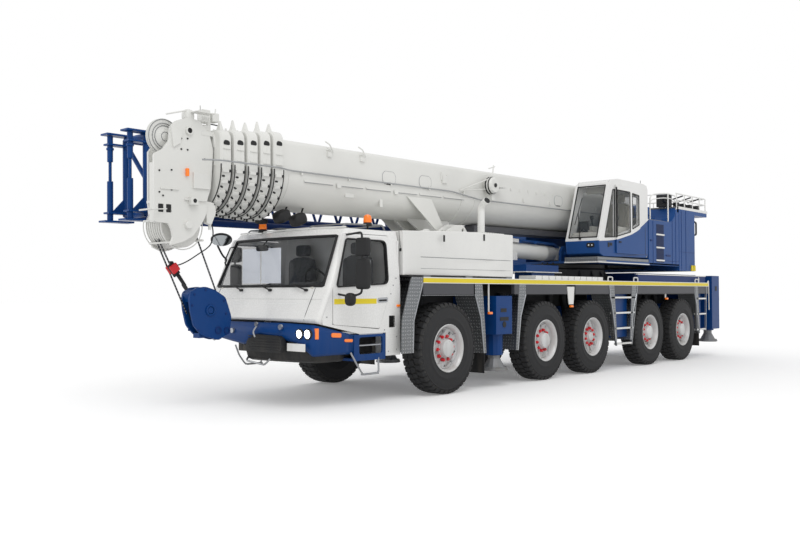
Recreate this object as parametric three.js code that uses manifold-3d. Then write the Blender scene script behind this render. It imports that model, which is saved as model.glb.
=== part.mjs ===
// Five-axle telescopic mobile crane, as it stands on the road with its boom down.
// Millimetres. +Z is up, the crane drives towards -Y and its left side is +X.
// Places along the machine are measured from the first axle.
import * as THREE from 'three';
import { mergeVertices } from 'three/addons/utils/BufferGeometryUtils.js';
import { ConvexGeometry } from 'three/addons/geometries/ConvexGeometry.js';
import Module from 'manifold-3d';

const wasm = await Module();
wasm.setup();

// ---------------------------------------------------------------- clearances
const SEAT = 0.3; // between pieces that rest on each other
const PLAY = 0.5; // round a pin, a rod or a slider
const CLEAR = 6; // between pieces that move past each other

// ---------------------------------------------------------------- driving dimensions
const WIDTH = 2750; // over tyres and deck
const AXLE_STEPS = [2720, 1650, 2440, 1650]; // from each axle to the next
const STEERED = [0, 1, 3, 4]; // the third axle is a plain one

const TYRE_R = 685;
const TYRE_W = 385;
const TYRE_BORE_R = 335;
const SPINDLE_R = 65;
const KINGPIN_IN = 375; // from the tyre's outer face in to the kingpin
const KINGPIN_R = 28;

const FRAME_RISE = 265; // from the axles up to the frame
const GIRDER_X = [250, 450]; // inner and outer face of a frame girder
const ARCH_GAP = 110; // from the tyre's top to the deck's side band
const BAND_H = 170;
const STRIPE_H = 90;
const DECK_T = 40;
const DECK_FRONT = -600;
const DECK_REAR_OVERHANG = 1470; // behind the last axle
const FRAME_REAR_OVERHANG = 2140;
const HITCH_L = 320;

const CAB_W = 2500;
const CAB_REAR = -970;
const CAB_ROOF = 2385;
const CAB_WALL = 55;
const CAB_BASE = 960; // underside of the cab's floor
const CAB_DATUM = 950; // height of the frame's underside that the cab's own heights are given for

const HOUSING_REAR = 1700;
const HOUSING_H = 720; // from the deck up
const TROUGH_HALF_W = 430;
const TROUGH_RISE = 320; // from the deck up to the trough for the boom's cylinder

const JACK_STROKE_ROOM = 50;
const BEAM_H = 380;
const BEAM_RISE = 60; // from the frame's underside
const BEAM_W = 220;
const JACK_BOX_L = 370; // across the machine
const JACK_BOX_W = 450; // along the machine
const LEG_R = 95;
const LEG_SIDES = 12;
const PAD_R = 215;

const SLEW_Y = 5700;
const SLEW_R = 800;
const RING_SIDES = 24;
const SLEW_RISE = 280; // from the deck to the top of the slewing ring
const RING_DATUM = 2020; // height of the ring's top that the superstructure's heights are given for
const TOP_HALF_W = 1325; // superstructure
const CHEEK_GAP = 30; // from the boom to the plates that carry its foot and the winch
const CHEEK_T = 80;
const TOP_REAR = 8380;
const TAIL_REAR = 9250;
const PLATFORM_REAR = 9980;
const PLATFORM_Z = 3400;

const FOOT_Y = 8150; // boom foot pin
const FOOT_Z = 3050;
const FOOT_PIN_R = 90;
const JOINT_PIN_SIDES = 16;
const BOOM_DROOP = 0.75; // degrees, nose down on the road
const BOOM_W = 940;
const BOOM_TOP = 690; // all boom heights are from the foot pin
const BOOM_BOTTOM = -250;
const BOOM_CREASE = 220; // where the straight sides meet the round belly
const BOOM_WALL = 13;
const SECTION_STEP = 38; // each section is this much smaller all round
const SECTIONS = 5;
const BASE_FRONT = -10850;
const COLLAR_L = 170;
const COLLAR_PITCH = 200;
const SECTION_REAR = -700;

const LUFF_BASE_Y = 5300;
const LUFF_BASE_Z = 2310;
const LUFF_LENGTH = 4000; // pin to pin with the boom down
const LUFF_PIN_R = 75;
const BARREL_R = 155;
const BARREL_WALL = 32;
const ROD_R = 85;
const ROD_EYE_R = 150;
const ROD_EYE_HALF_W = 100;
const CYLINDER_SIDES = 16;

const CRANE_CAB_GAP = 24; // from the plate beside the boom
const CRANE_CAB_OUT = 1335;
const CRANE_CAB_WALL = 45;
const SLIDE_DOOR_T = 34;

// ---------------------------------------------------------------- sizes worked out from those
const HALF = WIDTH / 2;
const AXLES = AXLE_STEPS.reduce((ys, step) => [...ys, ys[ys.length - 1] + step], [0]);
const LAST_AXLE = AXLES[AXLES.length - 1];
const AXLE_Z = TYRE_R;
const FRAME_Z = AXLE_Z + FRAME_RISE;
const BAND_Z = 2 * TYRE_R + ARCH_GAP;
const DECK_TOP = BAND_Z + BAND_H + STRIPE_H;
const FRAME_TOP = DECK_TOP - DECK_T - SEAT;
const DECK_REAR = LAST_AXLE + DECK_REAR_OVERHANG;
const FRAME_REAR = LAST_AXLE + FRAME_REAR_OVERHANG;
const BEAM_Z = FRAME_Z + BEAM_RISE;
const HOUSING_TOP = DECK_TOP + HOUSING_H;
const TROUGH_Z = DECK_TOP + TROUGH_RISE;
const SLEW_Z = DECK_TOP + SLEW_RISE;
const CAB_LIFT = FRAME_Z - CAB_DATUM;
const UPPER_LIFT = SLEW_Z - RING_DATUM;
const CHEEK_X = [BOOM_W / 2 + CHEEK_GAP, BOOM_W / 2 + CHEEK_GAP + CHEEK_T];
const CRANE_CAB_X = [CHEEK_X[1] + CRANE_CAB_GAP, CRANE_CAB_OUT];
const FRONT_JACK_Y = 1430;
const REAR_JACK_Y = FRAME_REAR - 250;
const LEG_X = HALF - 205;

// ---------------------------------------------------------------- shape helpers
function solid(geometry) {
  geometry.deleteAttribute('normal');
  geometry.deleteAttribute('uv');
  const merged = mergeVertices(geometry, 1e-3);
  const corners = merged.index.array;
  const triVerts = [];
  for (let i = 0; i < corners.length; i += 3) {
    const [a, b, c] = corners.slice(i, i + 3);
    if (a !== b && b !== c && c !== a) triVerts.push(a, b, c); // a turned tip has flat triangles
  }
  return new wasm.Manifold(new wasm.Mesh({
    numProp: 3,
    vertProperties: merged.attributes.position.array,
    triVerts: new Uint32Array(triVerts),
  }));
}

const unite = (...parts) => parts.flat().reduce((all, part) => all.add(part));
const mirrored = (part) => part.mirror([1, 0, 0]);
const bothSides = (part) => unite(part, mirrored(part));

function box([x0, x1], [y0, y1], [z0, z1]) {
  const block = solid(new THREE.BoxGeometry(x1 - x0, y1 - y0, z1 - z0));
  return block.translate([(x0 + x1) / 2, (y0 + y1) / 2, (z0 + z1) / 2]);
}

function extruded(points, length, matrix) {
  const outline = new THREE.Shape(points.map(([a, b]) => new THREE.Vector2(a, b)));
  const geometry = new THREE.ExtrudeGeometry(outline, { depth: length, bevelEnabled: false });
  return solid(geometry.applyMatrix4(matrix));
}

const X = new THREE.Vector3(1, 0, 0);
const Y = new THREE.Vector3(0, 1, 0);
const Z = new THREE.Vector3(0, 0, 1);
const ALONG_X = new THREE.Matrix4().makeBasis(Y, Z, X);
const ALONG_Y = new THREE.Matrix4().makeBasis(X, Z, Y.clone().negate());
const ALONG_Z = new THREE.Matrix4();

// Outlines are (y, z), (x, z) and (x, y) points, carried along the axis that is left.
const prismX = (points, [x0, x1]) => extruded(points, x1 - x0, ALONG_X).translate([x0, 0, 0]);
const prismY = (points, [y0, y1]) => extruded(points, y1 - y0, ALONG_Y).translate([0, y1, 0]);
const prismZ = (points, [z0, z1]) => extruded(points, z1 - z0, ALONG_Z).translate([0, 0, z0]);

// A round bar from point a to point b. A second radius makes it a cone.
function bar(a, b, radius, sides = 12, endRadius = radius, turn = 0) {
  const from = new THREE.Vector3(...a);
  const to = new THREE.Vector3(...b);
  const way = to.clone().sub(from);
  const geometry = new THREE.CylinderGeometry(endRadius, radius, way.length(), sides);
  geometry.rotateY(turn);
  geometry.applyQuaternion(new THREE.Quaternion().setFromUnitVectors(Y, way.normalize()));
  const middle = from.add(to).multiplyScalar(0.5);
  return solid(geometry).translate(middle.toArray());
}

// The bore that lets a bar of the same radius and sides turn in it: its flats face the bar's edges.
const boreR = (radius, sides, play = PLAY) => (radius + play) / Math.cos(Math.PI / sides);
function bore(a, b, radius, sides) {
  const wide = boreR(radius, sides);
  return bar(a, b, wide, sides, wide, Math.PI / sides);
}

// A turned shape about X, from (radius, x) points that go round its section.
function turnedX(points, segments) {
  const area = points.reduce((sum, [r, h], i) => {
    const [r2, h2] = points[(i + 1) % points.length];
    return sum + r * h2 - r2 * h;
  }, 0);
  const ring = area > 0 ? points : [...points].reverse();
  const closed = [...ring, ring[0]].map(([r, h]) => new THREE.Vector2(r, h));
  const halfStep = Math.PI / segments; // leaves a flat at the bottom
  return solid(new THREE.LatheGeometry(closed, segments, halfStep).rotateZ(-Math.PI / 2));
}

const hull = (points) => solid(new ConvexGeometry(points.map((p) => new THREE.Vector3(...p))));

function toGeometry(part) {
  const { vertProperties, triVerts } = part.getMesh();
  const geometry = new THREE.BufferGeometry();
  geometry.setAttribute('position', new THREE.BufferAttribute(vertProperties, 3));
  geometry.setIndex(new THREE.BufferAttribute(triVerts, 1));
  geometry.computeVertexNormals();
  return geometry;
}

// ---------------------------------------------------------------- paints
const paint = (color, roughness, metalness = 0) => ({ color, roughness, metalness });
const FINISH = {
  white: paint(0xf1f1ee, 0.35),
  grey: paint(0x9a9ca0, 0.5),
  blue: paint(0x164a8a, 0.35),
  upperBlue: paint(0x2d5ba6, 0.35),
  aluminium: paint(0xb9bcc0, 0.4, 0.8),
  steel: paint(0x55585c, 0.5, 0.6),
  chrome: paint(0xd8d8d8, 0.1, 1),
  rim: paint(0xd9dbdc, 0.4, 0.3),
  rubber: paint(0x1d1e20, 0.9),
  trim: paint(0x2a2b2e, 0.7),
};

const crane = new THREE.Group();
crane.name = 'mobile_crane';
const cabGroup = new THREE.Group(); // rises and sinks with the frame
cabGroup.position.z = CAB_LIFT;
const upper = new THREE.Group(); // rises and sinks with the slewing ring
upper.position.z = UPPER_LIFT;
crane.add(cabGroup, upper);

function place(name, part, finish, parent = crane) {
  const mesh = new THREE.Mesh(toGeometry(part), new THREE.MeshStandardMaterial(FINISH[finish]));
  mesh.name = name;
  parent.add(mesh);
  return mesh;
}

// ---------------------------------------------------------------- wheels
// Built for the left side, with the tyre's outer face at x = 0 and the wheel inboard of it.
const WHEEL_SIDES = 16;
const BEAD_IN = 20; // from the tyre's side face in to its bead
const RIM_T = 24;
const DISC_IN = 150; // from the tyre's outer face in to the wheel disc
const DISC_T = 24;
const HUB_R = 165;
const HUB_BACK = -DISC_IN - 110;
const HUB_BORE_L = 140;

function tyre() {
  const flat = Math.cos(Math.PI / WHEEL_SIDES);
  const treadR = TYRE_R / flat; // so that the flat it stands on is TYRE_R down
  const shoulderR = treadR - 35;
  const sideR = (TYRE_BORE_R + TYRE_R) / 2;
  const tread = TYRE_W * 0.38;
  const middle = -TYRE_W / 2;
  return turnedX([
    [TYRE_BORE_R, -BEAD_IN], [sideR, 0], [shoulderR, -16], [treadR, middle + tread],
    [treadR, middle - tread], [shoulderR, -TYRE_W + 16], [sideR, -TYRE_W], [TYRE_BORE_R, -TYRE_W + BEAD_IN],
  ], WHEEL_SIDES);
}

function rim(hubOut) {
  const seat = TYRE_BORE_R - SEAT;
  const inside = seat - RIM_T;
  const hole = boreR(SPINDLE_R, WHEEL_SIDES);
  const outer = -BEAD_IN + RIM_T;
  const inner = -TYRE_W + BEAD_IN - RIM_T;
  const front = -DISC_IN + DISC_T / 2;
  const back = -DISC_IN - DISC_T / 2;
  return turnedX([
    [seat, inner], [seat, outer], [inside, outer], [inside, front], [HUB_R, front],
    [HUB_R - 30, hubOut], [0, hubOut], [0, HUB_BACK + HUB_BORE_L], [hole, HUB_BACK + HUB_BORE_L],
    [hole, HUB_BACK], [HUB_R - 20, HUB_BACK], [HUB_R, back], [inside, back], [inside, inner],
  ], WHEEL_SIDES);
}

// The kingpin stands at x = 0; the spindle reaches out to the wheel.
const YOKE_Z = 120; // inside height of the yoke, from the axle line
const YOKE_T = 45;
const PIN_SIDES = 10;
const SPINDLE_END = KINGPIN_IN + HUB_BACK + HUB_BORE_L - 5;

function knuckle() {
  const block = box([-48, 60], [-60, 60], [-YOKE_Z + CLEAR, YOKE_Z - CLEAR]);
  const pin = bar([0, 0, -YOKE_Z - YOKE_T], [0, 0, YOKE_Z + YOKE_T], KINGPIN_R, PIN_SIDES);
  const spindle = bar([50, 0, 0], [SPINDLE_END, 0, 0], SPINDLE_R, WHEEL_SIDES);
  const steeringArm = box([-50, 10], [-200, -45], [-90, -55]);
  return unite(block, pin, spindle, steeringArm);
}

function axle(y, steered) {
  const at = (x, z) => [x, y, AXLE_Z + z];
  const kingpinX = HALF - KINGPIN_IN;
  const yokeBack = kingpinX - 190;
  const beam = bar(at(-yokeBack - 20, 0), at(yokeBack + 20, 0), steered ? 95 : 80, 10);
  const strut = bothSides(bar(at(350, 0), [350, y, FRAME_Z - SEAT], 60, 8));
  const parts = [beam, strut];
  if (steered) {
    parts.push(bar(at(-60, 0), at(60, 0), 235, 12), bothSides(bar(at(60, 0), at(170, 0), 235, 12, 130)));
    const back = box([yokeBack - 15, yokeBack + 30], [y - 60, y + 60],
      [AXLE_Z - YOKE_Z - YOKE_T, AXLE_Z + YOKE_Z + YOKE_T]);
    const arm = (z0) => box([yokeBack, kingpinX + 50], [y - 55, y + 55], [z0, z0 + YOKE_T]);
    const yoke = unite(back, arm(AXLE_Z + YOKE_Z), arm(AXLE_Z - YOKE_Z - YOKE_T));
    const eye = bore([kingpinX, y, AXLE_Z - 300], [kingpinX, y, AXLE_Z + 300], KINGPIN_R, PIN_SIDES);
    parts.push(bothSides(yoke.subtract(eye)));
  } else {
    const stub = HALF + HUB_BACK + HUB_BORE_L - 5;
    parts.push(bothSides(bar(at(kingpinX - 260, 0), at(stub, 0), SPINDLE_R, WHEEL_SIDES)));
  }
  return unite(parts);
}

const propshaft = (from, to) => bar([0, from, AXLE_Z + 40], [0, to, AXLE_Z + 40], 50, 12);

function buildRunningGear() {
  const sides = { left: 1, right: -1 };
  AXLES.forEach((y, i) => {
    for (const [side, sign] of Object.entries(sides)) {
      const turn = sign > 0 ? 0 : Math.PI;
      const label = `${i + 1}_${side}`;
      const steered = STEERED.includes(i);
      const wheel = new THREE.Group();
      wheel.position.set(sign * HALF, y, AXLE_Z);
      wheel.rotation.z = turn;
      crane.add(wheel);
      place(`tyre_${label}`, tyre(), 'rubber', wheel);
      place(`rim_${label}`, rim(steered ? -8 : -40), 'rim', wheel);
      if (steered) {
        const post = place(`knuckle_${label}`, sign > 0 ? knuckle() : mirrored(knuckle()), 'steel');
        post.position.set(sign * (HALF - KINGPIN_IN), y, AXLE_Z);
      }
    }
  });
  const group = (indexes) => {
    const beams = indexes.map((i) => axle(AXLES[i], STEERED.includes(i)));
    const shaft = propshaft(AXLES[indexes[0]], AXLES[indexes[indexes.length - 1]]);
    return unite(...beams, shaft);
  };
  place('front_axles', group([0, 1]), 'steel');
  place('rear_axles', group([2, 3, 4]), 'steel');
}

// ---------------------------------------------------------------- carrier frame
const CAB_UNDERSIDE = [[-2700, 1160], [-1810, CAB_BASE], [-1000, CAB_BASE]];
const BUMPER_BOTTOM = 700;

// The bumper and cab front seen from above, for a front that stands at y in the middle.
const frontPlan = (halfW, middleY, backY, bulge = 140, corner = 60) => [
  [-halfW, backY], [-halfW, middleY + bulge + corner], [-halfW + corner, middleY + bulge],
  [-halfW * 0.5, middleY + bulge * 0.25], [halfW * 0.5, middleY + bulge * 0.25],
  [halfW - corner, middleY + bulge], [halfW, middleY + bulge + corner], [halfW, backY],
];

function bumper() {
  const halfW = CAB_W / 2;
  const outside = prismZ(frontPlan(halfW, -2790, -1900), [BUMPER_BOTTOM, 1125]);
  const inside = prismZ(frontPlan(halfW - 70, -2700, -1800), [BUMPER_BOTTOM - 10, 1200]);
  const lower = prismZ(frontPlan(halfW - 90, -2740, -2480), [BUMPER_BOTTOM - 90, BUMPER_BOTTOM + 20]);
  const tie = box([-halfW + 40, halfW - 40], [-2600, -2440], [BUMPER_BOTTOM, BUMPER_BOTTOM + 150]);
  const underCab = prismX([[-2900, 1150 + 400], [-2900, 1140], [-2700, 1140 - CLEAR],
    [-1810, CAB_BASE - CLEAR], [-1500, CAB_BASE - CLEAR], [-1500, 1550]], [-2000, 2000]);
  const skin = outside.subtract(inside).subtract(underCab);
  return unite(skin, lower, tie);
}

function outriggerTunnel(jackY) {
  const y = [jackY - JACK_BOX_W / 2 - 40, jackY + JACK_BOX_W / 2 + 40];
  const halfL = HALF - JACK_BOX_L - 20;
  return box([-halfL, halfL], y, [BEAM_Z - 50, BEAM_Z + BEAM_H + 60]);
}

function tunnelRoom(jackY) {
  const y = [jackY - BEAM_W - CLEAR * 1.5, jackY + BEAM_W + CLEAR * 1.5];
  return box([-HALF, HALF], y, [BEAM_Z - PLAY, BEAM_Z + BEAM_H + CLEAR]);
}

function carrierFrame() {
  const [inX, outX] = GIRDER_X;
  const girder = box([inX, outX], [-900, FRAME_REAR], [FRAME_Z, FRAME_TOP]);
  const nose = box([inX, outX], [-2500, -700], [BUMPER_BOTTOM, CAB_BASE - SEAT]);
  const noseRear = box([inX, outX], [-960, -700], [BUMPER_BOTTOM, CAB_BASE + 440]);
  const cross = (y, z0 = FRAME_Z) => box([-inX - 10, inX + 10], [y - 70, y + 70], [z0, FRAME_TOP]);
  const crossAt = [(AXLES[1] + AXLES[2]) / 2, SLEW_Y, (AXLES[3] + AXLES[4]) / 2, FRAME_REAR - 500];
  const ringPost = bar([0, SLEW_Y, FRAME_TOP - 300], [0, SLEW_Y, SLEW_Z], SLEW_R, RING_SIDES);
  const engine = box([-400, 400], [-480, 880], [FRAME_TOP - 350, TROUGH_Z - 70]);
  const stepBox = unite(
    box([CAB_W / 2 - 220, CAB_W / 2 + 10], [-1830, -1340], [640, CAB_BASE - CLEAR]),
    box([outX - 10, CAB_W / 2 - 200], [-1650, -1500], [BUMPER_BOTTOM, BUMPER_BOTTOM + 60]),
  );
  const beamW = HALF - JACK_BOX_L - 45; // stays between the jack boxes
  const rearBeam = box([-beamW, beamW], [FRAME_REAR - 10, FRAME_REAR + 110], [FRAME_Z - 50, FRAME_Z + 380]);
  const hitch = unite(
    box([-120, 120], [FRAME_REAR + 90, FRAME_REAR + HITCH_L - 60], [FRAME_Z + 30, FRAME_Z + 210]),
    box([-70, 70], [FRAME_REAR + HITCH_L - 80, FRAME_REAR + HITCH_L], [FRAME_Z + 60, FRAME_Z + 180]),
  );
  const front = unite(bothSides(nose), bothSides(noseRear), bothSides(stepBox), bumper());
  const solidFrame = unite(
    bothSides(girder), ...crossAt.map((y) => cross(y)), ringPost, engine, front.translate([0, 0, CAB_LIFT]),
    rearBeam, hitch, outriggerTunnel(FRONT_JACK_Y), outriggerTunnel(REAR_JACK_Y),
  );
  return solidFrame.subtract(tunnelRoom(FRONT_JACK_Y)).subtract(tunnelRoom(REAR_JACK_Y));
}

// ---------------------------------------------------------------- deck, fenders and ladders
function mudguard(axleY, way) {
  // way is -1 for the guard in front of a wheel and 1 for the one behind it
  const at = (gap, z) => [axleY + way * (TYRE_R + gap), z];
  const [kneeZ, lowZ] = [AXLE_Z + 435, AXLE_Z - 125];
  const outline = [at(-45, BAND_Z + 20), at(105, kneeZ), at(165, lowZ), at(250, lowZ),
    at(195, kneeZ + 10), at(55, BAND_Z + 20)];
  return prismX(way > 0 ? outline : outline.reverse(), [HALF - TYRE_W - 25, HALF]);
}

function ladder(yTop, yBottom, zBottom, rungs) {
  const x = [HALF - 45, HALF - 5];
  const [topFront, topRear] = yTop;
  const [lowFront, lowRear] = yBottom;
  const zTop = BAND_Z + 20;
  const rail = (a, b) => prismX([[b, zBottom], [b + 40, zBottom], [a + 40, zTop], [a, zTop]], x);
  const rungAt = (t) => {
    const front = lowFront + (topFront - lowFront) * t;
    const rear = lowRear + (topRear - lowRear) * t;
    const z = zBottom + (zTop - zBottom) * t;
    return box([HALF - 110, HALF - 5], [front + 5, rear + 35], [z, z + 35]);
  };
  const steps = Array.from({ length: rungs }, (_, i) => rungAt(i / rungs));
  return unite(rail(topFront, lowFront), rail(topRear, lowRear), ...steps);
}

function deck() {
  const plate = box([-HALF, HALF], [DECK_FRONT, DECK_REAR], [DECK_TOP - DECK_T, DECK_TOP]);
  const edge = box([HALF - 75, HALF], [DECK_FRONT, DECK_REAR], [BAND_Z, DECK_TOP]);
  const ends = [DECK_FRONT, DECK_REAR - 30].map((y) => (
    box([-HALF + 10, HALF - 10], [y, y + 30], [DECK_TOP - 130, DECK_TOP])));
  const hatch = box([-430, 430], [-620, 960], [DECK_TOP - 200, DECK_TOP + 50]);
  const ringHole = bar([0, SLEW_Y, DECK_TOP - 200], [0, SLEW_Y, DECK_TOP + 50], SLEW_R + 12, RING_SIDES);
  const throat = box([-GIRDER_X[1] - 10, GIRDER_X[1] + 10], [DECK_FRONT - 50, DECK_REAR + 50],
    [0, DECK_TOP - DECK_T]);
  const slopeLow = AXLE_Z - 35;
  const slope = [[DECK_FRONT, DECK_TOP], [-840, DECK_TOP], [-880, DECK_TOP - 140], [-900, slopeLow + 500],
    [-900, slopeLow], [-815, slopeLow], [-800, slopeLow + 470], [-650, BAND_Z + 20],
    [DECK_FRONT, BAND_Z + 20]];
  const guards = [
    prismX(slope, [HALF - TYRE_W - 25, HALF]),
    mudguard(AXLES[0], 1), mudguard(AXLES[1], -1), mudguard(AXLES[2], 1),
    mudguard(AXLES[3], -1), mudguard(AXLES[4], 1),
  ];
  const midLadder = ladder([AXLES[3] - 1810, AXLES[3] - 600], [AXLES[3] - 1510, AXLES[3] - 870],
    AXLE_Z - 235, 4);
  const side = unite(edge, ...guards);
  const ladders = unite(
    box([HALF - 75, HALF - 5], [AXLES[2] + 700, AXLES[2] + 760], [BAND_Z - 10, BAND_Z + 30]),
    midLadder,
    ladder([LAST_AXLE + 730, LAST_AXLE + 1330], [LAST_AXLE + 770, LAST_AXLE + 1290], AXLE_Z - 65, 3),
  );
  return unite(plate, bothSides(side), ...ends, bothSides(ladders))
    .subtract(hatch).subtract(ringHole).subtract(throat);
}

// ---------------------------------------------------------------- carrier cab
// Points of the cab's outside, moved in by a wall thickness for its inside.
function cabHull(inset) {
  const halfW = CAB_W / 2 - inset;
  const roof = CAB_ROOF - inset;
  const rear = CAB_REAR - inset;
  const level = (middleY, z, narrow, bulge) => {
    const w = halfW - narrow;
    const y = middleY + inset;
    return [[0, y, z], [w * 0.5, y + bulge * 0.25, z], [w - 60, y + bulge, z], [w, y + bulge + 70, z]];
  };
  const floor = CAB_BASE + inset;
  const points = [
    ...level(-2700, floor, 0, 140), ...level(-2690, 1180, 0, 140), ...level(-2475, 1590, 0, 130),
    ...level(-2130, 2290 - inset * 0.3, 60, 100), ...level(-2040, roof, 90, 90),
    [halfW, rear, floor], [halfW, rear, 2200], [halfW - 60, rear, roof],
  ];
  return hull(points.flatMap(([x, y, z]) => [[x, y, z], [-x, y, z]]));
}

const DOOR_FRONT = -2290;
const DOOR_OUTLINE = [[DOOR_FRONT, 1100], [-1410, 1025], [-1180, 1560], [-1180, 2310], [-2035, 2310],
  [DOOR_FRONT, 1600]];
const DOOR_WINDOW = [[-2235, 1590], [-1235, 1640], [-1235, 2240], [-2010, 2240]];
const HINGE_X = CAB_W / 2 + 20;
const HINGE_Y = DOOR_FRONT - 14;
const DOOR_DEPTH = 190; // how far in the door reaches round the pillar
const HINGE_HEIGHTS = [1220, 1480];

function shrink(points, by) {
  const centre = points.reduce(([a, b], [y, z]) => [a + y / points.length, b + z / points.length], [0, 0]);
  return points.map(([y, z]) => [y + Math.sign(centre[0] - y) * by, z + Math.sign(centre[1] - z) * by]);
}

function cabShell() {
  const under = prismX([[-1800, 900], [-1810, CAB_BASE], [-2700, 1150], [-3000, 900]], [-2000, 2000]);
  const inside = cabHull(CAB_WALL).subtract(
    prismX([[-3000, 900], [-3000, 1250], [-2500, 1175], [-1810, CAB_BASE + CAB_WALL], [-1800, 900]],
      [-2000, 2000]));
  return cabHull(0).subtract(under).subtract(inside);
}

function carrierCab(shell) {
  const screenW = CAB_W / 2 - 120;
  const screen = prismY([[-screenW, 1620], [screenW, 1620], [screenW - 50, 2265],
    [50 - screenW, 2265]], [-2800, -1900]);
  const doorHole = prismX(shrink(DOOR_OUTLINE, -CLEAR), [CAB_W / 2 - DOOR_DEPTH - CLEAR, CAB_W / 2 + 50]);
  const rearPanel = box([GIRDER_X[1] + 30, CAB_W / 2], [-1270, CAB_REAR], [640, CAB_BASE + 20]);
  const hinge = (z) => unite(
    bar([HINGE_X, HINGE_Y, z - 60], [HINGE_X, HINGE_Y, z + 60], 10, 12),
    box([CAB_W / 2 - 60, HINGE_X + 8], [HINGE_Y - 8, HINGE_Y + 8], [z - 60, z - 42]),
    box([CAB_W / 2 - 60, HINGE_X + 8], [HINGE_Y - 8, HINGE_Y + 8], [z + 42, z + 60]),
  );
  const hinges = unite(HINGE_HEIGHTS.map(hinge));
  const open = shell.subtract(screen).subtract(doorHole).subtract(mirrored(doorHole));
  return unite(open, bothSides(rearPanel), bothSides(hinges));
}

function cabDoor(shell) {
  const slab = shell.intersect(prismX(DOOR_OUTLINE, [CAB_W / 2 - DOOR_DEPTH, CAB_W / 2 + 50]));
  const window = prismX(DOOR_WINDOW, [CAB_W / 2 - 260, CAB_W / 2 + 60]);
  const sleeve = (z) => {
    const knuckleRing = bar([HINGE_X, HINGE_Y, z - 41], [HINGE_X, HINGE_Y, z + 41], 18, 12);
    const arm = prismZ([[CAB_W / 2 - 30, DOOR_FRONT + 60], [CAB_W / 2 - 30, DOOR_FRONT + 2],
      [CAB_W / 2 + 2, DOOR_FRONT + 2], [HINGE_X - 8, HINGE_Y], [HINGE_X + 12, HINGE_Y],
      [CAB_W / 2 + 16, DOOR_FRONT + 60]], [z - 41, z + 41]);
    const hole = bore([HINGE_X, HINGE_Y, z - 50], [HINGE_X, HINGE_Y, z + 50], 10, 12);
    return unite(knuckleRing, arm).subtract(hole);
  };
  const mirrorX = CAB_W / 2 + 350;
  const arms = [[-2200, 1500], [-1990, 2275]].map(([y, z]) => (
    bar([CAB_W / 2 - 30, y, z], [mirrorX, -2090, z], 14, 6)));
  const glassBox = box([mirrorX - 110, mirrorX + 110], [-2130, -2050], [1560, 1960]);
  const upperBox = box([mirrorX - 110, mirrorX + 110], [-2130, -2050], [1990, 2230]);
  const post = bar([mirrorX, -2090, 1485], [mirrorX, -2090, 2290], 14, 6);
  return unite(slab.subtract(window), ...HINGE_HEIGHTS.map(sleeve), ...arms, post, glassBox, upperBox);
}

function cabInterior() {
  const floorZ = CAB_BASE + CAB_WALL + SEAT;
  const seatX = CAB_W * 0.24;
  const matW = CAB_W / 2 - CAB_WALL - 45;
  const mat = box([-matW, matW], [-1780, CAB_REAR - CAB_WALL - 5], [floorZ, floorZ + 25]);
  const seat = (x) => unite(
    box([x - 130, x + 130], [-1480, -1200], [floorZ + 10, 1330]),
    box([x - 250, x + 250], [-1640, -1130], [1310, 1450]),
    box([x - 240, x + 240], [-1230, -1100], [1400, 2080]),
  );
  const dash = prismX([[-2250, 1250], [-2050, 1250], [-2080, 1520], [-2290, 1520]],
    [30 - matW, matW - 30]);
  const pedalWall = prismX([[-2100, 1260], [-1760, floorZ + 5], [-1720, floorZ + 5], [-2055, 1290]],
    [150 - matW, matW - 150]);
  const column = bar([seatX, -2120, 1400], [seatX, -1960, 1640], 35, 10);
  const wheel = bar([seatX, -1965, 1630], [seatX, -1945, 1660], 225, 24);
  return unite(mat, seat(seatX), seat(-seatX), dash, pedalWall, column, wheel);
}

// ---------------------------------------------------------------- housing behind the cab
function engineHousing() {
  const bottom = DECK_TOP + SEAT;
  const outline = [[-850, bottom], [HOUSING_REAR, bottom], [HOUSING_REAR, HOUSING_TOP],
    [300, HOUSING_TOP - 15], [-935, HOUSING_TOP - 60]];
  const body = prismX(outline, [-HALF, HALF]);
  const trough = box([-TROUGH_HALF_W, TROUGH_HALF_W], [-2000, HOUSING_REAR + 100], [TROUGH_Z, 3000]);
  const room = box([-460, 460], [-620, 1000], [0, TROUGH_Z - 35]);
  const exhaust = bar([980, 1250, HOUSING_TOP - 60], [980, 1250, HOUSING_TOP + 300], 75, 16);
  return unite(body.subtract(trough).subtract(room), exhaust);
}

// ---------------------------------------------------------------- outriggers
function jackBox(z0, z1, sleeveBottom) {
  const beamBox = box([HALF - JACK_BOX_L, HALF], [-JACK_BOX_W / 2, JACK_BOX_W / 2], [z0, z1]);
  const sleeve = bar([LEG_X, 0, sleeveBottom], [LEG_X, 0, z0 + 20], LEG_R + 45, LEG_SIDES);
  const bore = bar([LEG_X, 0, sleeveBottom - 10], [LEG_X, 0, z1 - 40], LEG_R + PLAY, LEG_SIDES);
  return unite(beamBox, sleeve).subtract(bore);
}

function outriggerBeam(yOffset, z0, z1, sleeveBottom) {
  const inner = -(HALF - JACK_BOX_L - CLEAR * 2);
  const beamY = yOffset > 0 ? [CLEAR, BEAM_W] : [-BEAM_W, -CLEAR];
  const beam = box([inner, HALF - JACK_BOX_L + 5], beamY, [BEAM_Z, BEAM_Z + BEAM_H]);
  return unite(beam, jackBox(z0, z1, sleeveBottom));
}

function outriggerJack(padZ, legTop) {
  const leg = bar([LEG_X, 0, padZ + 130], [LEG_X, 0, legTop], LEG_R, LEG_SIDES);
  const plate = bar([LEG_X, 0, padZ], [LEG_X, 0, padZ + 60], PAD_R, LEG_SIDES);
  const cone = bar([LEG_X, 0, padZ + 55], [LEG_X, 0, padZ + 200], PAD_R - 40, LEG_SIDES, LEG_R);
  return unite(leg, plate, cone);
}

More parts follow.
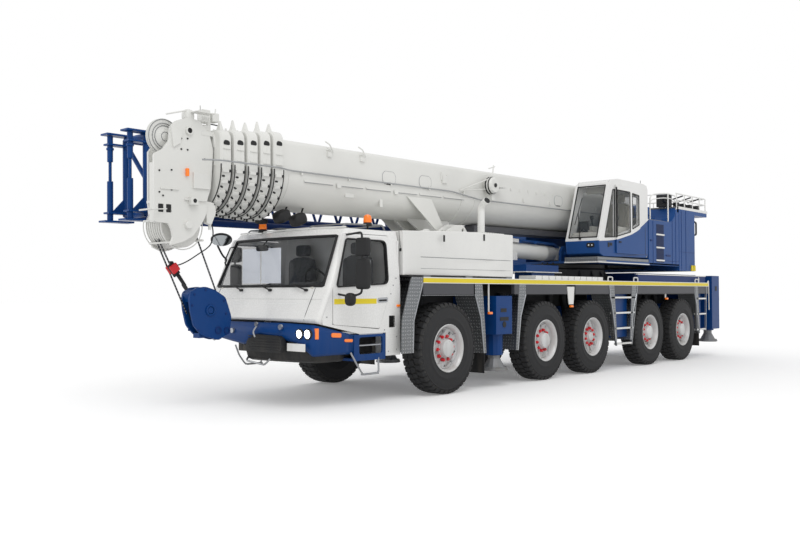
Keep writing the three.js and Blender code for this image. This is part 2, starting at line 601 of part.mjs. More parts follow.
function buildOutriggers() {
  const sets = {
    front: { y: FRONT_JACK_Y, drop: 110, z1: BAND_Z - 20, sleeve: 450, pad: 700 },
    rear: { y: REAR_JACK_Y, drop: 310, z1: DECK_TOP + 170, sleeve: 350, pad: 620 },
  };
  // drop, sleeve and pad are depths below the frame's underside
  for (const [end, { y, drop, z1, sleeve, pad }] of Object.entries(sets)) {
    for (const [side, sign] of Object.entries({ left: 1, right: -1 })) {
      const group = new THREE.Group();
      group.position.set(0, y, 0);
      crane.add(group);
      const beam = outriggerBeam(-sign, FRAME_Z - drop, z1, FRAME_Z - sleeve);
      const jack = outriggerJack(FRAME_Z - pad, z1 - 40 - JACK_STROKE_ROOM);
      place(`outrigger_beam_${end}_${side}`, sign > 0 ? beam : mirrored(beam), 'blue', group);
      place(`outrigger_jack_${end}_${side}`, sign > 0 ? jack : mirrored(jack), 'steel', group);
    }
  }
}

// ---------------------------------------------------------------- superstructure
function superstructure() {
  const [cheekIn, cheekOut] = CHEEK_X;
  const floorZ = RING_DATUM + 80;
  const turntable = bar([0, SLEW_Y, RING_DATUM + SEAT], [0, SLEW_Y, floorZ + 20], SLEW_R, RING_SIDES);
  const floor = box([-TOP_HALF_W, TOP_HALF_W], [5000, TOP_REAR], [floorZ, floorZ + 45]);
  const cheek = prismX([[6500, floorZ + 20], [TOP_REAR, floorZ + 20], [TOP_REAR, 2460], [9560, 2640],
    [9560, 3405], [8000, 3405], [7350, 3150]], [cheekIn, cheekOut]);
  const leftHouse = prismX([[6850, floorZ], [TOP_REAR, floorZ], [TOP_REAR, 3420], [8200, 3420],
    [6850, 3055]], [cheekOut - 20, TOP_HALF_W]);
  const rightHouse = prismX([[5050, floorZ], [TOP_REAR, floorZ], [TOP_REAR, 3420], [8200, 3420],
    [6850, 3055], [5050, 2880]], [-TOP_HALF_W, -cheekOut + 20]);
  // room for the boom foot of a raised boom
  const swing = box([1 - cheekIn, cheekIn - 1], [8200, 9000], [PLATFORM_Z - 10, PLATFORM_Z + 50]);
  const platform = box([-TOP_HALF_W, TOP_HALF_W], [8250, PLATFORM_REAR], [PLATFORM_Z, PLATFORM_Z + 40])
    .subtract(swing);
  const footPin = bar([-cheekOut + 10, FOOT_Y, FOOT_Z], [cheekOut - 10, FOOT_Y, FOOT_Z], FOOT_PIN_R,
    JOINT_PIN_SIDES);
  const clevis = prismX([[LUFF_BASE_Y - 210, floorZ], [LUFF_BASE_Y + 300, floorZ],
    [LUFF_BASE_Y + 120, LUFF_BASE_Z + 150], [LUFF_BASE_Y - 120, LUFF_BASE_Z + 150]], [175, 235]);
  const luffPin = bar([-200, LUFF_BASE_Y, LUFF_BASE_Z], [200, LUFF_BASE_Y, LUFF_BASE_Z], LUFF_PIN_R,
    JOINT_PIN_SIDES);
  const shaftEnd = cheekOut + 120;
  const winchBore = bar([-shaftEnd, WINCH_Y, WINCH_Z], [shaftEnd, WINCH_Y, WINCH_Z],
    boreR(WINCH_SHAFT_R, DRUM_SIDES), DRUM_SIDES);
  const body = unite(turntable, floor, bothSides(cheek), leftHouse, rightHouse, platform);
  return unite(body.subtract(winchBore), footPin, bothSides(clevis), luffPin);
}

const WINCH_Y = 9120;
const WINCH_Z = 2960;
const WINCH_SHAFT_R = 60;
const DRUM_SIDES = 16;

function winchDrum() {
  const halfL = CHEEK_X[0] - 40;
  return turnedX([
    [0, CHEEK_X[1] - 10], [WINCH_SHAFT_R, CHEEK_X[1] - 10], [WINCH_SHAFT_R, halfL], [370, halfL],
    [370, halfL - 30], [270, halfL - 30], [270, -halfL + 30], [370, -halfL + 30], [370, -halfL],
    [WINCH_SHAFT_R, -halfL], [WINCH_SHAFT_R, -CHEEK_X[1] + 10], [0, -CHEEK_X[1] + 10],
  ], DRUM_SIDES);
}

function counterweight() {
  const front = TOP_REAR + SEAT;
  const slab = box([-TOP_HALF_W - 5, TOP_HALF_W + 5], [front, TAIL_REAR], [2000, 2420]);
  const tower = box([CHEEK_X[1] + 40, TOP_HALF_W + 5], [front, TAIL_REAR], [2400, PLATFORM_Z - SEAT]);
  return unite(slab, bothSides(tower));
}

// ---------------------------------------------------------------- crane cab
const CRANE_CAB_OUTLINE = [[4680, 2220], [6780, 2220], [6780, 3700], [6700, 3780], [5500, 3780],
  [5130, 3700], [4680, 2560]];
const CRANE_DOOR = [[5330, 2290], [6330, 2290], [6330, 3640], [5330, 3640]];
const CAB_TILT_Y = 6812;
const CAB_TILT_Z = 3095;

function craneCab() {
  const [x0, x1] = CRANE_CAB_X;
  const wall = CRANE_CAB_WALL;
  const outside = prismX(CRANE_CAB_OUTLINE, [x0, x1]);
  const inside = prismX([[4680 + wall, 2220 + wall], [6780 - wall, 2220 + wall], [6780 - wall, 3735],
    [5520, 3735], [5160, 3660], [4680 + wall, 2555]], [x0 + wall, x1 - wall]);
  const screen = prismY([[x0 + 80, 2590], [x1 - 80, 2590], [x1 - 80, 3650], [x0 + 80, 3650]], [4500, 5300]);
  const doorway = prismX(shrink(CRANE_DOOR, 30), [x1 - 200, x1 + 100]);
  const frontSide = prismX([[4830, 2620], [5280, 2620], [5280, 3600], [5190, 3560]], [x0 - 50, x1 + 50]);
  const innerSide = prismX([[5360, 2700], [6650, 2700], [6650, 3560], [5360, 3560]], [x0 - 50, x0 + 100]);
  const rearSide = prismX([[6390, 3150], [6690, 3150], [6690, 3560], [6390, 3560]], [x1 - 100, x1 + 50]);
  const rearScreen = box([x0 + 120, x1 - 120], [6700, 6900], [3180, 3600]);
  const seatX = (x0 + x1) / 2;
  const seat = unite(
    box([seatX - 120, seatX + 120], [5750, 6150], [2250, 2600]),
    box([seatX - 250, seatX + 250], [5600, 6200], [2580, 2740]),
    box([seatX - 240, seatX + 240], [6120, 6270], [2700, 3400]),
  );
  const console = box([seatX - 200, seatX + 200], [4760, 4960], [2250, 2640]);
  const shell = outside.subtract(inside).subtract(screen).subtract(doorway).subtract(frontSide)
    .subtract(innerSide).subtract(rearSide).subtract(rearScreen);
  const hingeLug = unite([x0 + 90, x1 - 150].map((x) => (
    box([x, x + 60], [6760, CAB_TILT_Y + 24], [CAB_TILT_Z - 24, CAB_TILT_Z + 24]))));
  const hole = bore([x0 - 50, CAB_TILT_Y, CAB_TILT_Z], [x1 + 50, CAB_TILT_Y, CAB_TILT_Z], 12, 12);
  const sillZ = CRANE_DOOR[0][1] - SEAT;
  const doorRail = box([x1 - 10, x1 + SLIDE_DOOR_T], [CRANE_DOOR[0][0] - 10, 6780], [sillZ - 22, sillZ]);
  return unite(shell, seat, console, hingeLug.subtract(hole), doorRail);
}

function craneCabDoor() {
  const x = [CRANE_CAB_X[1] + CLEAR, CRANE_CAB_X[1] + SLIDE_DOOR_T];
  const window = prismX([[5400, 2760], [6260, 2860], [6260, 3570], [5400, 3570]], [x[0] - 10, x[1] + 10]);
  return prismX(CRANE_DOOR, x).subtract(window);
}

// Pins on the superstructure that carry the tilting cab.
function cabTiltPins() {
  const [x0, x1] = CRANE_CAB_X;
  const pin = bar([x0 + 20, CAB_TILT_Y, CAB_TILT_Z], [x1 - 20, CAB_TILT_Y, CAB_TILT_Z], 12, 12);
  const bracket = (x) => box([x, x + 30], [CAB_TILT_Y - 22, 6990], [CAB_TILT_Z - 60, CAB_TILT_Z + 22]);
  return unite(pin, bracket(x0 + 20), bracket((x0 + x1) / 2), bracket(x1 - 50));
}

// ---------------------------------------------------------------- boom
// Boom pieces are built about the foot pin, and the boom group sets them down on the crane.
const BELLY_STEPS = 10;

function boomOutline(halfW, top, bottom, crease = BOOM_CREASE, corner = 70) {
  const depth = crease - bottom;
  const belly = Array.from({ length: BELLY_STEPS + 1 }, (_, i) => {
    const angle = (Math.PI * i) / BELLY_STEPS;
    return [-halfW * Math.cos(angle), crease - depth * Math.sin(angle)];
  });
  return [...belly, [halfW, top - corner], [halfW - corner, top], [-halfW + corner, top],
    [-halfW, top - corner]];
}

const sectionSize = (k) => ({
  halfW: BOOM_W / 2 - SECTION_STEP * k,
  top: BOOM_TOP - SECTION_STEP * k,
  bottom: BOOM_BOTTOM + SECTION_STEP * k,
  front: BASE_FRONT - COLLAR_PITCH * k,
  rear: k === 0 ? -450 : SECTION_REAR - 60 * k,
});

function boomRoom(k) {
  const { halfW, top, bottom } = sectionSize(k);
  const inner = boomOutline(halfW - BOOM_WALL, top - BOOM_WALL, bottom + BOOM_WALL, BOOM_CREASE, 64);
  return prismY(inner, [-14000, 2000]);
}

function boomTube(k) {
  const { halfW, top, bottom, front, rear } = sectionSize(k);
  const tube = prismY(boomOutline(halfW, top, bottom), [front, rear]);
  const collarHalfW = BOOM_W / 2 + 90 - 20 * k;
  const collar = prismY(boomOutline(collarHalfW, BOOM_TOP + 75 - 18 * k, BOOM_BOTTOM - 140 + 12 * k),
    [front, front + COLLAR_L]);
  return k < SECTIONS ? unite(tube, collar) : tube;
}

function wearPad(k) {
  const { bottom, front } = sectionSize(k);
  const next = sectionSize(k + 1);
  return box([-70, 70], [front + 10, front + COLLAR_L - 10], [bottom - 10, next.bottom - PLAY]);
}

const boomSection = (k) => unite(boomTube(k).subtract(boomRoom(k)), wearPad(k));

const ROD_PIN = (() => {
  const tilt = THREE.MathUtils.degToRad(BOOM_DROOP);
  const dy = LUFF_BASE_Y - LUFF_LENGTH - FOOT_Y;
  const dz = LUFF_BASE_Z + 60 - FOOT_Z;
  return { y: dy * Math.cos(tilt) + dz * Math.sin(tilt), z: dz * Math.cos(tilt) - dy * Math.sin(tilt) };
})();

function boomBase() {
  const lug = prismX([[-640, -190], [-200, -190], [130, -120], [190, 0], [130, 140], [-200, 420],
    [-640, 600]], [BOOM_W / 2 - 85, BOOM_W / 2 - 8]);
  const { y, z } = ROD_PIN;
  const bracket = prismX([[y - 950, BOOM_BOTTOM + 60], [y - 160, z - 60], [y - 40, z - 150],
    [y + 110, z - 120], [y + 170, z + 20], [y + 270, BOOM_BOTTOM + 60]],
  [ROD_EYE_HALF_W + 12, ROD_EYE_HALF_W + 57]);
  const pinHole = bore([-BOOM_W, 0, 0], [BOOM_W, 0, 0], FOOT_PIN_R, JOINT_PIN_SIDES);
  const eyeHole = bar([-400, y, z], [400, y, z], 60, 20);
  const body = unite(boomTube(0), bothSides(bracket).subtract(eyeHole)).subtract(boomRoom(0));
  return unite(body, bothSides(lug), wearPad(0)).subtract(pinHole);
}

const SHEAVE_SIDES = 24;
const TOP_SHEAVE = { y: -12290, z: 540, r: 230, x: [90, 270] };
const LOW_SHEAVE = { y: -12050, z: -540, r: 280, x: [-190, 190] };

function boomHead() {
  const front = sectionSize(SECTIONS).front;
  const wall = box([-240, 300], [front - 60, front + 20], [-200, 600]);
  const leftCheek = prismX([[front, -330], [front - 200, -620], [front - 480, -560], [front - 590, -330],
    [front - 754, -300], [front - 754, 330], [front - 630, 560], [front - 400, 640], [front, 620]],
  [300, 340]);
  const rightCheek = prismX([[front, -330], [front - 130, -620], [front - 330, -600], [front - 410, -250],
    [front - 410, 400], [front - 250, 620], [front, 620]], [-240, -200]);
  const sheaves = [TOP_SHEAVE, LOW_SHEAVE].map(({ y, z, r, x }) => unite(
    bar([x[0], y, z], [x[1], y, z], r, SHEAVE_SIDES),
    bar([x[0] - 30, y, z], [360, y, z], 60, 12),
  ));
  return unite(wall, leftCheek, rightCheek, ...sheaves);
}

function lastSection() {
  const tube = boomTube(SECTIONS).subtract(boomRoom(SECTIONS));
  return unite(tube, boomHead());
}

function hookBlock() {
  const block = prismX([[-11848, -1425], [-11745, -1325], [-11487, -1305], [-11289, -1445], [-11212, -1655],
    [-11263, -1915], [-11418, -2015], [-11676, -1945], [-11831, -1715]].reverse(), [-95, 95]);
  const { y, z, r } = LOW_SHEAVE;
  const ropeR = 12;
  const loop = (x) => bar([x - ropeR, y, z], [x + ropeR, y, z], r + 2 * ropeR + 4, SHEAVE_SIDES)
    .subtract(bore([x - 50, y, z], [x + 50, y, z], r, SHEAVE_SIDES));
  const falls = [-60, 60].flatMap((x) => [
    loop(x),
    bar([x, y - 204, z - 220], [x, -11748, -1455], ropeR, 8),
    bar([x, y + 295, z - 10], [x, -11420, -1435], ropeR, 8),
  ]);
  return unite(block, ...falls);
}

function latticeJib() {
  const nearX = -BOOM_W / 2 - 250;
  const farX = nearX - 500;
  const front = -12480;
  const rear = -4300;
  const chordZ = (y, top) => {
    const t = (y - front) / (rear - front);
    return top ? 520 - 160 * t : -330 + 110 * t;
  };
  const bays = 7;
  const ys = Array.from({ length: bays + 1 }, (_, i) => front + ((rear - front) * i) / bays);
  const parts = [];
  for (const x of [nearX, farX]) {
    for (const top of [true, false]) {
      parts.push(bar([x, front - 40, chordZ(front, top)], [x, rear + 40, chordZ(rear, top)], 42, 5));
    }
  }
  ys.forEach((y, i) => {
    const next = ys[i + 1];
    for (const x of [nearX, farX]) {
      if (i === 0 || i === bays) parts.push(bar([x, y, chordZ(y, true)], [x, y, chordZ(y, false)], 30, 4));
      const brace = [[x, y, chordZ(y, i % 2 === 0)], [x, next, chordZ(next, i % 2 === 1)]];
      if (i < bays) parts.push(bar(...brace, 24, 4));
    }
    for (const top of [true, false]) {
      parts.push(bar([nearX, y, chordZ(y, top)], [farX, y, chordZ(y, top)], 24, 4));
    }
  });
  const bracket = (y) => box([nearX - 20, -BOOM_W / 2 - SEAT], [y - 60, y + 60],
    [chordZ(y, true) - 40, chordZ(y, true) + 30]);
  return unite(...parts, bracket(-9800), bracket(-5400));
}

function buildBoom() {
  const boom = new THREE.Group();
  boom.position.set(0, FOOT_Y, FOOT_Z);
  boom.rotation.x = THREE.MathUtils.degToRad(BOOM_DROOP);
  upper.add(boom);
  place('boom_base', boomBase(), 'white', boom);
  for (let k = 1; k < SECTIONS; k += 1) place(`boom_section_${k}`, boomSection(k), 'white', boom);
  place(`boom_section_${SECTIONS}`, lastSection(), 'white', boom);
  place('hook_block', hookBlock(), 'blue', boom);
  place('lattice_jib', latticeJib(), 'blue', boom);
}

// ---------------------------------------------------------------- luffing cylinder
// Built along -Y from its base pin, and turned to point at the boom's bracket.
function luffBarrel() {
  const end = -(LUFF_LENGTH - ROD_EYE_R - 180);
  const insideR = BARREL_R - BARREL_WALL;
  const tube = bar([0, end, 0], [0, 0, 0], BARREL_R, CYLINDER_SIDES);
  const eye = bar([-ROD_EYE_HALF_W - 60, 0, 0], [ROD_EYE_HALF_W + 60, 0, 0], BARREL_R, CYLINDER_SIDES);
  const room = unite(
    bar([0, end + 140, 0], [0, -230, 0], insideR, CYLINDER_SIDES),
    bar([0, end - 10, 0], [0, end + 150, 0], ROD_R + PLAY, CYLINDER_SIDES),
  );
  const pinHole = bore([-300, 0, 0], [300, 0, 0], LUFF_PIN_R, JOINT_PIN_SIDES);
  return unite(tube, eye).subtract(room).subtract(pinHole);
}

function luffRod() {
  const eyeY = -LUFF_LENGTH;
  const rod = bar([0, eyeY, 0], [0, -300, 0], ROD_R, CYLINDER_SIDES);
  const piston = bar([0, -470, 0], [0, -290, 0], BARREL_R - BARREL_WALL - PLAY, CYLINDER_SIDES);
  const eye = bar([-ROD_EYE_HALF_W, eyeY, 0], [ROD_EYE_HALF_W, eyeY, 0], ROD_EYE_R, CYLINDER_SIDES);
  const hole = bar([-300, eyeY, 0], [300, eyeY, 0], 60, 20);
  return unite(rod, piston, eye).subtract(hole);
}

function buildLuffing() {
  const cylinder = new THREE.Group();
  cylinder.position.set(0, LUFF_BASE_Y, LUFF_BASE_Z);
  cylinder.rotation.x = -Math.asin(60 / LUFF_LENGTH);
  upper.add(cylinder);
  place('luff_cylinder', luffBarrel(), 'white', cylinder);
  place('luff_rod', luffRod(), 'chrome', cylinder);
}

// ---------------------------------------------------------------- the whole crane
buildRunningGear();
place('carrier_frame', carrierFrame(), 'blue');
place('deck', deck(), 'aluminium');
place('engine_housing', engineHousing(), 'white');
const shell = cabShell();
place('carrier_cab', carrierCab(shell), 'white', cabGroup);
place('cab_door_left', cabDoor(shell), 'white', cabGroup);
place('cab_door_right', mirrored(cabDoor(shell)), 'white', cabGroup);
place('cab_interior', cabInterior(), 'trim', cabGroup);
buildOutriggers();
place('superstructure', unite(superstructure(), cabTiltPins()), 'upperBlue', upper);
place('counterweight', counterweight(), 'upperBlue', upper);
const winch = place('winch_drum', winchDrum(), 'steel', upper);
winch.position.set(0, WINCH_Y, WINCH_Z);
place('crane_cab', craneCab(), 'white', upper);
place('crane_cab_door', craneCabDoor(), 'white', upper);
buildLuffing();
buildBoom();

// The middle of the crane's length stands over the origin.
crane.updateMatrixWorld(true);
const reach = new THREE.Box3().setFromObject(crane, true);
crane.position.y = -(reach.min.y + reach.max.y) / 2;

export default crane;
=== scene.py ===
# %% [markdown]
# # A five-axle mobile crane, dressed for rendering
# The CAD model already fixes every size and every joint. What it lacks is what the eye judges first:
# round tyres with a real tread, thin bent sheet metal, glass you can look through, ropes, lamps and paint.
# The model could be decorated with subdivision and textures, but most of a crane is plate and tube, so this
# lesson works each surface out as numbers: arrays of points that a formula fills and a mesh carries.

# %% Load the fixed frame
import math
from collections import namedtuple

import bpy
import bmesh
import numpy as np
from mathutils.geometry import tessellate_polygon
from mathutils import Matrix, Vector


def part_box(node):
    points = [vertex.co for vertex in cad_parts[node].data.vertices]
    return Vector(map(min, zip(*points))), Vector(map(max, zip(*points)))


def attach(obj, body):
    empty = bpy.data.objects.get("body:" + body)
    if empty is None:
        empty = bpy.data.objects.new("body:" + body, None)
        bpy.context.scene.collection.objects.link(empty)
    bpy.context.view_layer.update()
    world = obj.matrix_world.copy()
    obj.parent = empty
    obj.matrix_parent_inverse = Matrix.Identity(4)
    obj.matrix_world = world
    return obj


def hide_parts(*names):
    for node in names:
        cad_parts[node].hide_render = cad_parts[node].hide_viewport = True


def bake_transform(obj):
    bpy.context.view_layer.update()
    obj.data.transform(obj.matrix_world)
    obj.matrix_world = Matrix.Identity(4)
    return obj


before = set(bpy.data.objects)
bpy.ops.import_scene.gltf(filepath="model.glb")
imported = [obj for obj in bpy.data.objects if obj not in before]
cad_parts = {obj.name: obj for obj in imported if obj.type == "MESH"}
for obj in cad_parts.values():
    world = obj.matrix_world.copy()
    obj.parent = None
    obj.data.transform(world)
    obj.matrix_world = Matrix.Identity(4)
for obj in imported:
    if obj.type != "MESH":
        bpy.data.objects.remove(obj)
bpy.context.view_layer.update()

low, high = (np.array(c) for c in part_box("tyre_1_left"))
ROW_Y = float((low[1] + high[1]) / 2)  # where the first axle stands in the row
AXLES = [0, 2.72, 4.37, 6.81, 8.46]
STEERED = {1, 2, 4, 5}
HALF = 1.375

# %% [markdown]
# ## Shapes as arrays
# A shape here is a table of points and a few tables of faces that index it. Keeping shapes as arrays
# until the end means that fifty bolts cost one multiplication, and that a part can be mirrored, copied or
# bent before Blender ever sees it. Each helper below states its formula in its docstring.

# %% Points, faces and merging
Shape = namedtuple("Shape", "points faces")


def arr(values):
    return np.asarray(values, float)


def merged(*shapes):
    """One table of points after another; each face table is moved on by the points before it."""
    points, faces, count = [], [], 0
    for shape in shapes:
        points.append(shape.points)
        faces += [table + count for table in shape.faces]
        count += len(shape.points)
    return Shape(np.vstack(points), faces)


def sheet(points, around=False, along=False):
    """A grid of points (rows, columns, 3). Each quad joins four neighbours; around closes the columns."""
    rows, columns = points.shape[:2]
    index = np.arange(rows * columns).reshape(rows, columns)
    index = np.vstack([index, index[:1]]) if along else index
    index = np.hstack([index, index[:, :1]]) if around else index
    quads = np.stack([index[:-1, :-1], index[:-1, 1:], index[1:, 1:], index[1:, :-1]], -1)
    return Shape(points.reshape(-1, 3), [quads.reshape(-1, 4)])


def loft(rings):
    """Closed rings (count, points round, 3) skinned into a solid, with one flat face on each end."""
    skin = sheet(arr(rings), around=True)
    last = len(skin.points) - rings.shape[1]
    ring = np.arange(rings.shape[1])
    return Shape(skin.points, skin.faces + [ring[::-1][None], (ring + last)[None]])


def slab(points, depth):
    """A grid pushed along its own normals by depth. The two skins and the rim between them close it."""
    across = np.gradient(points, axis=1)
    down = np.gradient(points, axis=0)
    normal = np.cross(down, across)
    normal /= np.linalg.norm(normal, axis=2, keepdims=True) + 1e-12
    rings = np.stack([points, points + normal * depth])
    rim = np.concatenate([rings[:, 0, :], rings[:, 1:, -1], rings[:, -1, -2::-1], rings[:, -2:0:-1, 0]], 1)
    return merged(sheet(rings[0]), sheet(rings[1]), sheet(rim, around=True))


print("ready:", "arr, merged, sheet, loft, slab")

# %% Flat plates and boxes
def stand(flat, at, axis):
    """Puts 2-D points in the plane at height at on an axis: (y, z) on x, (x, z) on y, (x, y) on z."""
    flat = arr(flat)
    level = np.full(len(flat), float(at))
    columns = {"x": (level, flat[:, 0], flat[:, 1]), "y": (flat[:, 0], level, flat[:, 1]),
               "z": (flat[:, 0], flat[:, 1], level)}[axis]
    return np.stack(columns, 1)


def prism(outline, span, axis):
    """An outline carried straight along an axis, from span[0] to span[1]."""
    return loft(np.stack([stand(outline, s, axis) for s in span]))


def plate(outline, holes, span, axis):
    """A prism with holes: both faces are triangulated round the holes, and each loop gets a wall."""
    loops = [arr(outline)] + [arr(h) for h in holes]
    triangles = np.array(tessellate_polygon([[(a, b, 0) for a, b in loop] for loop in loops]))
    flat = np.vstack(loops)
    faces = [Shape(stand(flat, span[0], axis), [triangles[:, ::-1]]),
        Shape(stand(flat, span[1], axis), [triangles])]
    walls = [sheet(np.stack([stand(loop, s, axis) for s in span]), around=True) for loop in loops]
    return merged(*faces, *walls)


def block(x, y, z):
    """A box from three (low, high) pairs."""
    return prism([(x[0], y[0]), (x[1], y[0]), (x[1], y[1]), (x[0], y[1])], z, "z")


def rounded(outline, radius, steps=5):
    """Each corner c becomes the curve (1-t)^2 a + 2t(1-t) c + t^2 b; a and b stand radius away from it."""
    corner = arr(outline)
    radius = np.broadcast_to(arr(radius), len(corner))[:, None]
    before, after = np.roll(corner, 1, 0) - corner, np.roll(corner, -1, 0) - corner
    reach = [np.minimum(radius, 0.48 * np.linalg.norm(v, axis=1, keepdims=True)) for v in (before, after)]
    a = corner + before / np.linalg.norm(before, axis=1, keepdims=True) * reach[0]
    b = corner + after / np.linalg.norm(after, axis=1, keepdims=True) * reach[1]
    t = np.linspace(0, 1, steps)[None, :, None]
    curve = (1 - t) ** 2 * a[:, None] + 2 * t * (1 - t) * corner[:, None] + t ** 2 * b[:, None]
    return curve.reshape(-1, corner.shape[1])


def rectangle(a, b, radius=0.0):
    """The four corners between two (low, high) pairs, rounded if a radius is given."""
    flat = [(a[0], b[0]), (a[1], b[0]), (a[1], b[1]), (a[0], b[1])]
    return rounded(flat, radius) if radius else arr(flat)


def circle(centre, radius, count=24):
    """centre + radius (cos a, sin a) for count even steps of a."""
    angle = np.linspace(0, 2 * np.pi, count, endpoint=False)
    return arr(centre) + radius * np.stack([np.cos(angle), np.sin(angle)], 1)


print("ready:", "stand, prism, plate, block, rounded, rectangle, circle")

# %% Turned shapes, tubes and paths
AXIS_FRAME = {"x": ((1, 0, 0), (0, 1, 0), (0, 0, 1)), "y": ((0, 1, 0), (0, 0, 1), (1, 0, 0)),
              "z": ((0, 0, 1), (1, 0, 0), (0, 1, 0))}


def turned(profile, centre=(0, 0, 0), axis="x", count=48):
    """A profile of (radius, height) points spun about an axis: centre + height*axis + radius*(cos, sin)."""
    along, one, two = (arr(v) for v in AXIS_FRAME[axis])
    profile = arr(profile)
    angle = np.linspace(0, 2 * np.pi, count, endpoint=False)
    spoke = np.cos(angle)[:, None] * one + np.sin(angle)[:, None] * two
    points = profile[:, 1, None, None] * along + profile[:, 0, None, None] * spoke[None]
    return sheet(points + arr(centre), around=True)


def disc(radius, span, centre=(0, 0, 0), axis="x", count=32, edge=0.0):
    """A turned drum with an optional chamfer on its two edges."""
    a, b = span
    return turned([(0, a), (radius - edge, a), (radius, a + edge), (radius, b - edge), (radius - edge, b),
        (0, b)], centre, axis, count)


def sweep(section, path, up=(0, 0, 1), closed=False):
    """A closed section carried along a path, drawn in side = direction x up and side x direction."""
    path = arr(path)
    way = np.roll(path, -1, 0) - np.roll(path, 1, 0) if closed else np.gradient(path, axis=0)
    way /= np.linalg.norm(way, axis=1, keepdims=True)
    side = np.cross(way, arr(up))
    side /= np.linalg.norm(side, axis=1, keepdims=True)
    lift = np.cross(side, way)
    section = arr(section)
    rings = path[:, None] + section[None, :, :1] * side[:, None] + section[None, :, 1:] * lift[:, None]
    return sheet(rings, around=True, along=True) if closed else loft(rings)


def tube(path, radius, sides=10, up=None, closed=False):
    """A round bar along a path. Its reference direction is the axis that no stretch of the path follows."""
    path = arr(path)
    if up is None:
        steps = np.diff(path, axis=0)
        steps = np.abs(steps) / np.maximum(np.linalg.norm(steps, axis=1, keepdims=True), 1e-9)
        up = np.eye(3)[np.argmin(steps.max(0))]
    return sweep(circle((0, 0), radius, sides), path, up, closed)


def bent(points, radius=0.05, steps=5):
    """A path of straight runs whose inner corners are rounded, as a bent pipe is."""
    points = arr(points)
    inner = rounded(points, radius, steps)
    return np.vstack([points[:1], inner[steps:-steps], points[-1:]])


def flowing(points, per=10):
    """A smooth path through every point (Catmull-Rom): each piece blends its two neighbours' chords."""
    p = arr(points)
    p = np.vstack([2 * p[0] - p[1], p, 2 * p[-1] - p[-2]])
    t = np.linspace(0, 1, per, endpoint=False)[None, :, None]
    a, b, c, d = (p[i:len(p) - 3 + i, None] for i in range(4))
    run = 0.5 * (2 * b + (c - a) * t + (2 * a - 5 * b + 4 * c - d) * t ** 2
        + (3 * b - a - 3 * c + d) * t ** 3)
    return np.vstack([run.reshape(-1, 3), p[-2:-1]])


print("ready:", "turned, disc, sweep, tube, bent, flowing, AXIS_FRAME")

# %% Copies
def moved(shape, by):
    """Points + by."""
    return Shape(shape.points + arr(by), shape.faces)


def spun(points, angle, centre=(0, 0, 0), axis="x"):
    """Points turned by an angle, or by a list of angles, about an axis through centre."""
    along, one, two = (arr(v) for v in AXIS_FRAME[axis])
    rel = arr(points) - arr(centre)
    u, v, w = rel @ along, rel @ one, rel @ two
    c, s = np.cos(np.atleast_1d(angle))[:, None], np.sin(np.atleast_1d(angle))[:, None]
    out = u[None, :, None] * along + (u * 0 + v * c - w * s)[..., None] * one + (v * s + w * c)[...,
        None] * two
    return out + arr(centre)


def ring_of(shape, count, centre=(0, 0, 0), axis="x", start=0.0):
    """count copies of a shape, spread evenly round an axis."""
    points = spun(shape.points, start + np.arange(count) * 2 * np.pi / count, centre, axis)
    step = np.arange(count) * len(shape.points)
    return Shape(points.reshape(-1, 3), [(f[None] + step[:, None, None]).reshape(-1, f.shape[1])
        for f in shape.faces])


def turn(shape, angle, centre=(0, 0, 0), axis="x"):
    """One copy of a shape, turned about an axis through centre."""
    return Shape(spun(shape.points, angle, centre, axis)[0], shape.faces)


def flipped(shape):
    """The mirror image across x = 0, with its faces turned to point outwards again."""
    return Shape(shape.points * arr((-1, 1, 1)), [f[:, ::-1] for f in shape.faces])


def both(shape):
    """A shape with its mirror image."""
    return merged(shape, flipped(shape))


print("ready:", "moved, spun, ring_of, turn, flipped, both")

# %% [markdown]
# ## From arrays to Blender objects
# One function writes every mesh. It shifts the points from "metres behind the first axle", which is how a
# crane's drawing is dimensioned, into the row, welds doubles, turns faces outwards and rounds the edges
# with a bevel. The boom has its own drawing frame: it starts at the foot pin and droops three quarters of a
# degree.

# %% Making an object
FOOT_PIN = arr((0, 8.15, 3.05))
DROOP = math.radians(0.75)
made = []


def on_boom(points):
    """Boom points (x, y, z from the foot pin) turned nose-down by the droop and moved to the pin."""
    return spun(points, DROOP)[0] + FOOT_PIN


def make(name, shape, material, body="carrier", bevel=0.0, sharp=32, replaces=(), normals=True,
         marks=None, segments=2):
    """Writes one mesh. What rides the boom or the hook block is drawn in the boom's own frame."""
    points = on_boom(shape.points) if body.startswith(("boom", "hook")) else shape.points
    points = points + arr((0, ROW_Y, 0))
    mesh = bpy.data.meshes.new(name)
    faces = [row for table in shape.faces for row in table.tolist()]
    mesh.from_pydata(points.tolist(), [], faces)
    for label, values in (marks or {}).items():
        mesh.attributes.new(label, "FLOAT", "POINT").data.foreach_set("value", arr(values).astype(np.float32))
    if normals:
        work = bmesh.new()
        work.from_mesh(mesh)
        bmesh.ops.remove_doubles(work, verts=work.verts, dist=2e-5)
        bmesh.ops.dissolve_degenerate(work, edges=work.edges, dist=1e-5)
        bmesh.ops.recalc_face_normals(work, faces=work.faces)
        work.to_mesh(mesh)
        work.free()
    mesh.shade_smooth()
    mesh.set_sharp_from_angle(angle=math.radians(sharp))
    mesh.materials.append(material)
    thing = bpy.data.objects.new(name, mesh)
    bpy.context.scene.collection.objects.link(thing)
    if bevel:
        edge = thing.modifiers.new("rounded edges", "BEVEL")
        edge.width, edge.segments, edge.limit_method = bevel, segments, "ANGLE"
        edge.angle_limit = math.radians(sharp)
        edge.harden_normals = True
    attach(thing, body)
    if replaces:
        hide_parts(*([replaces] if isinstance(replaces, str) else replaces))
    made.append(thing)
    return thing


print("ready:", "on_boom, make, FOOT_PIN, DROOP")

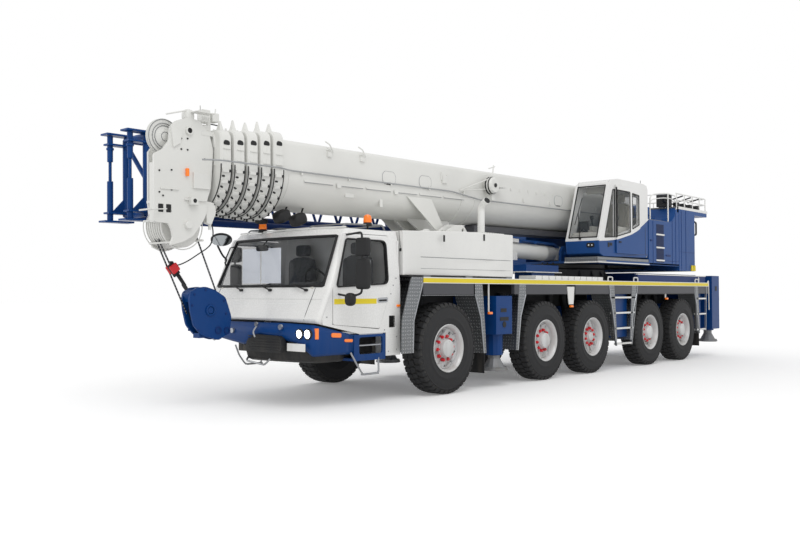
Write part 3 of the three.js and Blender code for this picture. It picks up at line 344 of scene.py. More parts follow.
# %% [markdown]
# ## Effects that many finishes share
# Paint is never one colour: it varies a little from panel to panel, gathers road dust near the wheels, and
# its gloss breaks where it is dirty. Building that once as a node group, with the amounts as inputs, lets
# every paint, plastic and casting use it. The other two effects are the raised pattern of tread plate, and
# rope lay.

# %% Small helpers for node trees
def group(name, inputs, outputs):
    """A shader node group with float, colour or vector sockets, returned with its input and output nodes."""
    kinds = {"f": "NodeSocketFloat", "c": "NodeSocketColor", "v": "NodeSocketVector"}
    tree = bpy.data.node_groups.new(name, "ShaderNodeTree")
    for label, kind in inputs.items():
        tree.interface.new_socket(label, in_out="INPUT", socket_type=kinds[kind])
    for label, kind in outputs.items():
        tree.interface.new_socket(label, in_out="OUTPUT", socket_type=kinds[kind])
    return tree, tree.nodes.new("NodeGroupInput"), tree.nodes.new("NodeGroupOutput")


def node(tree, kind, values=None, **settings):
    """A node with its settings, and its inputs set to numbers or joined to other sockets."""
    new = tree.nodes.new("ShaderNode" + kind)
    for label, value in settings.items():
        setattr(new, label, value)
    for label, value in (values or {}).items():
        if isinstance(value, bpy.types.NodeSocket):
            tree.links.new(value, new.inputs[label])
        else:
            new.inputs[label].default_value = value
    return new


def calc(tree, op, *values):
    """One Math node, as a formula writes it: calc(tree, "ADD", a, b)."""
    return node(tree, "Math", dict(enumerate(values)), operation=op).outputs[0]


def fade(tree, value, start, end, low=0.0, high=1.0):
    """A smooth step of value from low at start to high at end."""
    return node(tree, "MapRange", {"Value": value, "From Min": start, "From Max": end, "To Min": low,
        "To Max": high}, interpolation_type="SMOOTHSTEP").outputs[0]


def mix(tree, factor, a, b, blend="MIX"):
    new = node(tree, "Mix", data_type="RGBA", blend_type=blend)
    for socket, value in ((new.inputs[0], factor), (new.inputs[6], a), (new.inputs[7], b)):
        if isinstance(value, bpy.types.NodeSocket):
            tree.links.new(value, socket)
        else:
            socket.default_value = value
    return new.outputs[2]


print("ready:", "group, node, calc, fade, mix")

# %% The paint film effect
FILM, f_in, f_out = group("paint film", {"Colour": "c", "Dust colour": "c", "Dust": "f", "Roughness": "f",
                                         "Grain scale": "f", "Grain depth": "f"},
                          {"Colour": "c", "Roughness": "f", "Normal": "v"})
place = node(FILM, "TexCoord").outputs["Object"]
patches = node(FILM, "TexNoise", {"Vector": place, "Scale": 0.9, "Detail": 4.0}).outputs[0]
grain = node(FILM, "TexNoise", {"Vector": place, "Scale": f_in.outputs["Grain scale"],
    "Detail": 2.0}).outputs[0]
runs = node(FILM, "Mapping", {"Vector": place, "Scale": (9, 9, 0.8)}).outputs[0]
streaks = node(FILM, "TexNoise", {"Vector": runs, "Scale": 1.0, "Detail": 5.0, "Roughness": 0.65}).outputs[0]
height = node(FILM, "SeparateXYZ", {0: place}).outputs[2]
low_down = fade(FILM, height, 0.2, 1.35, 1.0, 0.06)
spread = fade(FILM, streaks, 0.36, 0.72)
dust = calc(FILM, "MULTIPLY", calc(FILM, "MULTIPLY", low_down, spread), f_in.outputs["Dust"])
shade = fade(FILM, patches, 0.3, 0.7, 0.955, 1.03)
grey = node(FILM, "CombineColor", {0: shade, 1: shade, 2: shade}).outputs[0]
tone = mix(FILM, 1.0, f_in.outputs["Colour"], grey, "MULTIPLY")
FILM.links.new(mix(FILM, dust, tone, f_in.outputs["Dust colour"]), f_out.inputs["Colour"])
gloss = calc(FILM, "ADD", f_in.outputs["Roughness"], calc(FILM, "MULTIPLY", dust, 0.35))
gloss = calc(FILM, "ADD", gloss, fade(FILM, grain, 0.2, 0.8, -0.04, 0.05))
FILM.links.new(gloss, f_out.inputs["Roughness"])
bump = node(FILM, "Bump", {"Strength": 1.0, "Distance": f_in.outputs["Grain depth"], "Height": grain})
FILM.links.new(bump.outputs[0], f_out.inputs["Normal"])
print("ready:", "FILM")

# %% The tread plate effect
# Raised lozenges stand on a square grid and lean left and right by turns: in each cell the distance
# |p|/long + |q|/short, with p and q turned by 45 degrees, is below one inside a lozenge.
TREAD, t_in, t_out = group("tread plate", {"Cell": "f"}, {"Height": "f"})
coord = node(TREAD, "TexCoord")
x, y, z = node(TREAD, "SeparateXYZ", {0: coord.outputs["Object"]}).outputs
nx, _, nz = [calc(TREAD, "ABSOLUTE", o) for o in node(TREAD, "SeparateXYZ",
    {0: coord.outputs["Normal"]}).outputs]
across = calc(TREAD, "GREATER_THAN", nx, 0.7)
flat = calc(TREAD, "GREATER_THAN", nz, 0.7)
u = node(TREAD, "Mix", {2: x, 3: y, 0: across}).outputs[0]
v = node(TREAD, "Mix", {2: z, 3: y, 0: flat}).outputs[0]
cells, parts = [], []
for value in (u, v):
    scaled = calc(TREAD, "DIVIDE", value, t_in.outputs["Cell"])
    cells.append(calc(TREAD, "FLOOR", scaled))
    parts.append(calc(TREAD, "SUBTRACT", calc(TREAD, "FRACT", scaled), 0.5))
lean = calc(TREAD, "SUBTRACT", calc(TREAD, "MULTIPLY",
    calc(TREAD, "FLOORED_MODULO", calc(TREAD, "ADD", *cells), 2.0), 2.0), 1.0)
leant = calc(TREAD, "MULTIPLY", parts[1], lean)
far = calc(TREAD, "ABSOLUTE", calc(TREAD, "ADD", parts[0], leant))
near = calc(TREAD, "ABSOLUTE", calc(TREAD, "SUBTRACT", parts[0], leant))
reach = calc(TREAD, "ADD", calc(TREAD, "DIVIDE", far, 0.72), calc(TREAD, "DIVIDE", near, 0.2))
TREAD.links.new(fade(TREAD, reach, 1.0, 0.6), t_out.inputs["Height"])
print("ready:", "TREAD")

# %% [markdown]
# ## The finishes
# Each finish is one Principled shader. Numbers that never change are set on its own sockets, and only the
# values that vary over the surface arrive through a group.

# %% Painted, cast and moulded finishes
def rgb(code):
    """A hex colour as linear light: each channel c/255 raised by the sRGB curve."""
    c = np.array([int(code[i:i + 2], 16) for i in (0, 2, 4)]) / 255
    return tuple(np.where(c <= 0.04045, c / 12.92, ((c + 0.055) / 1.055) ** 2.4)) + (1.0,)


def blank(name, **values):
    """A material whose Principled shader has these constant values."""
    material = bpy.data.materials.new(name)
    material.use_nodes = True
    shader = material.node_tree.nodes["Principled BSDF"]
    for label, value in values.items():
        shader.inputs[label.replace("_", " ")].default_value = value
    return material, material.node_tree, shader


def painted(name, colour, roughness=0.35, dust=0.5, grain=60.0, depth=0.0004, dust_colour="8d8578", **values):
    """A finish that carries the paint film."""
    material, tree, shader = blank(name, **values)
    film = tree.nodes.new("ShaderNodeGroup")
    film.node_tree = FILM
    for label, value in {"Colour": rgb(colour), "Dust colour": rgb(dust_colour), "Dust": dust,
                         "Roughness": roughness, "Grain scale": grain, "Grain depth": depth}.items():
        film.inputs[label].default_value = value
    tree.links.new(film.outputs["Colour"], shader.inputs["Base Color"])
    tree.links.new(film.outputs["Roughness"], shader.inputs["Roughness"])
    tree.links.new(film.outputs["Normal"], shader.inputs["Normal"])
    return material


white = painted("white paint", "efefec", 0.3, 0.3, Coat_Weight=0.3)
boom_white = painted("boom paint", "e3e3df", 0.36, 0.0, Coat_Weight=0.2)
cab_white = painted("cab paint", "f0f0ee", 0.26, 0.25, Coat_Weight=0.4)
blue = painted("carrier blue", "0a3f7e", 0.34, 0.08, Specular_IOR_Level=0.22)
upper_blue = painted("superstructure blue", "24508f", 0.36, 0.05, Specular_IOR_Level=0.22)
deep_blue = painted("jib blue", "10326e", 0.42, 0.06, Specular_IOR_Level=0.22)
# A dark blue kept for painted shade: the ladder's recess in the superstructure side.
recess_shade_blue = painted("recess shade blue", "0a2450", 0.5, 0.05, Specular_IOR_Level=0.2)
band_grey = painted("side band grey", "4a4b50", 0.45, 0.2)
yellow = painted("reflective yellow", "f0d81c", 0.4, 0.12, grain=400.0, depth=0.0006)
steel = painted("dark chassis steel", "2c2e31", 0.55, 0.8, grain=35.0, depth=0.0015, Metallic=0.3)
# Grey for castings, and also for thin lines of painted shade in grooves and pressed lines.
grey_cast_and_shade_lines = painted("grey casting and painted shade lines", "8f9194", 0.5, 0.4, grain=50.0, depth=0.001, Metallic=0.5)
rim_paint = painted("wheel paint", "dfe0e0", 0.35, 0.45, grain=45.0, Metallic=0.15)
# The wheel disc is the white wheel paint made darker: painted shade for the hollow inside the rim.
shaded_dish_paint = painted("wheel paint darkened as painted shade", "c9cacb", 0.42, 0.55, grain=45.0, Metallic=0.3)
nut_red = painted("red nut cover", "d31426", 0.35, 0.2, grain=150.0)
lamp_orange = painted("amber lens", "f47a0c", 0.2, 0.0, grain=200.0, depth=0.0008, Coat_Weight=0.8,
                      Emission_Color=rgb("f47a0c"), Emission_Strength=0.25)
lamp_red = painted("red lens", "c4171f", 0.2, 0.0, grain=200.0, depth=0.0008, Coat_Weight=0.8)
# Black for plastic parts, and also the painted shade that fills gaps, holes and recesses.
black = painted("black plastic and painted shade", "17181a", 0.55, 0.15, grain=260.0, depth=0.0005)
seal = painted("window rubber", "101113", 0.6, 0.05, grain=120.0)
trim = painted("cab trim", "57595c", 0.7, 0.0, grain=180.0, depth=0.0008)
pale_trim = painted("pale cab trim", "d2d0c8", 0.7, 0.0, grain=180.0, depth=0.0008)
chrome = painted("chromed rod", "d4d6d8", 0.13, 0.1, grain=20.0, depth=0.0, Metallic=1.0)
bright = painted("bright aluminium", "b9bcc0", 0.3, 0.3, grain=90.0, Metallic=0.85)
# A mid grey for painted shade lines along the boom's side.
shade_line_grey = painted("pipe grey, painted shade lines", "a9abad", 0.4, 0.2, grain=120.0, Metallic=0.3)
warn_red = painted("red weight", "d02028", 0.4, 0.0)
print("ready:", "rgb, blank, painted")

# %% Tread plate, rubber, rope, cloth and glass
def tread_plate(name, colour, cell, dust):
    material = painted(name, colour, 0.34, dust, Metallic=0.8)
    tree = material.node_tree
    shader = tree.nodes["Principled BSDF"]
    pattern = tree.nodes.new("ShaderNodeGroup")
    pattern.node_tree = TREAD
    pattern.inputs["Cell"].default_value = cell
    film = shader.inputs["Base Color"].links[0].from_socket
    worn = mix(tree, calc(tree, "MULTIPLY", pattern.outputs[0], 0.8), film, rgb("e4e6e8"))
    tree.links.new(worn, shader.inputs["Base Color"])
    raised = node(tree, "Bump", {"Strength": 0.9, "Distance": 0.012, "Height": pattern.outputs[0]})
    tree.links.new(raised.outputs[0], shader.inputs["Normal"])
    return material


checker = tread_plate("checker plate", "84878a", 0.05, 0.35)


def marked(tree, label):
    return node(tree, "Attribute", attribute_name=label).outputs["Fac"]


rubber, tree, shader = blank("tyre rubber")
depth_down = marked(tree, "groove")
spot = node(tree, "TexCoord").outputs["Object"]
speck = node(tree, "TexNoise", {"Vector": spot, "Scale": 28.0, "Detail": 6.0}).outputs[0]
dusty = calc(tree, "MULTIPLY", fade(tree, speck, 0.35, 0.7), fade(tree, depth_down, 0.0, 1.0, 0.25, 0.75))
tree.links.new(mix(tree, dusty, rgb("232427"), rgb("4c4a46")), shader.inputs["Base Color"])
tree.links.new(fade(tree, speck, 0.2, 0.8, 0.62, 0.86), shader.inputs["Roughness"])
tree.links.new(node(tree, "Bump", {"Strength": 0.6, "Distance": 0.002, "Height": speck}).outputs[0],
    shader.inputs["Normal"])

rope_steel, tree, shader = blank("wire rope", Metallic=0.8)
strand = calc(tree, "SINE", calc(tree, "ADD", calc(tree, "MULTIPLY", marked(tree, "along"), 150.0),
                                 calc(tree, "MULTIPLY", marked(tree, "round"), 2 * math.pi)))
tree.links.new(mix(tree, fade(tree, strand, -1.0, 1.0), rgb("2f3134"), rgb("85878a")),
    shader.inputs["Base Color"])
tree.links.new(fade(tree, strand, -1.0, 1.0, 0.65, 0.4), shader.inputs["Roughness"])
tree.links.new(node(tree, "Bump", {"Strength": 0.8, "Distance": 0.004, "Height": strand}).outputs[0],
    shader.inputs["Normal"])


def woven(name, colour, other, scale=420.0):
    """Cloth: warp and weft are two crossed sine waves, and the higher of the two shows."""
    material, tree, shader = blank(name, Roughness=0.9, Sheen_Weight=0.3)
    x, y, z = node(tree, "SeparateXYZ", {0: node(tree, "TexCoord").outputs["Object"]}).outputs
    warp = calc(tree, "SINE", calc(tree, "MULTIPLY", calc(tree, "ADD", x, z), scale))
    weft = calc(tree, "SINE", calc(tree, "MULTIPLY", calc(tree, "SUBTRACT", y, z), scale))
    over = calc(tree, "MAXIMUM", warp, weft)
    tree.links.new(mix(tree, fade(tree, over, -0.4, 1.0), rgb(other), rgb(colour)),
        shader.inputs["Base Color"])
    tree.links.new(node(tree, "Bump", {"Strength": 0.5, "Distance": 0.002, "Height": over}).outputs[0],
        shader.inputs["Normal"])
    return material


seat_cloth = woven("seat cloth", "5d5f63", "36383b")
pale_cloth = woven("pale seat cloth", "b2afa4", "8e8b80")


def glazing(name, colour, alpha, roughness=0.03):
    """Float glass: mostly clear, with a gloss that a slow ripple breaks up a little."""
    material, tree, shader = blank(name, Base_Color=rgb(colour), IOR=1.5, Alpha=alpha, Coat_Weight=0.5)
    ripple = node(tree, "TexNoise", {"Vector": node(tree, "TexCoord").outputs["Object"],
        "Scale": 2.2}).outputs[0]
    tree.links.new(fade(tree, ripple, 0.2, 0.8, roughness, roughness + 0.04), shader.inputs["Roughness"])
    tree.links.new(node(tree, "Bump", {"Strength": 0.15, "Distance": 0.01, "Height": ripple}).outputs[0],
        shader.inputs["Normal"])
    return material


cab_glass = glazing("tinted glass", "2f3234", 0.22)
clear_glass = glazing("clear glass", "59636b", 0.12)
# The blind cloth glows a little: painted light, standing in for light shining through from behind the blinds.
glowing_blind_cloth = painted("blind cloth with painted glow", "f2f5fa", 0.8, 0.0, grain=260.0, Emission_Color=rgb("e6ecf8"),
    Emission_Strength=0.55)
mirror_glass = painted("mirror glass", "c9ced2", 0.05, 0.0, grain=3.0, depth=0.0, Metallic=1.0)
headlight, tree, shader = blank("lit headlight", Base_Color=rgb("f6f8ff"), Roughness=0.1,
                                Emission_Color=(1, 1, 1, 1), Emission_Strength=4.0)
ribs = calc(tree, "SINE", calc(tree, "MULTIPLY", node(tree, "SeparateXYZ",
    {0: node(tree, "TexCoord").outputs["Object"]}).outputs[0], 380.0))
tree.links.new(node(tree, "Bump", {"Strength": 0.5, "Distance": 0.002, "Height": ribs}).outputs[0],
    shader.inputs["Normal"])
print("finishes:", len(bpy.data.materials))

# %% [markdown]
# ## Camera, light and floor
# The whole crane is fifteen metres long and is seen from its front left corner, at a standing person's eye
# height, so the near wheels look larger than the far ones. The light is a plain white studio: most of it
# comes evenly from the room, and one wide soft lamp gives the plates a lit side and a shaded side.

# %% Camera, lights and floor
scene = bpy.context.scene
YAW, PITCH = math.radians(41.57), math.radians(1.71)
lens = bpy.data.cameras.new("main camera")
lens.lens, lens.sensor_width = 38.0, 36.0
lens.clip_end = 200
camera = bpy.data.objects.new("main camera", lens)
camera.location = (9.199, -9.937 + ROW_Y, 1.529)
camera.rotation_euler = (math.pi / 2 + PITCH, 0, YAW)
scene.collection.objects.link(camera)
scene.camera = camera


def lamp(name, place, target, size, power):
    data = bpy.data.lights.new(name, "AREA")
    data.shape, data.size, data.energy = "DISK", size, power
    thing = bpy.data.objects.new(name, data)
    thing.location = place
    way = arr(target) - arr(place)
    thing.rotation_euler = (math.atan2(math.hypot(way[0], way[1]), -way[2]), 0,
        math.atan2(way[1], way[0]) - math.pi / 2)
    scene.collection.objects.link(thing)


lamp("key", (10, -11, 15), (0, -1, 1.5), 10, 620)
lamp("fill", (-12, -14, 6), (0, -3, 1.5), 9, 160)

room = bpy.data.worlds.new("white room")
scene.world = room
room.use_nodes = True
tree = room.node_tree
tree.nodes.clear()
path = node(tree, "LightPath")
seen = calc(tree, "MAXIMUM", path.outputs["Is Camera Ray"], path.outputs["Is Transmission Ray"])
even = node(tree, "Background", {"Color": (1, 1, 1, 1), "Strength": 0.8})
clean = node(tree, "Background", {"Color": (1, 1, 1, 1), "Strength": 1.0})
both_ways = node(tree, "MixShader", {0: seen, 1: even.outputs[0], 2: clean.outputs[0]})
tree.links.new(both_ways.outputs[0], node(tree, "OutputWorld").inputs[0])

floor_mesh = bpy.data.meshes.new("floor")
floor_mesh.from_pydata([(-90, -60, 0), (60, -60, 0), (60, 120, 0), (-90, 120, 0)], [], [(0, 1, 2, 3)])
floor = bpy.data.objects.new("floor", floor_mesh)
floor.location = (0, 0, -0.001)
ground, tree, shader = blank("studio floor", Base_Color=(0.98, 0.98, 0.98, 1), Roughness=0.95,
    Emission_Color=(1, 1, 1, 1))
reach = node(tree, "VectorMath", {0: node(tree, "TexCoord").outputs["Object"]},
    operation="LENGTH").outputs["Value"]
away = fade(tree, reach, 5.0, 19.0)
direct = fade(tree, node(tree, "LightPath").outputs["Is Camera Ray"], 0.0, 1.0, 0.5, 1.0)
tree.links.new(calc(tree, "MULTIPLY", fade(tree, reach, 5.0, 19.0, 0.98, 0.0), direct),
    shader.inputs["Base Color"])
tree.links.new(calc(tree, "ADD", calc(tree, "MULTIPLY", away, 0.84), 0.16),
    shader.inputs["Emission Strength"])
floor_mesh.materials.append(ground)
scene.collection.objects.link(floor)
scene.view_settings.view_transform = "Standard"
print("ready:", "lamp")

# %% [markdown]
# ## Ten tyres
# An all-terrain tyre is a smooth doughnut with heavy rubber blocks standing on it. A texture of the blocks
# would look flat where the tread meets the outline, so they are solid. The section is spun once for the
# carcass, and three block shapes, each lofted from a wide foot to a narrower top, are copied round the
# tread in steps of one pitch. The two shoulders are half a pitch out of step, as they are on the real tyre.

# %% Tyre
TYRE_R, TYRE_W, PITCHES = 0.685, 0.385, 40
OUTER_X = HALF
WHEEL_Z = 0.685


def tyre_shape():
    """Section as (radius, distance in from the outer face), mirrored for the inner side of the tyre."""
    half = arr([(0.336, 0.03), (0.352, 0.02), (0.372, 0.018), (0.4, 0.008), (0.44, 0.003), (0.447, 0.0),
                (0.455, 0.0), (0.461, 0.003), (0.52, 0.002), (0.57, 0.006), (0.598, 0.012), (0.604, 0.009),
                (0.612, 0.009), (0.618, 0.016), (0.64, 0.026), (0.658, 0.048), (0.664, 0.09)])
    back = half[::-1] * (1, -1) + (0, TYRE_W)
    profile = np.vstack([half, back, [(0.334, TYRE_W - 0.05), (0.334, 0.05)]])
    carcass = turned(profile, axis="x", count=96)
    closed = sheet(carcass.points.reshape(len(profile), 96, 3), around=True, along=True)
    radius = np.hypot(closed.points[:, 1], closed.points[:, 2])
    marks = [np.clip((radius - 0.6) / 0.05, 0, 1)]

    def lug(top, foot):
        """Rings of (round, in, radius): round is the distance along the tread, turned into an angle."""
        rings = []
        for ring in (foot, top):
            ring = arr(ring)
            angle = ring[:, 0] / TYRE_R
            rings.append(np.stack([ring[:, 1], np.cos(angle) * ring[:, 2], np.sin(angle) * ring[:, 2]], 1))
        return loft(np.stack(rings))

    p = 2 * np.pi * TYRE_R / PITCHES
    shoulder = lug([(-0.33 * p, 0.034, 0.678), (0.33 * p, 0.034, 0.678), (0.3 * p, 0.085, TYRE_R),
                    (0.16 * p, 0.134, TYRE_R), (-0.4 * p, 0.134, TYRE_R), (-0.36 * p, 0.085, TYRE_R)],
                   [(-0.36 * p, 0.011, 0.625), (0.36 * p, 0.011, 0.625), (0.37 * p, 0.085, 0.658),
                    (0.22 * p, 0.142, 0.658), (-0.46 * p, 0.142, 0.658), (-0.42 * p, 0.085, 0.658)])
    middle = lug([(-0.36 * p, 0.152, TYRE_R), (0.22 * p, 0.146, TYRE_R), (0.42 * p, 0.19, TYRE_R),
                  (0.4 * p, 0.233, TYRE_R), (-0.2 * p, 0.239, TYRE_R), (-0.42 * p, 0.195, TYRE_R)],
                 [(-0.4 * p, 0.147, 0.655), (0.26 * p, 0.141, 0.655), (0.47 * p, 0.19, 0.655),
                  (0.44 * p, 0.238, 0.655), (-0.24 * p, 0.244, 0.655), (-0.47 * p, 0.195, 0.655)])
    far = Shape(shoulder.points * (-1, 1, 1) + (TYRE_W, 0, 0), [f[:, ::-1] for f in shoulder.faces])
    lugs = [ring_of(shoulder, PITCHES), ring_of(middle, PITCHES, start=0.35 * p / TYRE_R),
            ring_of(turn(far, 0.5 * p / TYRE_R), PITCHES)]
    marks += [np.where(np.arange(len(s.points)) % 12 < 6, 0.8, 0.0) for s in lugs]
    return merged(closed, *lugs), np.concatenate(marks)


print("ready:", "tyre_shape, TYRE_R, OUTER_X, WHEEL_Z")

# %% Wheel rim, hub and nuts
def rim_parts(plain):
    """Everything as (radius, distance in). The disc of a steered wheel is dished, and its hub nearly reaches
    the outer face; on the plain third axle the hub stands deeper."""
    lip = turned([(0.3, 0.33), (0.333, 0.345), (0.333, 0.055), (0.345, 0.034), (0.357, 0.024), (0.36, 0.012),
                  (0.352, 0.006), (0.342, 0.012), (0.33, 0.03), (0.318, 0.05), (0.31, 0.1), (0.303, 0.118),
                  (0.3, 0.15)], axis="x", count=72)
    lip = sheet(lip.points.reshape(13, 72, 3), around=True, along=True)
    dish = disc_with_holes()
    front, cap = (0.046, 0.082) if plain else (0.012, 0.132)
    hub = turned([(0.0, front), (cap - 0.02, front), (cap - 0.006, front + 0.006), (cap, front + 0.02),
                  (cap + 0.004, 0.085), (cap + 0.012, 0.092), (cap + 0.014, 0.15), (0.13, 0.26), (0.0, 0.26)],
                 axis="x", count=48)
    cap_bolts = ring_of(disc(0.007, (front - 0.005, front + 0.012), (0, cap - 0.032, 0), count=8), 8)
    ring = 0.155 if plain else 0.18
    nuts = ring_of(turned([(0, 0.062), (0.018, 0.062), (0.025, 0.074), (0.027, 0.132), (0, 0.132)],
                          (0, ring, 0), count=10), 10)
    washers = ring_of(disc(0.03, (0.121, 0.131), (0, ring, 0), count=16), 10)
    valve = tube(bent([(0.11, 0.27, 0.03), (0.07, 0.285, 0.03), (0.045, 0.29, 0.03)], 0.01), 0.006, 8)
    return lip, dish, merged(hub, cap_bolts), nuts, merged(washers, valve)


def disc_with_holes():
    """The wheel disc lies between the hub and the rim, with a ring of ten round windows cut through it."""
    face = plate(circle((0, 0), 0.304, 96), [circle((0, 0), 0.075, 48)]
                 + [circle((0.262 * math.cos(a), 0.262 * math.sin(a)), 0.021, 14)
                    for a in np.arange(10) * math.pi / 5 + 0.31], (0.128, 0.146), "x")
    radius = np.hypot(face.points[:, 1], face.points[:, 2])
    dished = 0.035 * np.clip((radius - 0.225) / 0.08, 0, 1) ** 2
    return Shape(face.points - np.stack([dished, dished * 0, dished * 0], 1), face.faces)


def to_side(shape, y, side):
    """A wheel drawn with its outer face at x = 0 and growing inwards (+x), put on one side of the crane."""
    points = shape.points * (-1, 1, 1) + (OUTER_X, y, WHEEL_Z)
    flip = Shape(points, [f[:, ::-1] for f in shape.faces])
    return flip if side == "left" else flipped(flip)


tyre, tyre_marks = tyre_shape()
for number, y in enumerate(AXLES, 1):
    lip, dish, hub, nuts, washers = rim_parts(number not in STEERED)
    for side in ("left", "right"):
        body, tag = f"wheel_{number}_{side}", f"{number}_{side}"
        roll = number * 0.7 + (side == "right")
        make(f"tyre_tread_{tag}", to_side(turn(tyre, roll), y, side), rubber, body,
            marks={"groove": tyre_marks}, replaces=f"tyre_{tag}", normals=False, sharp=38)
        make(f"rim_lip_{tag}", to_side(lip, y, side), rim_paint, body,
            replaces=f"rim_{tag}")
        # The disc takes the darker copy of the wheel paint, which paints in the shade inside the rim.
        make(f"rim_disc_{tag}", to_side(turn(dish, roll), y, side), shaded_dish_paint, body)
        make(f"hub_{tag}", to_side(turn(hub, roll), y, side), rim_paint, body)
        make(f"nut_covers_{tag}", to_side(turn(nuts, roll), y, side), nut_red, body)
        make(f"wheel_washers_{tag}", to_side(turn(washers, roll), y, side), grey_cast_and_shade_lines, body)
print("wheels:", len(made), "pieces")

# %% [markdown]
# ## The chassis
# Two deep girders run the length of the crane and carry everything: axles, engine, outriggers and the
# slewing ring. They are folded and welded plate, so plain prisms with rounded edges describe them. A swept
# profile could follow a curved frame, but this one is straight, and prisms keep the joints between parts
# crisp.

# %% Dressing the CAD parts that keep their own shape
def dress(names, material, bevel=0.006):
    """A CAD mesh is loose triangles, so it is welded before its edges are rounded."""
    for name in names:
        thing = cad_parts[name]
        thing.data.materials.clear()
        thing.data.materials.append(material)
        thing.modifiers.new("weld", "WELD").merge_threshold = 0.00005
        edge = thing.modifiers.new("rounded edges", "BEVEL")
        edge.width, edge.segments, edge.limit_method = bevel, 2, "ANGLE"
        edge.angle_limit = math.radians(35)


SIDES = ("left", "right")
dress(["front_axles", "rear_axles"], steel, 0.01)
dress([f"knuckle_{n}_{s}" for n in sorted(STEERED) for s in SIDES], steel, 0.008)
dress([f"outrigger_beam_{e}_{s}" for e in ("front", "rear") for s in SIDES], blue, 0.008)
dress([f"outrigger_jack_{e}_{s}" for e in ("front", "rear") for s in SIDES], grey_cast_and_shade_lines, 0.006)
dress(["superstructure", "counterweight"], upper_blue, 0.01)
print("kept CAD parts are painted")

# %% Girders, cross members, engine and ring post
girders = both(merged(block((0.25, 0.45), (-0.9, 10.58), (0.95, 1.697)),
                      block((0.225, 0.475), (-0.9, 10.58), (0.95, 0.975)),
                      block((0.225, 0.475), (-0.9, 10.58), (1.67, 1.697))))
cross = merged(*[block((-0.26, 0.26), (y, y + 0.1), (1.0, 1.5)) for y in (-0.85, 1.1, 3.5, 7.6, 9.4)],
    block((-0.42, 0.42), (4.95, 6.45), (1.02, 1.69)), block((-0.96, 0.96), (10.59, 10.71), (0.9, 1.33)),
    block((-0.2, 0.2), (10.7, 10.86), (0.98, 1.16)))
ribs = ring_of(prism([(0.79, 1.74), (0.93, 1.74), (0.79, 1.98)], (-0.012, 0.012), "y"), 18, (0, 0, 0), "z")
tunnels = both(merged(block((0.0, 0.985), (1.165, 1.695), (0.965, 1.445)),
    block((0.0, 0.985), (10.09, 10.58), (0.965, 1.445))))
make("chassis_girders", merged(girders, cross, tunnels), blue, bevel=0.01,
     replaces="carrier_frame")
ring_post = merged(disc(0.8, (1.69, 1.985), (0, 5.7, 0), "z", 64, 0.01), moved(ribs, (0, 5.7, 0)))
make("slewing_ring_post", ring_post, steel, bevel=0.006)
engine = merged(block((-0.4, 0.4), (-0.48, 0.88), (1.35, 1.99)),
    block((-0.33, 0.33), (-0.38, 0.78), (1.16, 1.36)), block((-0.45, 0.45), (-2.5, -0.7), (0.7, 0.96)))
manifold = both(merged(*[tube([(0.38, y, 1.84), (0.46, y, 1.84), (0.49, y, 1.74)], 0.035, 10)
    for y in np.arange(-0.38, 0.8, 0.19)], tube([(0.5, -0.42, 1.72), (0.5, 0.82, 1.72)], 0.06, 14)))
make("engine_block", merged(engine, manifold), steel, bevel=0.012)
tanks = both(merged(*[tube([(0.62, y - 0.34, 1.22), (0.62, y + 0.34, 1.22)], 0.13, 20) for y in (1.9, 7.6)]))
springs = both(merged(*[tube([(0.62, y + s * 0.28, 0.72), (0.57, y + s * 0.24, 1.5)], 0.055, 14)
                        for y in AXLES for s in (-1, 1)]))
rods = both(merged(*[tube([(0.55, y + 0.1, 0.68), (0.42, y + 0.62, 1.02)], 0.035, 10) for y in AXLES]))
make("suspension_and_tanks", merged(tanks, springs, rods), steel)
# A black wall just outside the girders, behind the wheels, is painted shade for the space under the deck.
arch_shade_wall = both(block((0.5, 0.53), (-0.85, 9.95), (1.25, 1.69)))
under_boxes = both(merged(block((0.75, 1.27), (5.24, 5.94), (0.62, 1.69)),
                          block((0.62, 1.27), (9.28, 9.7), (0.66, 1.69))))
make("side_boxes", under_boxes, blue, bevel=0.012)
make("arch_shade_walls", arch_shade_wall, black)
print("girders, cross members, engine and ring post:", len(made), "pieces so far")

# %% [markdown]
# ## Deck, stripe and mudguards
# The deck is aluminium tread plate with a folded side. Along the fold run a dark band and a reflective
# yellow stripe. Mudguards are thin sheet bent along one line, so a side outline a few millimetres thick,
# carried across the tyre's width, makes them.

# %% Deck and side bands
def strip(x, y, z):
    return both(block(x, y, z))


deck = plate(rectangle((-1.374, 1.374), (-0.6, 9.93)),
    [rectangle((-0.43, 0.43), (-0.59, 0.96)), circle((0, 5.7), 0.82, 64)], (1.703, 1.738), "z")
make("deck_plate", deck, checker, bevel=0.003, replaces="deck")
BAND_RUNS = [(-0.6, 0.62), (1.74, 3.42), (3.72, 9.93)]
band = merged(*[strip((1.3, 1.368), run, (1.485, 1.652)) for run in BAND_RUNS])
make("side_band", band, band_grey, bevel=0.004)
make("side_stripe", strip((1.31, 1.3745), (-0.6, 9.93), (1.662, 1.728)), yellow, bevel=0.002)
edges = merged(strip((1.3, 1.3755), (-0.6, 9.93), (1.652, 1.663)),
    strip((1.3, 1.3755), (-0.6, 9.93), (1.727, 1.742)),
    block((-1.375, 1.375), (9.915, 9.935), (1.655, 1.742)))
make("stripe_edges", edges, white, bevel=0.002)


def guard_edge(line):
    return both(tube(np.insert(arr(line), 0, HALF - 0.006, axis=1), 0.011, 8))


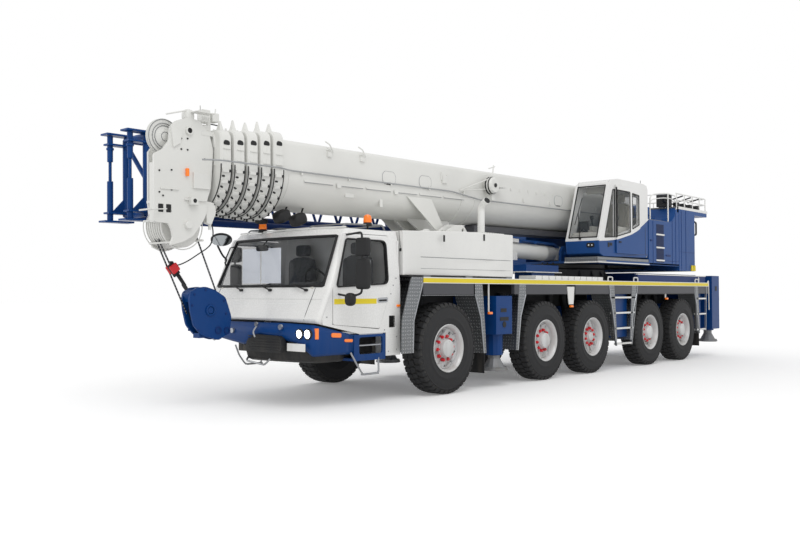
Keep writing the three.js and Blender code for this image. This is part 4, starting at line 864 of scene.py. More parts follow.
BEHIND = arr([(0.648, 1.487), (0.8, 1.12), (0.885, 0.565)])
guards, guard_lips = [], []
for y in (AXLES[0], AXLES[2], AXLES[4]):
    guards.append(BEHIND + (y, 0))
for y in (AXLES[1], AXLES[3]):
    guards.append(BEHIND * (-1, 1) + (y, 0))
panels = []
for line in guards:
    lean = 0.012 if line[-1][0] > line[0][0] else -0.012
    outline = np.vstack([line, line[::-1] + (lean, 0)])
    guard_lips.append(guard_edge(line))
    panels.append(both(prism(outline if lean > 0 else outline[::-1], (0.965, 1.37), "x")))
    top = line[0]
    foot = [(top[0], 1.66), (top[0] + 3.2 * lean * 5, 1.66), line[1] + (lean * 8, 0),
        line[-1] + (lean * 5, 0), line[-1], line[1], top]
    panels.append(both(prism(foot, (1.352, 1.37), "x")))
FRONT_SLOPE = arr([(-0.615, 1.655), (-0.815, 1.12), (-0.83, 0.66)])
panels.append(both(prism([(-0.6, 1.74), (-0.86, 1.74), (-1.065, 1.12), (-1.075, 0.66), *FRONT_SLOPE[::-1]],
    (1.354, 1.372), "x")))
panels.append(both(prism(np.vstack([FRONT_SLOPE, FRONT_SLOPE[::-1] - (0.012, 0)]), (0.965, 1.372), "x")))
guard_lips.append(guard_edge(FRONT_SLOPE))
panels.append(both(block((0.965, 1.36), (-0.62, 0.66), (1.472, 1.48))))
make("mudguards", merged(*panels), checker)
make("mudguard_edges", merged(*guard_lips), bright)
flap = merged(*[strip((1.0, 1.365), (y + a, y + a + 0.012), (b, c))
    for y, a, b, c in ((0.0, 0.885, 0.25, 0.62), (8.46, 0.885, 0.28, 0.62))],
    strip((0.99, 1.33), (2.07, 3.0), (1.472, 1.482)), strip((0.99, 1.33), (3.4, 3.75), (1.472, 1.482)),
    strip((0.99, 1.33), (6.1, 9.15), (1.472, 1.482)), strip((0.99, 1.33), (3.75, 5.1), (1.472, 1.482)))
make("mud_flaps", flap, black, bevel=0.002)
patch = both(prism([(3.44, 1.62), (3.7, 1.62), (3.66, 1.3), (3.5, 1.3)], (1.345, 1.36), "x"))
make("middle_plates", patch, white, bevel=0.003)
print("deck and side bands:", len(made), "pieces so far")

# %% Ladders, grab handles and the lamps along the side
def ladder(top, bottom, z_top, z_bottom, rungs, x):
    """Two rails that lean together, with evenly spaced folded treads between them."""
    rails = merged(*[sweep(rectangle((-0.008, 0.008), (-0.022, 0.022)), [(x, a, z_top), (x, b, z_bottom)],
        (1, 0, 0)) for a, b in zip(top, bottom)])
    treads = []
    for share in (np.arange(rungs) + 0.85) / (rungs - 0.1):
        a, b = (t + (s - t) * share for t, s in zip(top, bottom))
        z = z_top + (z_bottom - z_top) * share
        treads.append(block((x - 0.05, x + 0.014), (a, b), (z, z + 0.035)))
    return both(rails), both(merged(*treads))


mid_rails, mid_treads = ladder((5.0, 6.21), (5.3, 5.94), 1.655, 0.47, 4, 1.356)
rear_rails, rear_treads = ladder((9.19, 9.79), (9.23, 9.75), 1.655, 0.62, 3, 1.356)
make("ladder_rails", merged(mid_rails, rear_rails), bright, bevel=0.003)
make("ladder_treads", merged(mid_treads, rear_treads), white, bevel=0.003)
handle_at = [5.06, 6.15, 9.25]
handles = [tube(bent([(1.362, y - 0.09, 1.735), (1.362, y - 0.09, 1.815), (1.362, y + 0.09, 1.815),
                      (1.362, y + 0.09, 1.735)], 0.03), 0.013, 8) for y in handle_at]
handles += [tube(bent([(1.33, 9.45, 1.735), (1.33, 9.45, 1.86), (1.05, 9.75, 1.86), (1.05, 9.75, 1.735)],
    0.04), 0.013, 8), tube(bent([(1.34, 9.93, 1.74), (1.35, 9.98, 1.8), (1.35, 10.0, 1.1)], 0.04), 0.012, 8)]
make("deck_handles", both(merged(*handles)), white)
side_lamps = merged(*[block((1.34, 1.385), (y - 0.045, y + 0.045), (z - 0.02, z + 0.02))
                      for y, z in ((1.06, 1.19), (3.58, 1.265), (7.62, 1.38))])
make("side_marker_lamps", both(side_lamps), lamp_orange, bevel=0.01)
posts = both(merged(tube([(1.33, 1.06, 1.21), (1.33, 1.06, 1.66)], 0.014, 8),
    tube([(1.33, 7.62, 1.4), (1.33, 7.62, 1.5)], 0.02, 8)))
make("lamp_posts", posts, white)
deck_goods = merged(*[block((0.95, 1.3), (y, y + 0.19), (1.74, 1.81)) for y in np.arange(2.5, 4.9, 0.22)])
make("deck_boxes", both(deck_goods), white, bevel=0.006)
rear_box = block((0.9, 1.3), (8.9, 9.5), (1.74, 1.9))
make("deck_tool_box", both(rear_box), grey_cast_and_shade_lines, bevel=0.012)
print("ladders, grab handles and the lamps along the side:", len(made), "pieces so far")

# %% [markdown]
# ## Rear end
# The rear carries the outrigger boxes, a light bar and the towing jaw. The light bar is one long folded box
# with lens blocks set into it, left as three rows of colours so that the back reads correctly from a
# distance.

# %% Rear lights and towing jaw
light_bar = block((-1.28, 1.28), (10.6, 10.68), (0.66, 0.86))
make("rear_light_bar", merged(light_bar, both(block((0.9, 0.98), (10.5, 10.64), (0.7, 0.95)))), blue,
    bevel=0.01)
make("rear_red_lamps", both(merged(*[block((x, x + 0.13), (10.675, 10.7), (0.71, 0.81))
    for x in (0.72, 1.11)])), lamp_red, bevel=0.01)
make("rear_amber_lamps", both(block((0.88, 1.08), (10.675, 10.7), (0.71, 0.81))), lamp_orange, bevel=0.01)
make("rear_plate", block((-0.26, 0.26), (10.675, 10.69), (0.7, 0.81)), white, bevel=0.003)
jaw = merged(tube(bent([(0, 10.84, 1.12), (0, 10.9, 1.2), (0, 10.9, 1.26)], 0.03), 0.03, 12),
             disc(0.13, (-0.03, 0.03), (0, 10.8, 1.07), "x", 24, 0.008),
             *[disc(0.035, (0.0, 0.03), (s * 0.14, 10.86, 1.12), "y", 12) for s in (-1, 1)])
make("towing_jaw", jaw, black, bevel=0.004)
hoses = [tube(flowing([(x, 10.7, 1.28), (x, 10.78, 1.3), (x + 0.02, 10.8, 1.18), (x, 10.72, 1.12)]), 0.014, 8)
         for x in np.arange(0.3, 0.62, 0.08)]
make("rear_couplings", both(merged(*hoses)), black)
print("rear lights and towing jaw:", len(made), "pieces so far")

# %% Outrigger details
def on_jack(y, low, high, r_slot):
    """Two slots on the box of a jack."""
    face = merged(block((1.374, 1.38), (y - 0.1, y + 0.06), (high - 0.26, high - 0.2)),
                  block((1.374, 1.38), (y - 0.12, y + 0.12), (high - 0.4, high - 0.34)))
    return both(face)


# The slots and the round hole are thin black sheets: painted shade where openings would be.
slot_shades = merged(on_jack(1.43, 0.84, 1.46, 0.03), both(block((1.3, 1.38), (10.32, 10.42), (1.55, 1.66))),
               both(disc(0.05, (1.374, 1.381), (0, 1.43, 1.0), "x", 20)))
make("jack_slot_shades", slot_shades, black)
bands = both(merged(*[turned([(0.13, z), (0.155, z), (0.155, z + 0.05), (0.13, z + 0.05)], (1.17, y, 0), "z",
    32) for y, z in ((1.43, 0.56), (1.43, 0.76), (10.35, 0.66))]))
for end, y, z in (("front", 1.43, 0.25), ("rear", 10.35, 0.33)):
    for side in SIDES:
        foot = merged(turned([(0.0, z + 0.035), (0.217, z + 0.035), (0.222, z + 0.02), (0.222, z + 0.005),
            (0.205, z), (0.0, z)], (1.17, y, 0), "z", 48),
            ring_of(prism([(1.17 + 0.07, z + 0.03), (1.17 + 0.2, z + 0.03), (1.17 + 0.07, z + 0.16)],
            (y - 0.008, y + 0.008), "y"), 8, (1.17, y, 0), "z", 0.3),
            turned([(0.0, z + 0.16), (0.08, z + 0.15), (0.105, z + 0.11), (0.11, z + 0.03), (0, z + 0.03)],
            (1.17, y, 0), "z", 32))
        make(f"pad_ribs_{end}_{side}", foot if side == "left" else flipped(foot), grey_cast_and_shade_lines,
             f"outrigger_jack_{end}_{side}", bevel=0.003)
print("carrier:", len(made), "pieces so far")

# %% [markdown]
# ## The carrier cab
# A full-width cab is pressed steel. Its front bows forwards, its corners are round, and above the window
# line it leans back and narrows. One grid describes the front and the roof together: each row is a level
# with its own middle, width and bow, and each column keeps its place along the row. The cells of the
# windscreen are left out of the skin and reused, set a little deeper, for the glass, so both fit exactly.

# %% The cab's skin as one grid
CAB_W, CAB_REAR = 1.25, -0.97
LEVELS = arr([(0.96, -2.7, 0.0, 0.14), (1.18, -2.69, 0.0, 0.14), (1.59, -2.475, 0.0, 0.13),
              (2.29, -2.13, 0.06, 0.1), (2.385, -2.04, 0.09, 0.09)])


def level(z):
    """Middle, narrowing and bow of the cab's front at height z, read between the drawn levels."""
    return [np.interp(z, LEVELS[:, 0], LEVELS[:, k]) for k in (1, 2, 3)]


flat = np.concatenate([np.linspace(0, 0.94, 10), [0.952, 1.0]])
corner = np.linspace(0, np.pi / 2, 6)[1:]
columns = np.concatenate([np.stack([flat, flat * 0], 1), np.stack([flat[-1] + corner * 0, corner], 1)])
columns = np.vstack([columns[:0:-1] * (-1, 1), columns])
GLASS_EDGE = [int(i) for i in np.where(np.abs(np.abs(columns[:, 0]) - 0.952) < 1e-6)[0]]


def front(z, column=columns):
    """x = c (w - 0.06) + 0.06 sin a and y = middle + bow c^2 + 0.07 (1 - cos a) for each column (c, a)."""
    middle, narrow, bow = level(z)
    c, a = column[:, 0], column[:, 1]
    x = c * (CAB_W - narrow - 0.06) + np.sign(c) * 0.06 * np.sin(a)
    return np.stack([x, middle + bow * c ** 2 + 0.07 * (1 - np.cos(a)), np.full(len(c), z)], 1)


def skirt_line(y):
    """The cab skin's lower edge: level behind the corner, then falling 0.2135 per metre."""
    return 1.15 - np.clip(y + 2.7, 0, None) * 0.2135


def front_rows(heights, drop=False):
    """The front's rows at the given heights; drop sets the lowest on the skirt line."""
    rows = np.stack([front(z) for z in heights])
    if drop:
        rows[0, :, 2] = skirt_line(rows[0, :, 1])
    return rows


def kept(points, skip=()):
    """A grid without some of its cells: skip lists (first row, last row, first column, last column)."""
    keep = np.ones((points.shape[0] - 1, points.shape[1] - 1), bool)
    for r0, r1, c0, c1 in skip:
        keep[r0:r1, c0:c1] = False
    return Shape(points.reshape(-1, 3), [sheet(points).faces[0][keep.ravel()]])


def thickened(thing, depth):
    """A skin becomes sheet metal: it grows inwards by depth, with its rim closed."""
    solid = thing.modifiers.new("sheet thickness", "SOLIDIFY")
    solid.thickness, solid.offset = depth, -1
    return thing


HEIGHTS = [1.15, 1.18, 1.3, 1.372, 1.374, 1.43, 1.432, 1.59, 1.605, 1.76, 1.93, 2.1, 2.278, 2.29, 2.335,
    2.385]
rows = front_rows(HEIGHTS, drop=True)
rows[4:6, :, 1] += 0.007 * (np.abs(columns[:, 0]) < 0.98)
share = np.linspace(0, 1, 9)[1:, None]
roof = rows[-1][None] + (arr([0, 1, 0]) * (CAB_REAR - rows[-1][None, :, 1:2])) * share[:, :, None]
roof[..., 2] += 0.03 * np.sin(share * np.pi * 0.5) * (1 - (roof[..., 0] / 1.16) ** 2)
skin = np.vstack([rows, roof])
SCREEN = (8, 12, GLASS_EDGE[0], GLASS_EDGE[1])
thickened(make("cab_front_and_roof", kept(skin, [SCREEN]), cab_white, normals=False, sharp=24,
               replaces="carrier_cab"), 0.03)
print("the cab's skin as one grid:", len(made), "pieces so far")

# %% Windscreen, its rubber and the wipers
def inward(points, depth):
    """A grid moved by depth against its normal, which is the cross product of its two slopes."""
    normal = np.cross(np.gradient(points, axis=1), np.gradient(points, axis=0))
    return points - normal / np.linalg.norm(normal, axis=2, keepdims=True) * depth


screen = skin[SCREEN[0]:SCREEN[1] + 1, SCREEN[2]:SCREEN[3] + 1]
make("windscreen_glass", slab(inward(screen, 0.012), -0.006), cab_glass, sharp=60)
rim_line = np.concatenate([screen[0], screen[1:, -1], screen[-1, -2::-1], screen[-2:0:-1, 0]])
make("windscreen_rubber", tube(rim_line, 0.021, 8, up=(0, -1, 0.55), closed=True), seal, sharp=80)


def on_front(x, z, out=0.0):
    """A point on the cab's front: x metres from the middle, at height z, out metres proud of the skin."""
    middle, narrow, bow = level(z)
    c = np.clip(x / (CAB_W - narrow - 0.06), -1, 1)
    return arr([x, middle + bow * c ** 2 - out, z])


wipers = []
for x in (-0.39, 0.25, 0.9):
    pivot, bend, tip = on_front(x, 1.55, 0.03), on_front(x - 0.06, 1.575, 0.05), on_front(x - 0.22, 1.615,
        0.045)
    wipers += [tube([pivot, bend, tip], 0.009, 6), tube([on_front(x - 0.48, 1.612, 0.03),
        on_front(x - 0.24, 1.62, 0.03), on_front(x - 0.02, 1.605, 0.03)], 0.01, 6),
        tube([pivot + (0, 0.03, 0), pivot + (0, -0.015, 0)], 0.018, 10)]
make("windscreen_wipers", merged(*wipers), black)
print("windscreen, its rubber and the wipers:", len(made), "pieces so far")

# %% Sides, rear wall and floor
def split(shape, axis, values):
    """Cuts every face along planes, so that a plate can then be folded there."""
    mesh = bpy.data.meshes.new("cut")
    mesh.from_pydata(shape.points.tolist(), [], [f for table in shape.faces for f in table.tolist()])
    work = bmesh.new()
    work.from_mesh(mesh)
    bmesh.ops.remove_doubles(work, verts=work.verts, dist=1e-6)
    across = {"x": (1, 0, 0), "y": (0, 1, 0), "z": (0, 0, 1)}[axis]
    for value in values:
        bmesh.ops.bisect_plane(work, geom=work.verts[:] + work.edges[:] + work.faces[:], dist=1e-6,
                               plane_co=tuple(value * a for a in across), plane_no=across)
    bmesh.ops.triangulate(work, faces=work.faces[:])
    work.verts.index_update()
    points = arr([v.co[:] for v in work.verts])
    faces = np.array([[v.index for v in f.verts] for f in work.faces])
    work.free()
    bpy.data.meshes.remove(mesh)
    return Shape(points, [faces])


def leaning(shape):
    """Moves each point inwards by the cab's narrowing at its height: the side folds above the window line."""
    shape = split(shape, "z", [1.59, 1.94, 2.29])
    narrow = np.interp(shape.points[:, 2], LEVELS[:, 0], LEVELS[:, 2])
    return Shape(shape.points - np.stack([narrow, narrow * 0, narrow * 0], 1), shape.faces)


side = [(-1.8, 0.962), (-2.47, skirt_line(-2.47)), (-2.482, 1.18), (-2.3, 1.56), (-2.3, 1.1), (-1.405, 1.015),
    (-1.172, 1.56), (-1.172, 2.318), (-1.955, 2.318), (-1.88, 2.384), (CAB_REAR, 2.384), (CAB_REAR, 0.64),
    (-1.27, 0.64), (-1.27, 0.962)]
vent = rectangle((-1.205, -1.075), (1.03, 1.195))
side_plate = leaning(plate(side, [vent], (1.215, 1.25), "x"))
make("cab_sides", both(side_plate), cab_white, bevel=0.004, sharp=30)
walls = merged(block((-1.22, 1.22), (-1.0, CAB_REAR), (0.96, 2.25)),
    block((-1.15, 1.15), (-1.0, CAB_REAR), (2.24, 2.4)), block((-1.21, 1.21), (-2.46, -1.0), (0.962, 1.0)),
    both(block((1.05, 1.22), (-1.27, -0.985), (0.64, 0.97))))
make("cab_rear_and_floor", walls, cab_white, bevel=0.006)
louvres = both(merged(*[prism([(-1.21, z), (-1.21, z + 0.006), (-1.07, z + 0.006), (-1.07, z)],
    (1.215, 1.243), "x") for z in np.arange(1.04, 1.19, 0.022)],
    block((1.2, 1.216), (-1.22, -1.06), (1.01, 1.21))))
make("cab_vents", louvres, black)
marker = both(block((1.245, 1.268), (-1.05, -0.985), (1.315, 1.35)))
make("cab_side_markers", marker, lamp_orange, bevel=0.008)
screws = both(merged(*[disc(0.008, (1.249, 1.256), (0, y, z), "x", 10)
    for y, z in ((-1.06, 1.72), (-1.12, 1.62), (-1.17, 1.5), (-1.3, 1.0), (-1.05, 0.72), (-1.05, 0.9),
    (-2.4, 1.2), (-1.22, 0.7))]))
make("cab_screws", screws, grey_cast_and_shade_lines)
seams = merged(*[tube([on_front(s * 1.02, z, 0.0015) for z in np.linspace(1.16, 1.58, 6)], 0.004, 6)
    for s in (-1, 1)])
make("cab_front_seams", seams, trim)
print("sides, rear wall and floor:", len(made), "pieces so far")

# %% Doors
DOOR = arr([(-2.29, 1.1), (-1.41, 1.025), (-1.18, 1.56), (-1.18, 2.31), (-2.035, 2.31), (-2.29, 1.6)])
OPENING = rounded([(-2.235, 1.59), (-1.235, 1.64), (-1.235, 2.24), (-2.01, 2.24)], [0.05, 0.09, 0.09, 0.05])
leaf = leaning(plate(rounded(DOOR, 0.03), [OPENING], (1.215, 1.258), "x"))
pane = leaning(prism(OPENING, (1.232, 1.238), "x"))
opening_line = stand(OPENING, 1.256, "x")
opening_line[:, 0] -= np.interp(opening_line[:, 2], LEVELS[:, 0], LEVELS[:, 2])
gasket = sweep([(-0.012, -0.03), (0.006, -0.034), (0.01, 0.0), (0.006, 0.022), (-0.012, 0.018)], opening_line,
    (1, 0, 0), closed=True)
band_on_door = both(block((1.25, 1.2605), (-2.275, -1.47), (1.365, 1.435)))
grip_plate = both(prism(rounded([(-1.45, 1.375), (-1.24, 1.385), (-1.24, 1.455), (-1.45, 1.445)], 0.03),
    (1.25, 1.264), "x"))
grip = both(prism(rounded([(-1.425, 1.395), (-1.27, 1.4), (-1.27, 1.425), (-1.425, 1.42)], 0.02),
    (1.255, 1.272), "x"))
for s, name in ((0, "left"), (1, "right")):
    put = flipped if s else (lambda shape: shape)
    body = f"cab_door_{name}"
    half = lambda shape: Shape(shape.points[:len(shape.points) // 2], shape.faces[:len(shape.faces) // 2])
    make(f"door_leaf_{name}", put(leaf), cab_white, body, bevel=0.004, sharp=30,
        replaces=f"cab_door_{name}")
    make(f"door_glass_{name}", put(pane), cab_glass, body, sharp=60)
    make(f"door_gasket_{name}", put(gasket), seal, body)
    make(f"door_band_{name}", put(half(band_on_door)), yellow, body)
    make(f"door_handle_plate_{name}", put(half(grip_plate)), bright, body, bevel=0.004)
    make(f"door_handle_{name}", put(half(grip)), black, body, bevel=0.004)
    card = leaning(plate(rounded(arr([(-2.25, 1.12), (-1.43, 1.05), (-1.2, 1.56), (-2.25, 1.55)]), 0.03), [],
        (1.185, 1.214), "x"))
    make(f"door_card_{name}", put(card), trim, body, bevel=0.004)
print("doors:", len(made), "pieces so far")

# %% [markdown]
# ## Seats and the space inside
# What shows through the tinted glass is a light dashboard, a steering wheel, seats and two pale blinds. A
# cushion is a superellipsoid: a sphere's two angles with their sines and cosines raised to a power below
# one, which squares it up but keeps every side crowned and closed.

# %% Cushions
def cushion(centre, half, power=0.42, rows=24, columns=40):
    """x = a C(v) C(u), y = b C(v) S(u), z = c S(v), where C and S are cosine and sine to a signed power."""
    def bent_power(value):
        return np.sign(value) * np.abs(value) ** power
    u = np.linspace(0, 2 * np.pi, columns, endpoint=False)
    v = np.linspace(-np.pi / 2, np.pi / 2, rows)[:, None]
    points = np.stack([bent_power(np.cos(v)) * bent_power(np.cos(u)),
        bent_power(np.cos(v)) * bent_power(np.sin(u)), bent_power(np.sin(v)) * np.ones_like(u)], -1)
    return sheet(points * arr(half) + arr(centre), around=True)


def piping(centre, half, axis, at, radius=0.006):
    """The sewn seam round a cushion, where its cover's two panels meet."""
    a = np.linspace(0, 2 * np.pi, 48, endpoint=False)
    c, s = (np.sign(f) * np.abs(f) ** 0.42 for f in (np.cos(a), np.sin(a)))
    flat = np.stack([c, s], 1) * [h for k, h in zip("xyz", half) if k != axis]
    points = stand(flat, at, axis)
    return tube(points + arr(centre), radius, 6, up={"x": (1, 0, 0), "y": (0, 1, 0), "z": (0, 0, 1)}[axis],
        closed=True)


def seat(name, centre_x, base, back, cloth, body, rake=0.06):
    """Base and back as (y middle, z middle, half depth, half height)."""
    for part, (y, z, b, c) in (("base", base), ("back", back)):
        shape = cushion((centre_x, y, z), (0.25, b, c))
        seam = piping((centre_x, y, z), (0.248, b, c), "z" if part == "base" else "y", 0.0)
        wings = merged(*[cushion((centre_x + s * 0.21, y, z),
            (0.055, b * 1.06, c * (1.12 if part == "base" else 0.9))) for s in (-1, 1)])
        whole = merged(shape, seam, wings)
        thing = make(f"{name}_{part}", turn(whole, rake if part == "back" else 0.0, (centre_x, y, z)), cloth,
            body, sharp=60)
    rest = cushion((centre_x, back[0] + 0.02, back[1] + back[3] + 0.1), (0.14, 0.05, 0.09))
    stalks = merged(*[tube([(centre_x + s * 0.06, back[0] + 0.02, back[1] + back[3] - 0.05),
        (centre_x + s * 0.06, back[0] + 0.02, back[1] + back[3] + 0.08)], 0.008, 8) for s in (-1, 1)])
    make(f"{name}_headrest", rest, cloth, body, sharp=60)
    make(f"{name}_headrest_stalks", stalks, chrome, body)


for x, name in ((0.6, "driver_seat"), (-0.6, "passenger_seat")):
    seat(name, x, (-1.385, 1.375, 0.25, 0.075), (-1.165, 1.72, 0.06, 0.34), seat_cloth, "carrier", rake=0.0)
print("cushions:", len(made), "pieces so far")

# %% Dashboard, steering wheel and blinds
dash = prism([(-2.42, 1.2), (-2.05, 1.25), (-2.06, 1.46), (-2.12, 1.54), (-2.4, 1.6)], (-0.99, 0.99), "x")
make("cab_dashboard", dash, pale_trim, bevel=0.012, replaces="cab_interior")
cluster = merged(prism([(-2.1, 1.53), (-2.06, 1.5), (-2.1, 1.66), (-2.24, 1.66), (-2.26, 1.56)], (0.36, 0.84),
    "x"), block((-0.2, 0.16), (-2.07, -2.04), (1.28, 1.44)))
pedestals = merged(*[block((x - 0.2, x + 0.2), (-1.62, -1.12), (1.03, 1.31)) for x in (-0.6, 0.6)],
    block((-0.17, 0.17), (-1.9, -1.2), (1.03, 1.3)), block((-1.1, 1.1), (-2.3, -1.05), (1.012, 1.04)))
make("cab_furniture", merged(cluster, pedestals), trim, bevel=0.012)
a = np.linspace(0, 2 * np.pi, 48, endpoint=False)
wheel_ring = np.stack([0.6 + 0.225 * np.cos(a), -1.955 - 0.225 * np.sin(a) * 0.42,
    1.645 + 0.225 * np.sin(a) * 0.9], 1)
wheel_axis = arr((0, 0.9, 0.42))
spokes = [tube([(0.6, -1.955, 1.62), (0.6 + 0.215 * np.cos(b), -1.955 - 0.09 * np.sin(b),
    1.645 + 0.19 * np.sin(b))], 0.012, 8) for b in (0.25, math.pi - 0.25, -math.pi / 2)]
column = tube([(0.6, -1.955, 1.62), (0.6, -2.12, 1.42)], 0.035, 12)
make("steering_wheel", merged(tube(wheel_ring, 0.015, 10, up=wheel_axis, closed=True), *spokes, column),
    black)
blinds = []
for a0, a1 in ((-0.97, -0.56), (-0.53, -0.09)):
    x = np.linspace(a0, a1, 9)
    z = np.linspace(1.65, 2.16, 7)[:, None]
    grid = np.stack([x + 0 * z, -2.035 + 0.006 * np.cos((x - a0) * 60) + 0 * z, z + 0 * x], -1)
    blinds.append(slab(grid, 0.004))
# The blinds' finish glows: painted light, not a lamp.
make("sun_blinds", merged(*blinds), glowing_blind_cloth, sharp=60)
inside_mirror = merged(cushion((-0.4, -2.12, 2.16), (0.12, 0.03, 0.045)),
    tube([(-0.4, -2.1, 2.2), (-0.4, -2.0, 2.3)], 0.01, 8))
make("inside_mirror", inside_mirror, black, sharp=60)
print("dashboard, steering wheel and blinds:", len(made), "pieces so far")

# %% [markdown]
# ## Mirrors, beacons and roof rails
# The mirrors hang on one tube bent twice, outboard of the door. The beacons are turned shapes: a lens with
# a domed top over a black foot. Nothing here needs sculpting, since every part is a tube, a turning or a
# soft box.

# %% Mirrors
def mirror_set(put):
    """Two mirrors, a round one below and their arm, drawn on the left; put places them."""
    x, y = 1.6, -2.09
    heads = merged(cushion((x, y, 1.76), (0.105, 0.045, 0.2), 0.3),
        cushion((x, y, 2.11), (0.105, 0.045, 0.12), 0.3))
    arms = merged(tube(bent([(1.235, -2.2, 1.5), (1.42, -2.17, 1.47), (x, y - 0.02, 1.5), (x, y - 0.02, 2.3),
        (1.2, -1.99, 2.29)], 0.06), 0.014, 8), tube([(x, y - 0.02, 1.52), (1.5, -2.2, 1.45)], 0.012, 8))
    ball = cushion((1.5, -2.22, 1.43), (0.075, 0.06, 0.085), 0.75)
    panes = merged(block((x - 0.09, x + 0.09), (y + 0.043, y + 0.047), (1.58, 1.94)),
        block((x - 0.09, x + 0.09), (y + 0.043, y + 0.047), (2.01, 2.21)))
    return put(merged(heads, ball)), put(arms), put(panes)


for side_name, put in (("left", lambda s: s), ("right", lambda s: moved(flipped(s), (0, 0.42, 0)))):
    heads, arms, panes = mirror_set(put)
    make(f"mirror_heads_{side_name}", heads, black, f"cab_door_{side_name}", sharp=60)
    make(f"mirror_arms_{side_name}", arms, black, f"cab_door_{side_name}")
    make(f"mirror_panes_{side_name}", panes, mirror_glass, f"cab_door_{side_name}")
kerb_arm = tube(flowing([(-1.12, -2.24, 1.96), (-0.93, -2.36, 2.0), (-0.86, -2.48, 2.06),
    (-0.8, -2.61, 2.185)], 6), 0.014, 8)
kerb_head = turn(turn(disc(0.15, (-0.02, 0.012), (0, 0, 0), "z", 40, 0.008), -0.32, axis="x"), -0.45,
    axis="y")
make("kerb_mirror_head", moved(kerb_head, (-0.686, -2.63, 2.275)), black, sharp=50)
kerb_pane = turn(turn(disc(0.137, (-0.0225, -0.019), (0, 0, 0), "z", 40), -0.32, axis="x"), -0.45, axis="y")
make("kerb_mirror_pane", moved(kerb_pane, (-0.686, -2.63, 2.275)), mirror_glass, sharp=50)
make("kerb_mirror_arm", merged(kerb_arm, tube([(-1.12, -2.24, 1.96), (-1.12, -2.2, 1.86)], 0.012, 8),
    tube([(-1.07, -2.28, 1.99), (-1.02, -2.22, 2.18), (-1.0, -2.14, 2.2)], 0.01, 8)), black)
print("mirrors:", len(made), "pieces so far")

# %% Beacons and roof rails
def beacon(x, y, z, body="carrier", name="beacon"):
    """A turned amber lens on a black foot and a post."""
    foot = turned([(0, 0), (0.062, 0), (0.066, 0.01), (0.06, 0.045), (0.052, 0.05), (0, 0.05)], (x, y, z),
        "z", 32)
    lens = turned([(0, 0.05), (0.058, 0.05), (0.061, 0.07), (0.056, 0.125), (0.046, 0.15), (0.025, 0.163),
        (0, 0.167)], (x, y, z), "z", 32)
    post = tube([(x, y, z - 0.08), (x, y, z)], 0.014, 8)
    make(f"{name}_foot", merged(foot, post), black, body)
    make(f"{name}_lens", lens, lamp_orange, body)


beacon(1.0, -1.38, 2.45, name="beacon_left")
beacon(-0.54, -2.0, 2.395, name="beacon_right")
rails = [tube(bent([(x, -1.9, 2.4), (x, -1.85, 2.455), (x, -1.1, 2.475), (x, -1.05, 2.41)], 0.03), 0.012, 8)
    for x in (1.02, 0.35)]
rails += [tube([(0.35, y, 2.46), (1.02, y, 2.46)], 0.01, 8) for y in (-1.8, -1.15)]
roof_edge = tube([(x, y, 2.402) for x, y, _ in front(2.385)[3:-3]], 0.012, 8, up=(0, 0, 1))
make("roof_rails", both(merged(*rails)), grey_cast_and_shade_lines)
make("roof_edge", roof_edge, white)
hatch = prism(rounded([(-0.35, -1.75), (0.35, -1.75), (0.35, -1.15), (-0.35, -1.15)], 0.06), (2.4, 2.455),
    "z")
make("roof_hatch", hatch, white, bevel=0.012)
hanging = merged(tube([(1.19, -0.93, 2.4), (1.22, -0.93, 2.16)], 0.004, 6),
    cushion((1.222, -0.93, 2.13), (0.018, 0.018, 0.026), 0.8))
make("aerial_rod", hanging, black, sharp=60)
print("beacons and roof rails:", len(made), "pieces so far")

# %% [markdown]
# ## Bumper, lights and steps
# The bumper follows the same plan line as the cab, so it uses the same columns with its own levels. The
# lamps are lenses turned about the driving direction and set in a black bezel.

# %% Bumper
def bumper_rows(levels, w=1.25, back=-1.9):
    """Each level is (height, middle, how far the width is drawn in); sides run straight back at the ends."""
    rings = []
    for z, middle, narrow in levels:
        c, a = columns[:, 0], columns[:, 1]
        x = c * (w - narrow - 0.06) + np.sign(c) * 0.06 * np.sin(a)
        y = middle + 0.14 * c ** 2 + 0.07 * (1 - np.cos(a))
        ring = np.stack([x, y, np.full(len(c), z)], 1)
        tail = np.stack([np.full(4, ring[-1, 0]), np.linspace(ring[-1, 1], back, 5)[1:], np.full(4, z)], 1)
        rings.append(np.vstack([tail[::-1] * (-1, 1, 1), ring, tail]))
    return np.stack(rings)


shell = bumper_rows([(0.7, -2.75, 0.02), (0.74, -2.775, 0.004), (0.86, -2.79, 0.0), (1.0, -2.785, 0.0),
    (1.13, -2.755, 0.004)])
shell[-1, :, 2] = skirt_line(shell[-1, :, 1]) - 0.028
lowest = np.interp(shell[0, :, 0], [-1.2, -0.6, 0.07, 0.3, 0.96, 1.2], [0.93, 0.89, 0.81, 0.95, 0.87, 0.7])
for row, rise in enumerate((0.0, 0.025, 0.05, 0.08)):
    shell[row, :, 2] = np.maximum(shell[row, :, 2], lowest + rise)
shell[-2, :, 2] = np.minimum(shell[-2, :, 2], shell[-1, :, 2] - 0.06)
thickened(make("front_bumper", kept(shell), blue, normals=False, sharp=40), 0.03)


def shallow_right(step):
    """The step on the left, and its mirror image with three tenths of the depth on the right."""
    other = flipped(step)
    return merged(step, Shape(other.points * (1, 1, 0.3) + (0, 0, 0.7 * 0.955), other.faces))


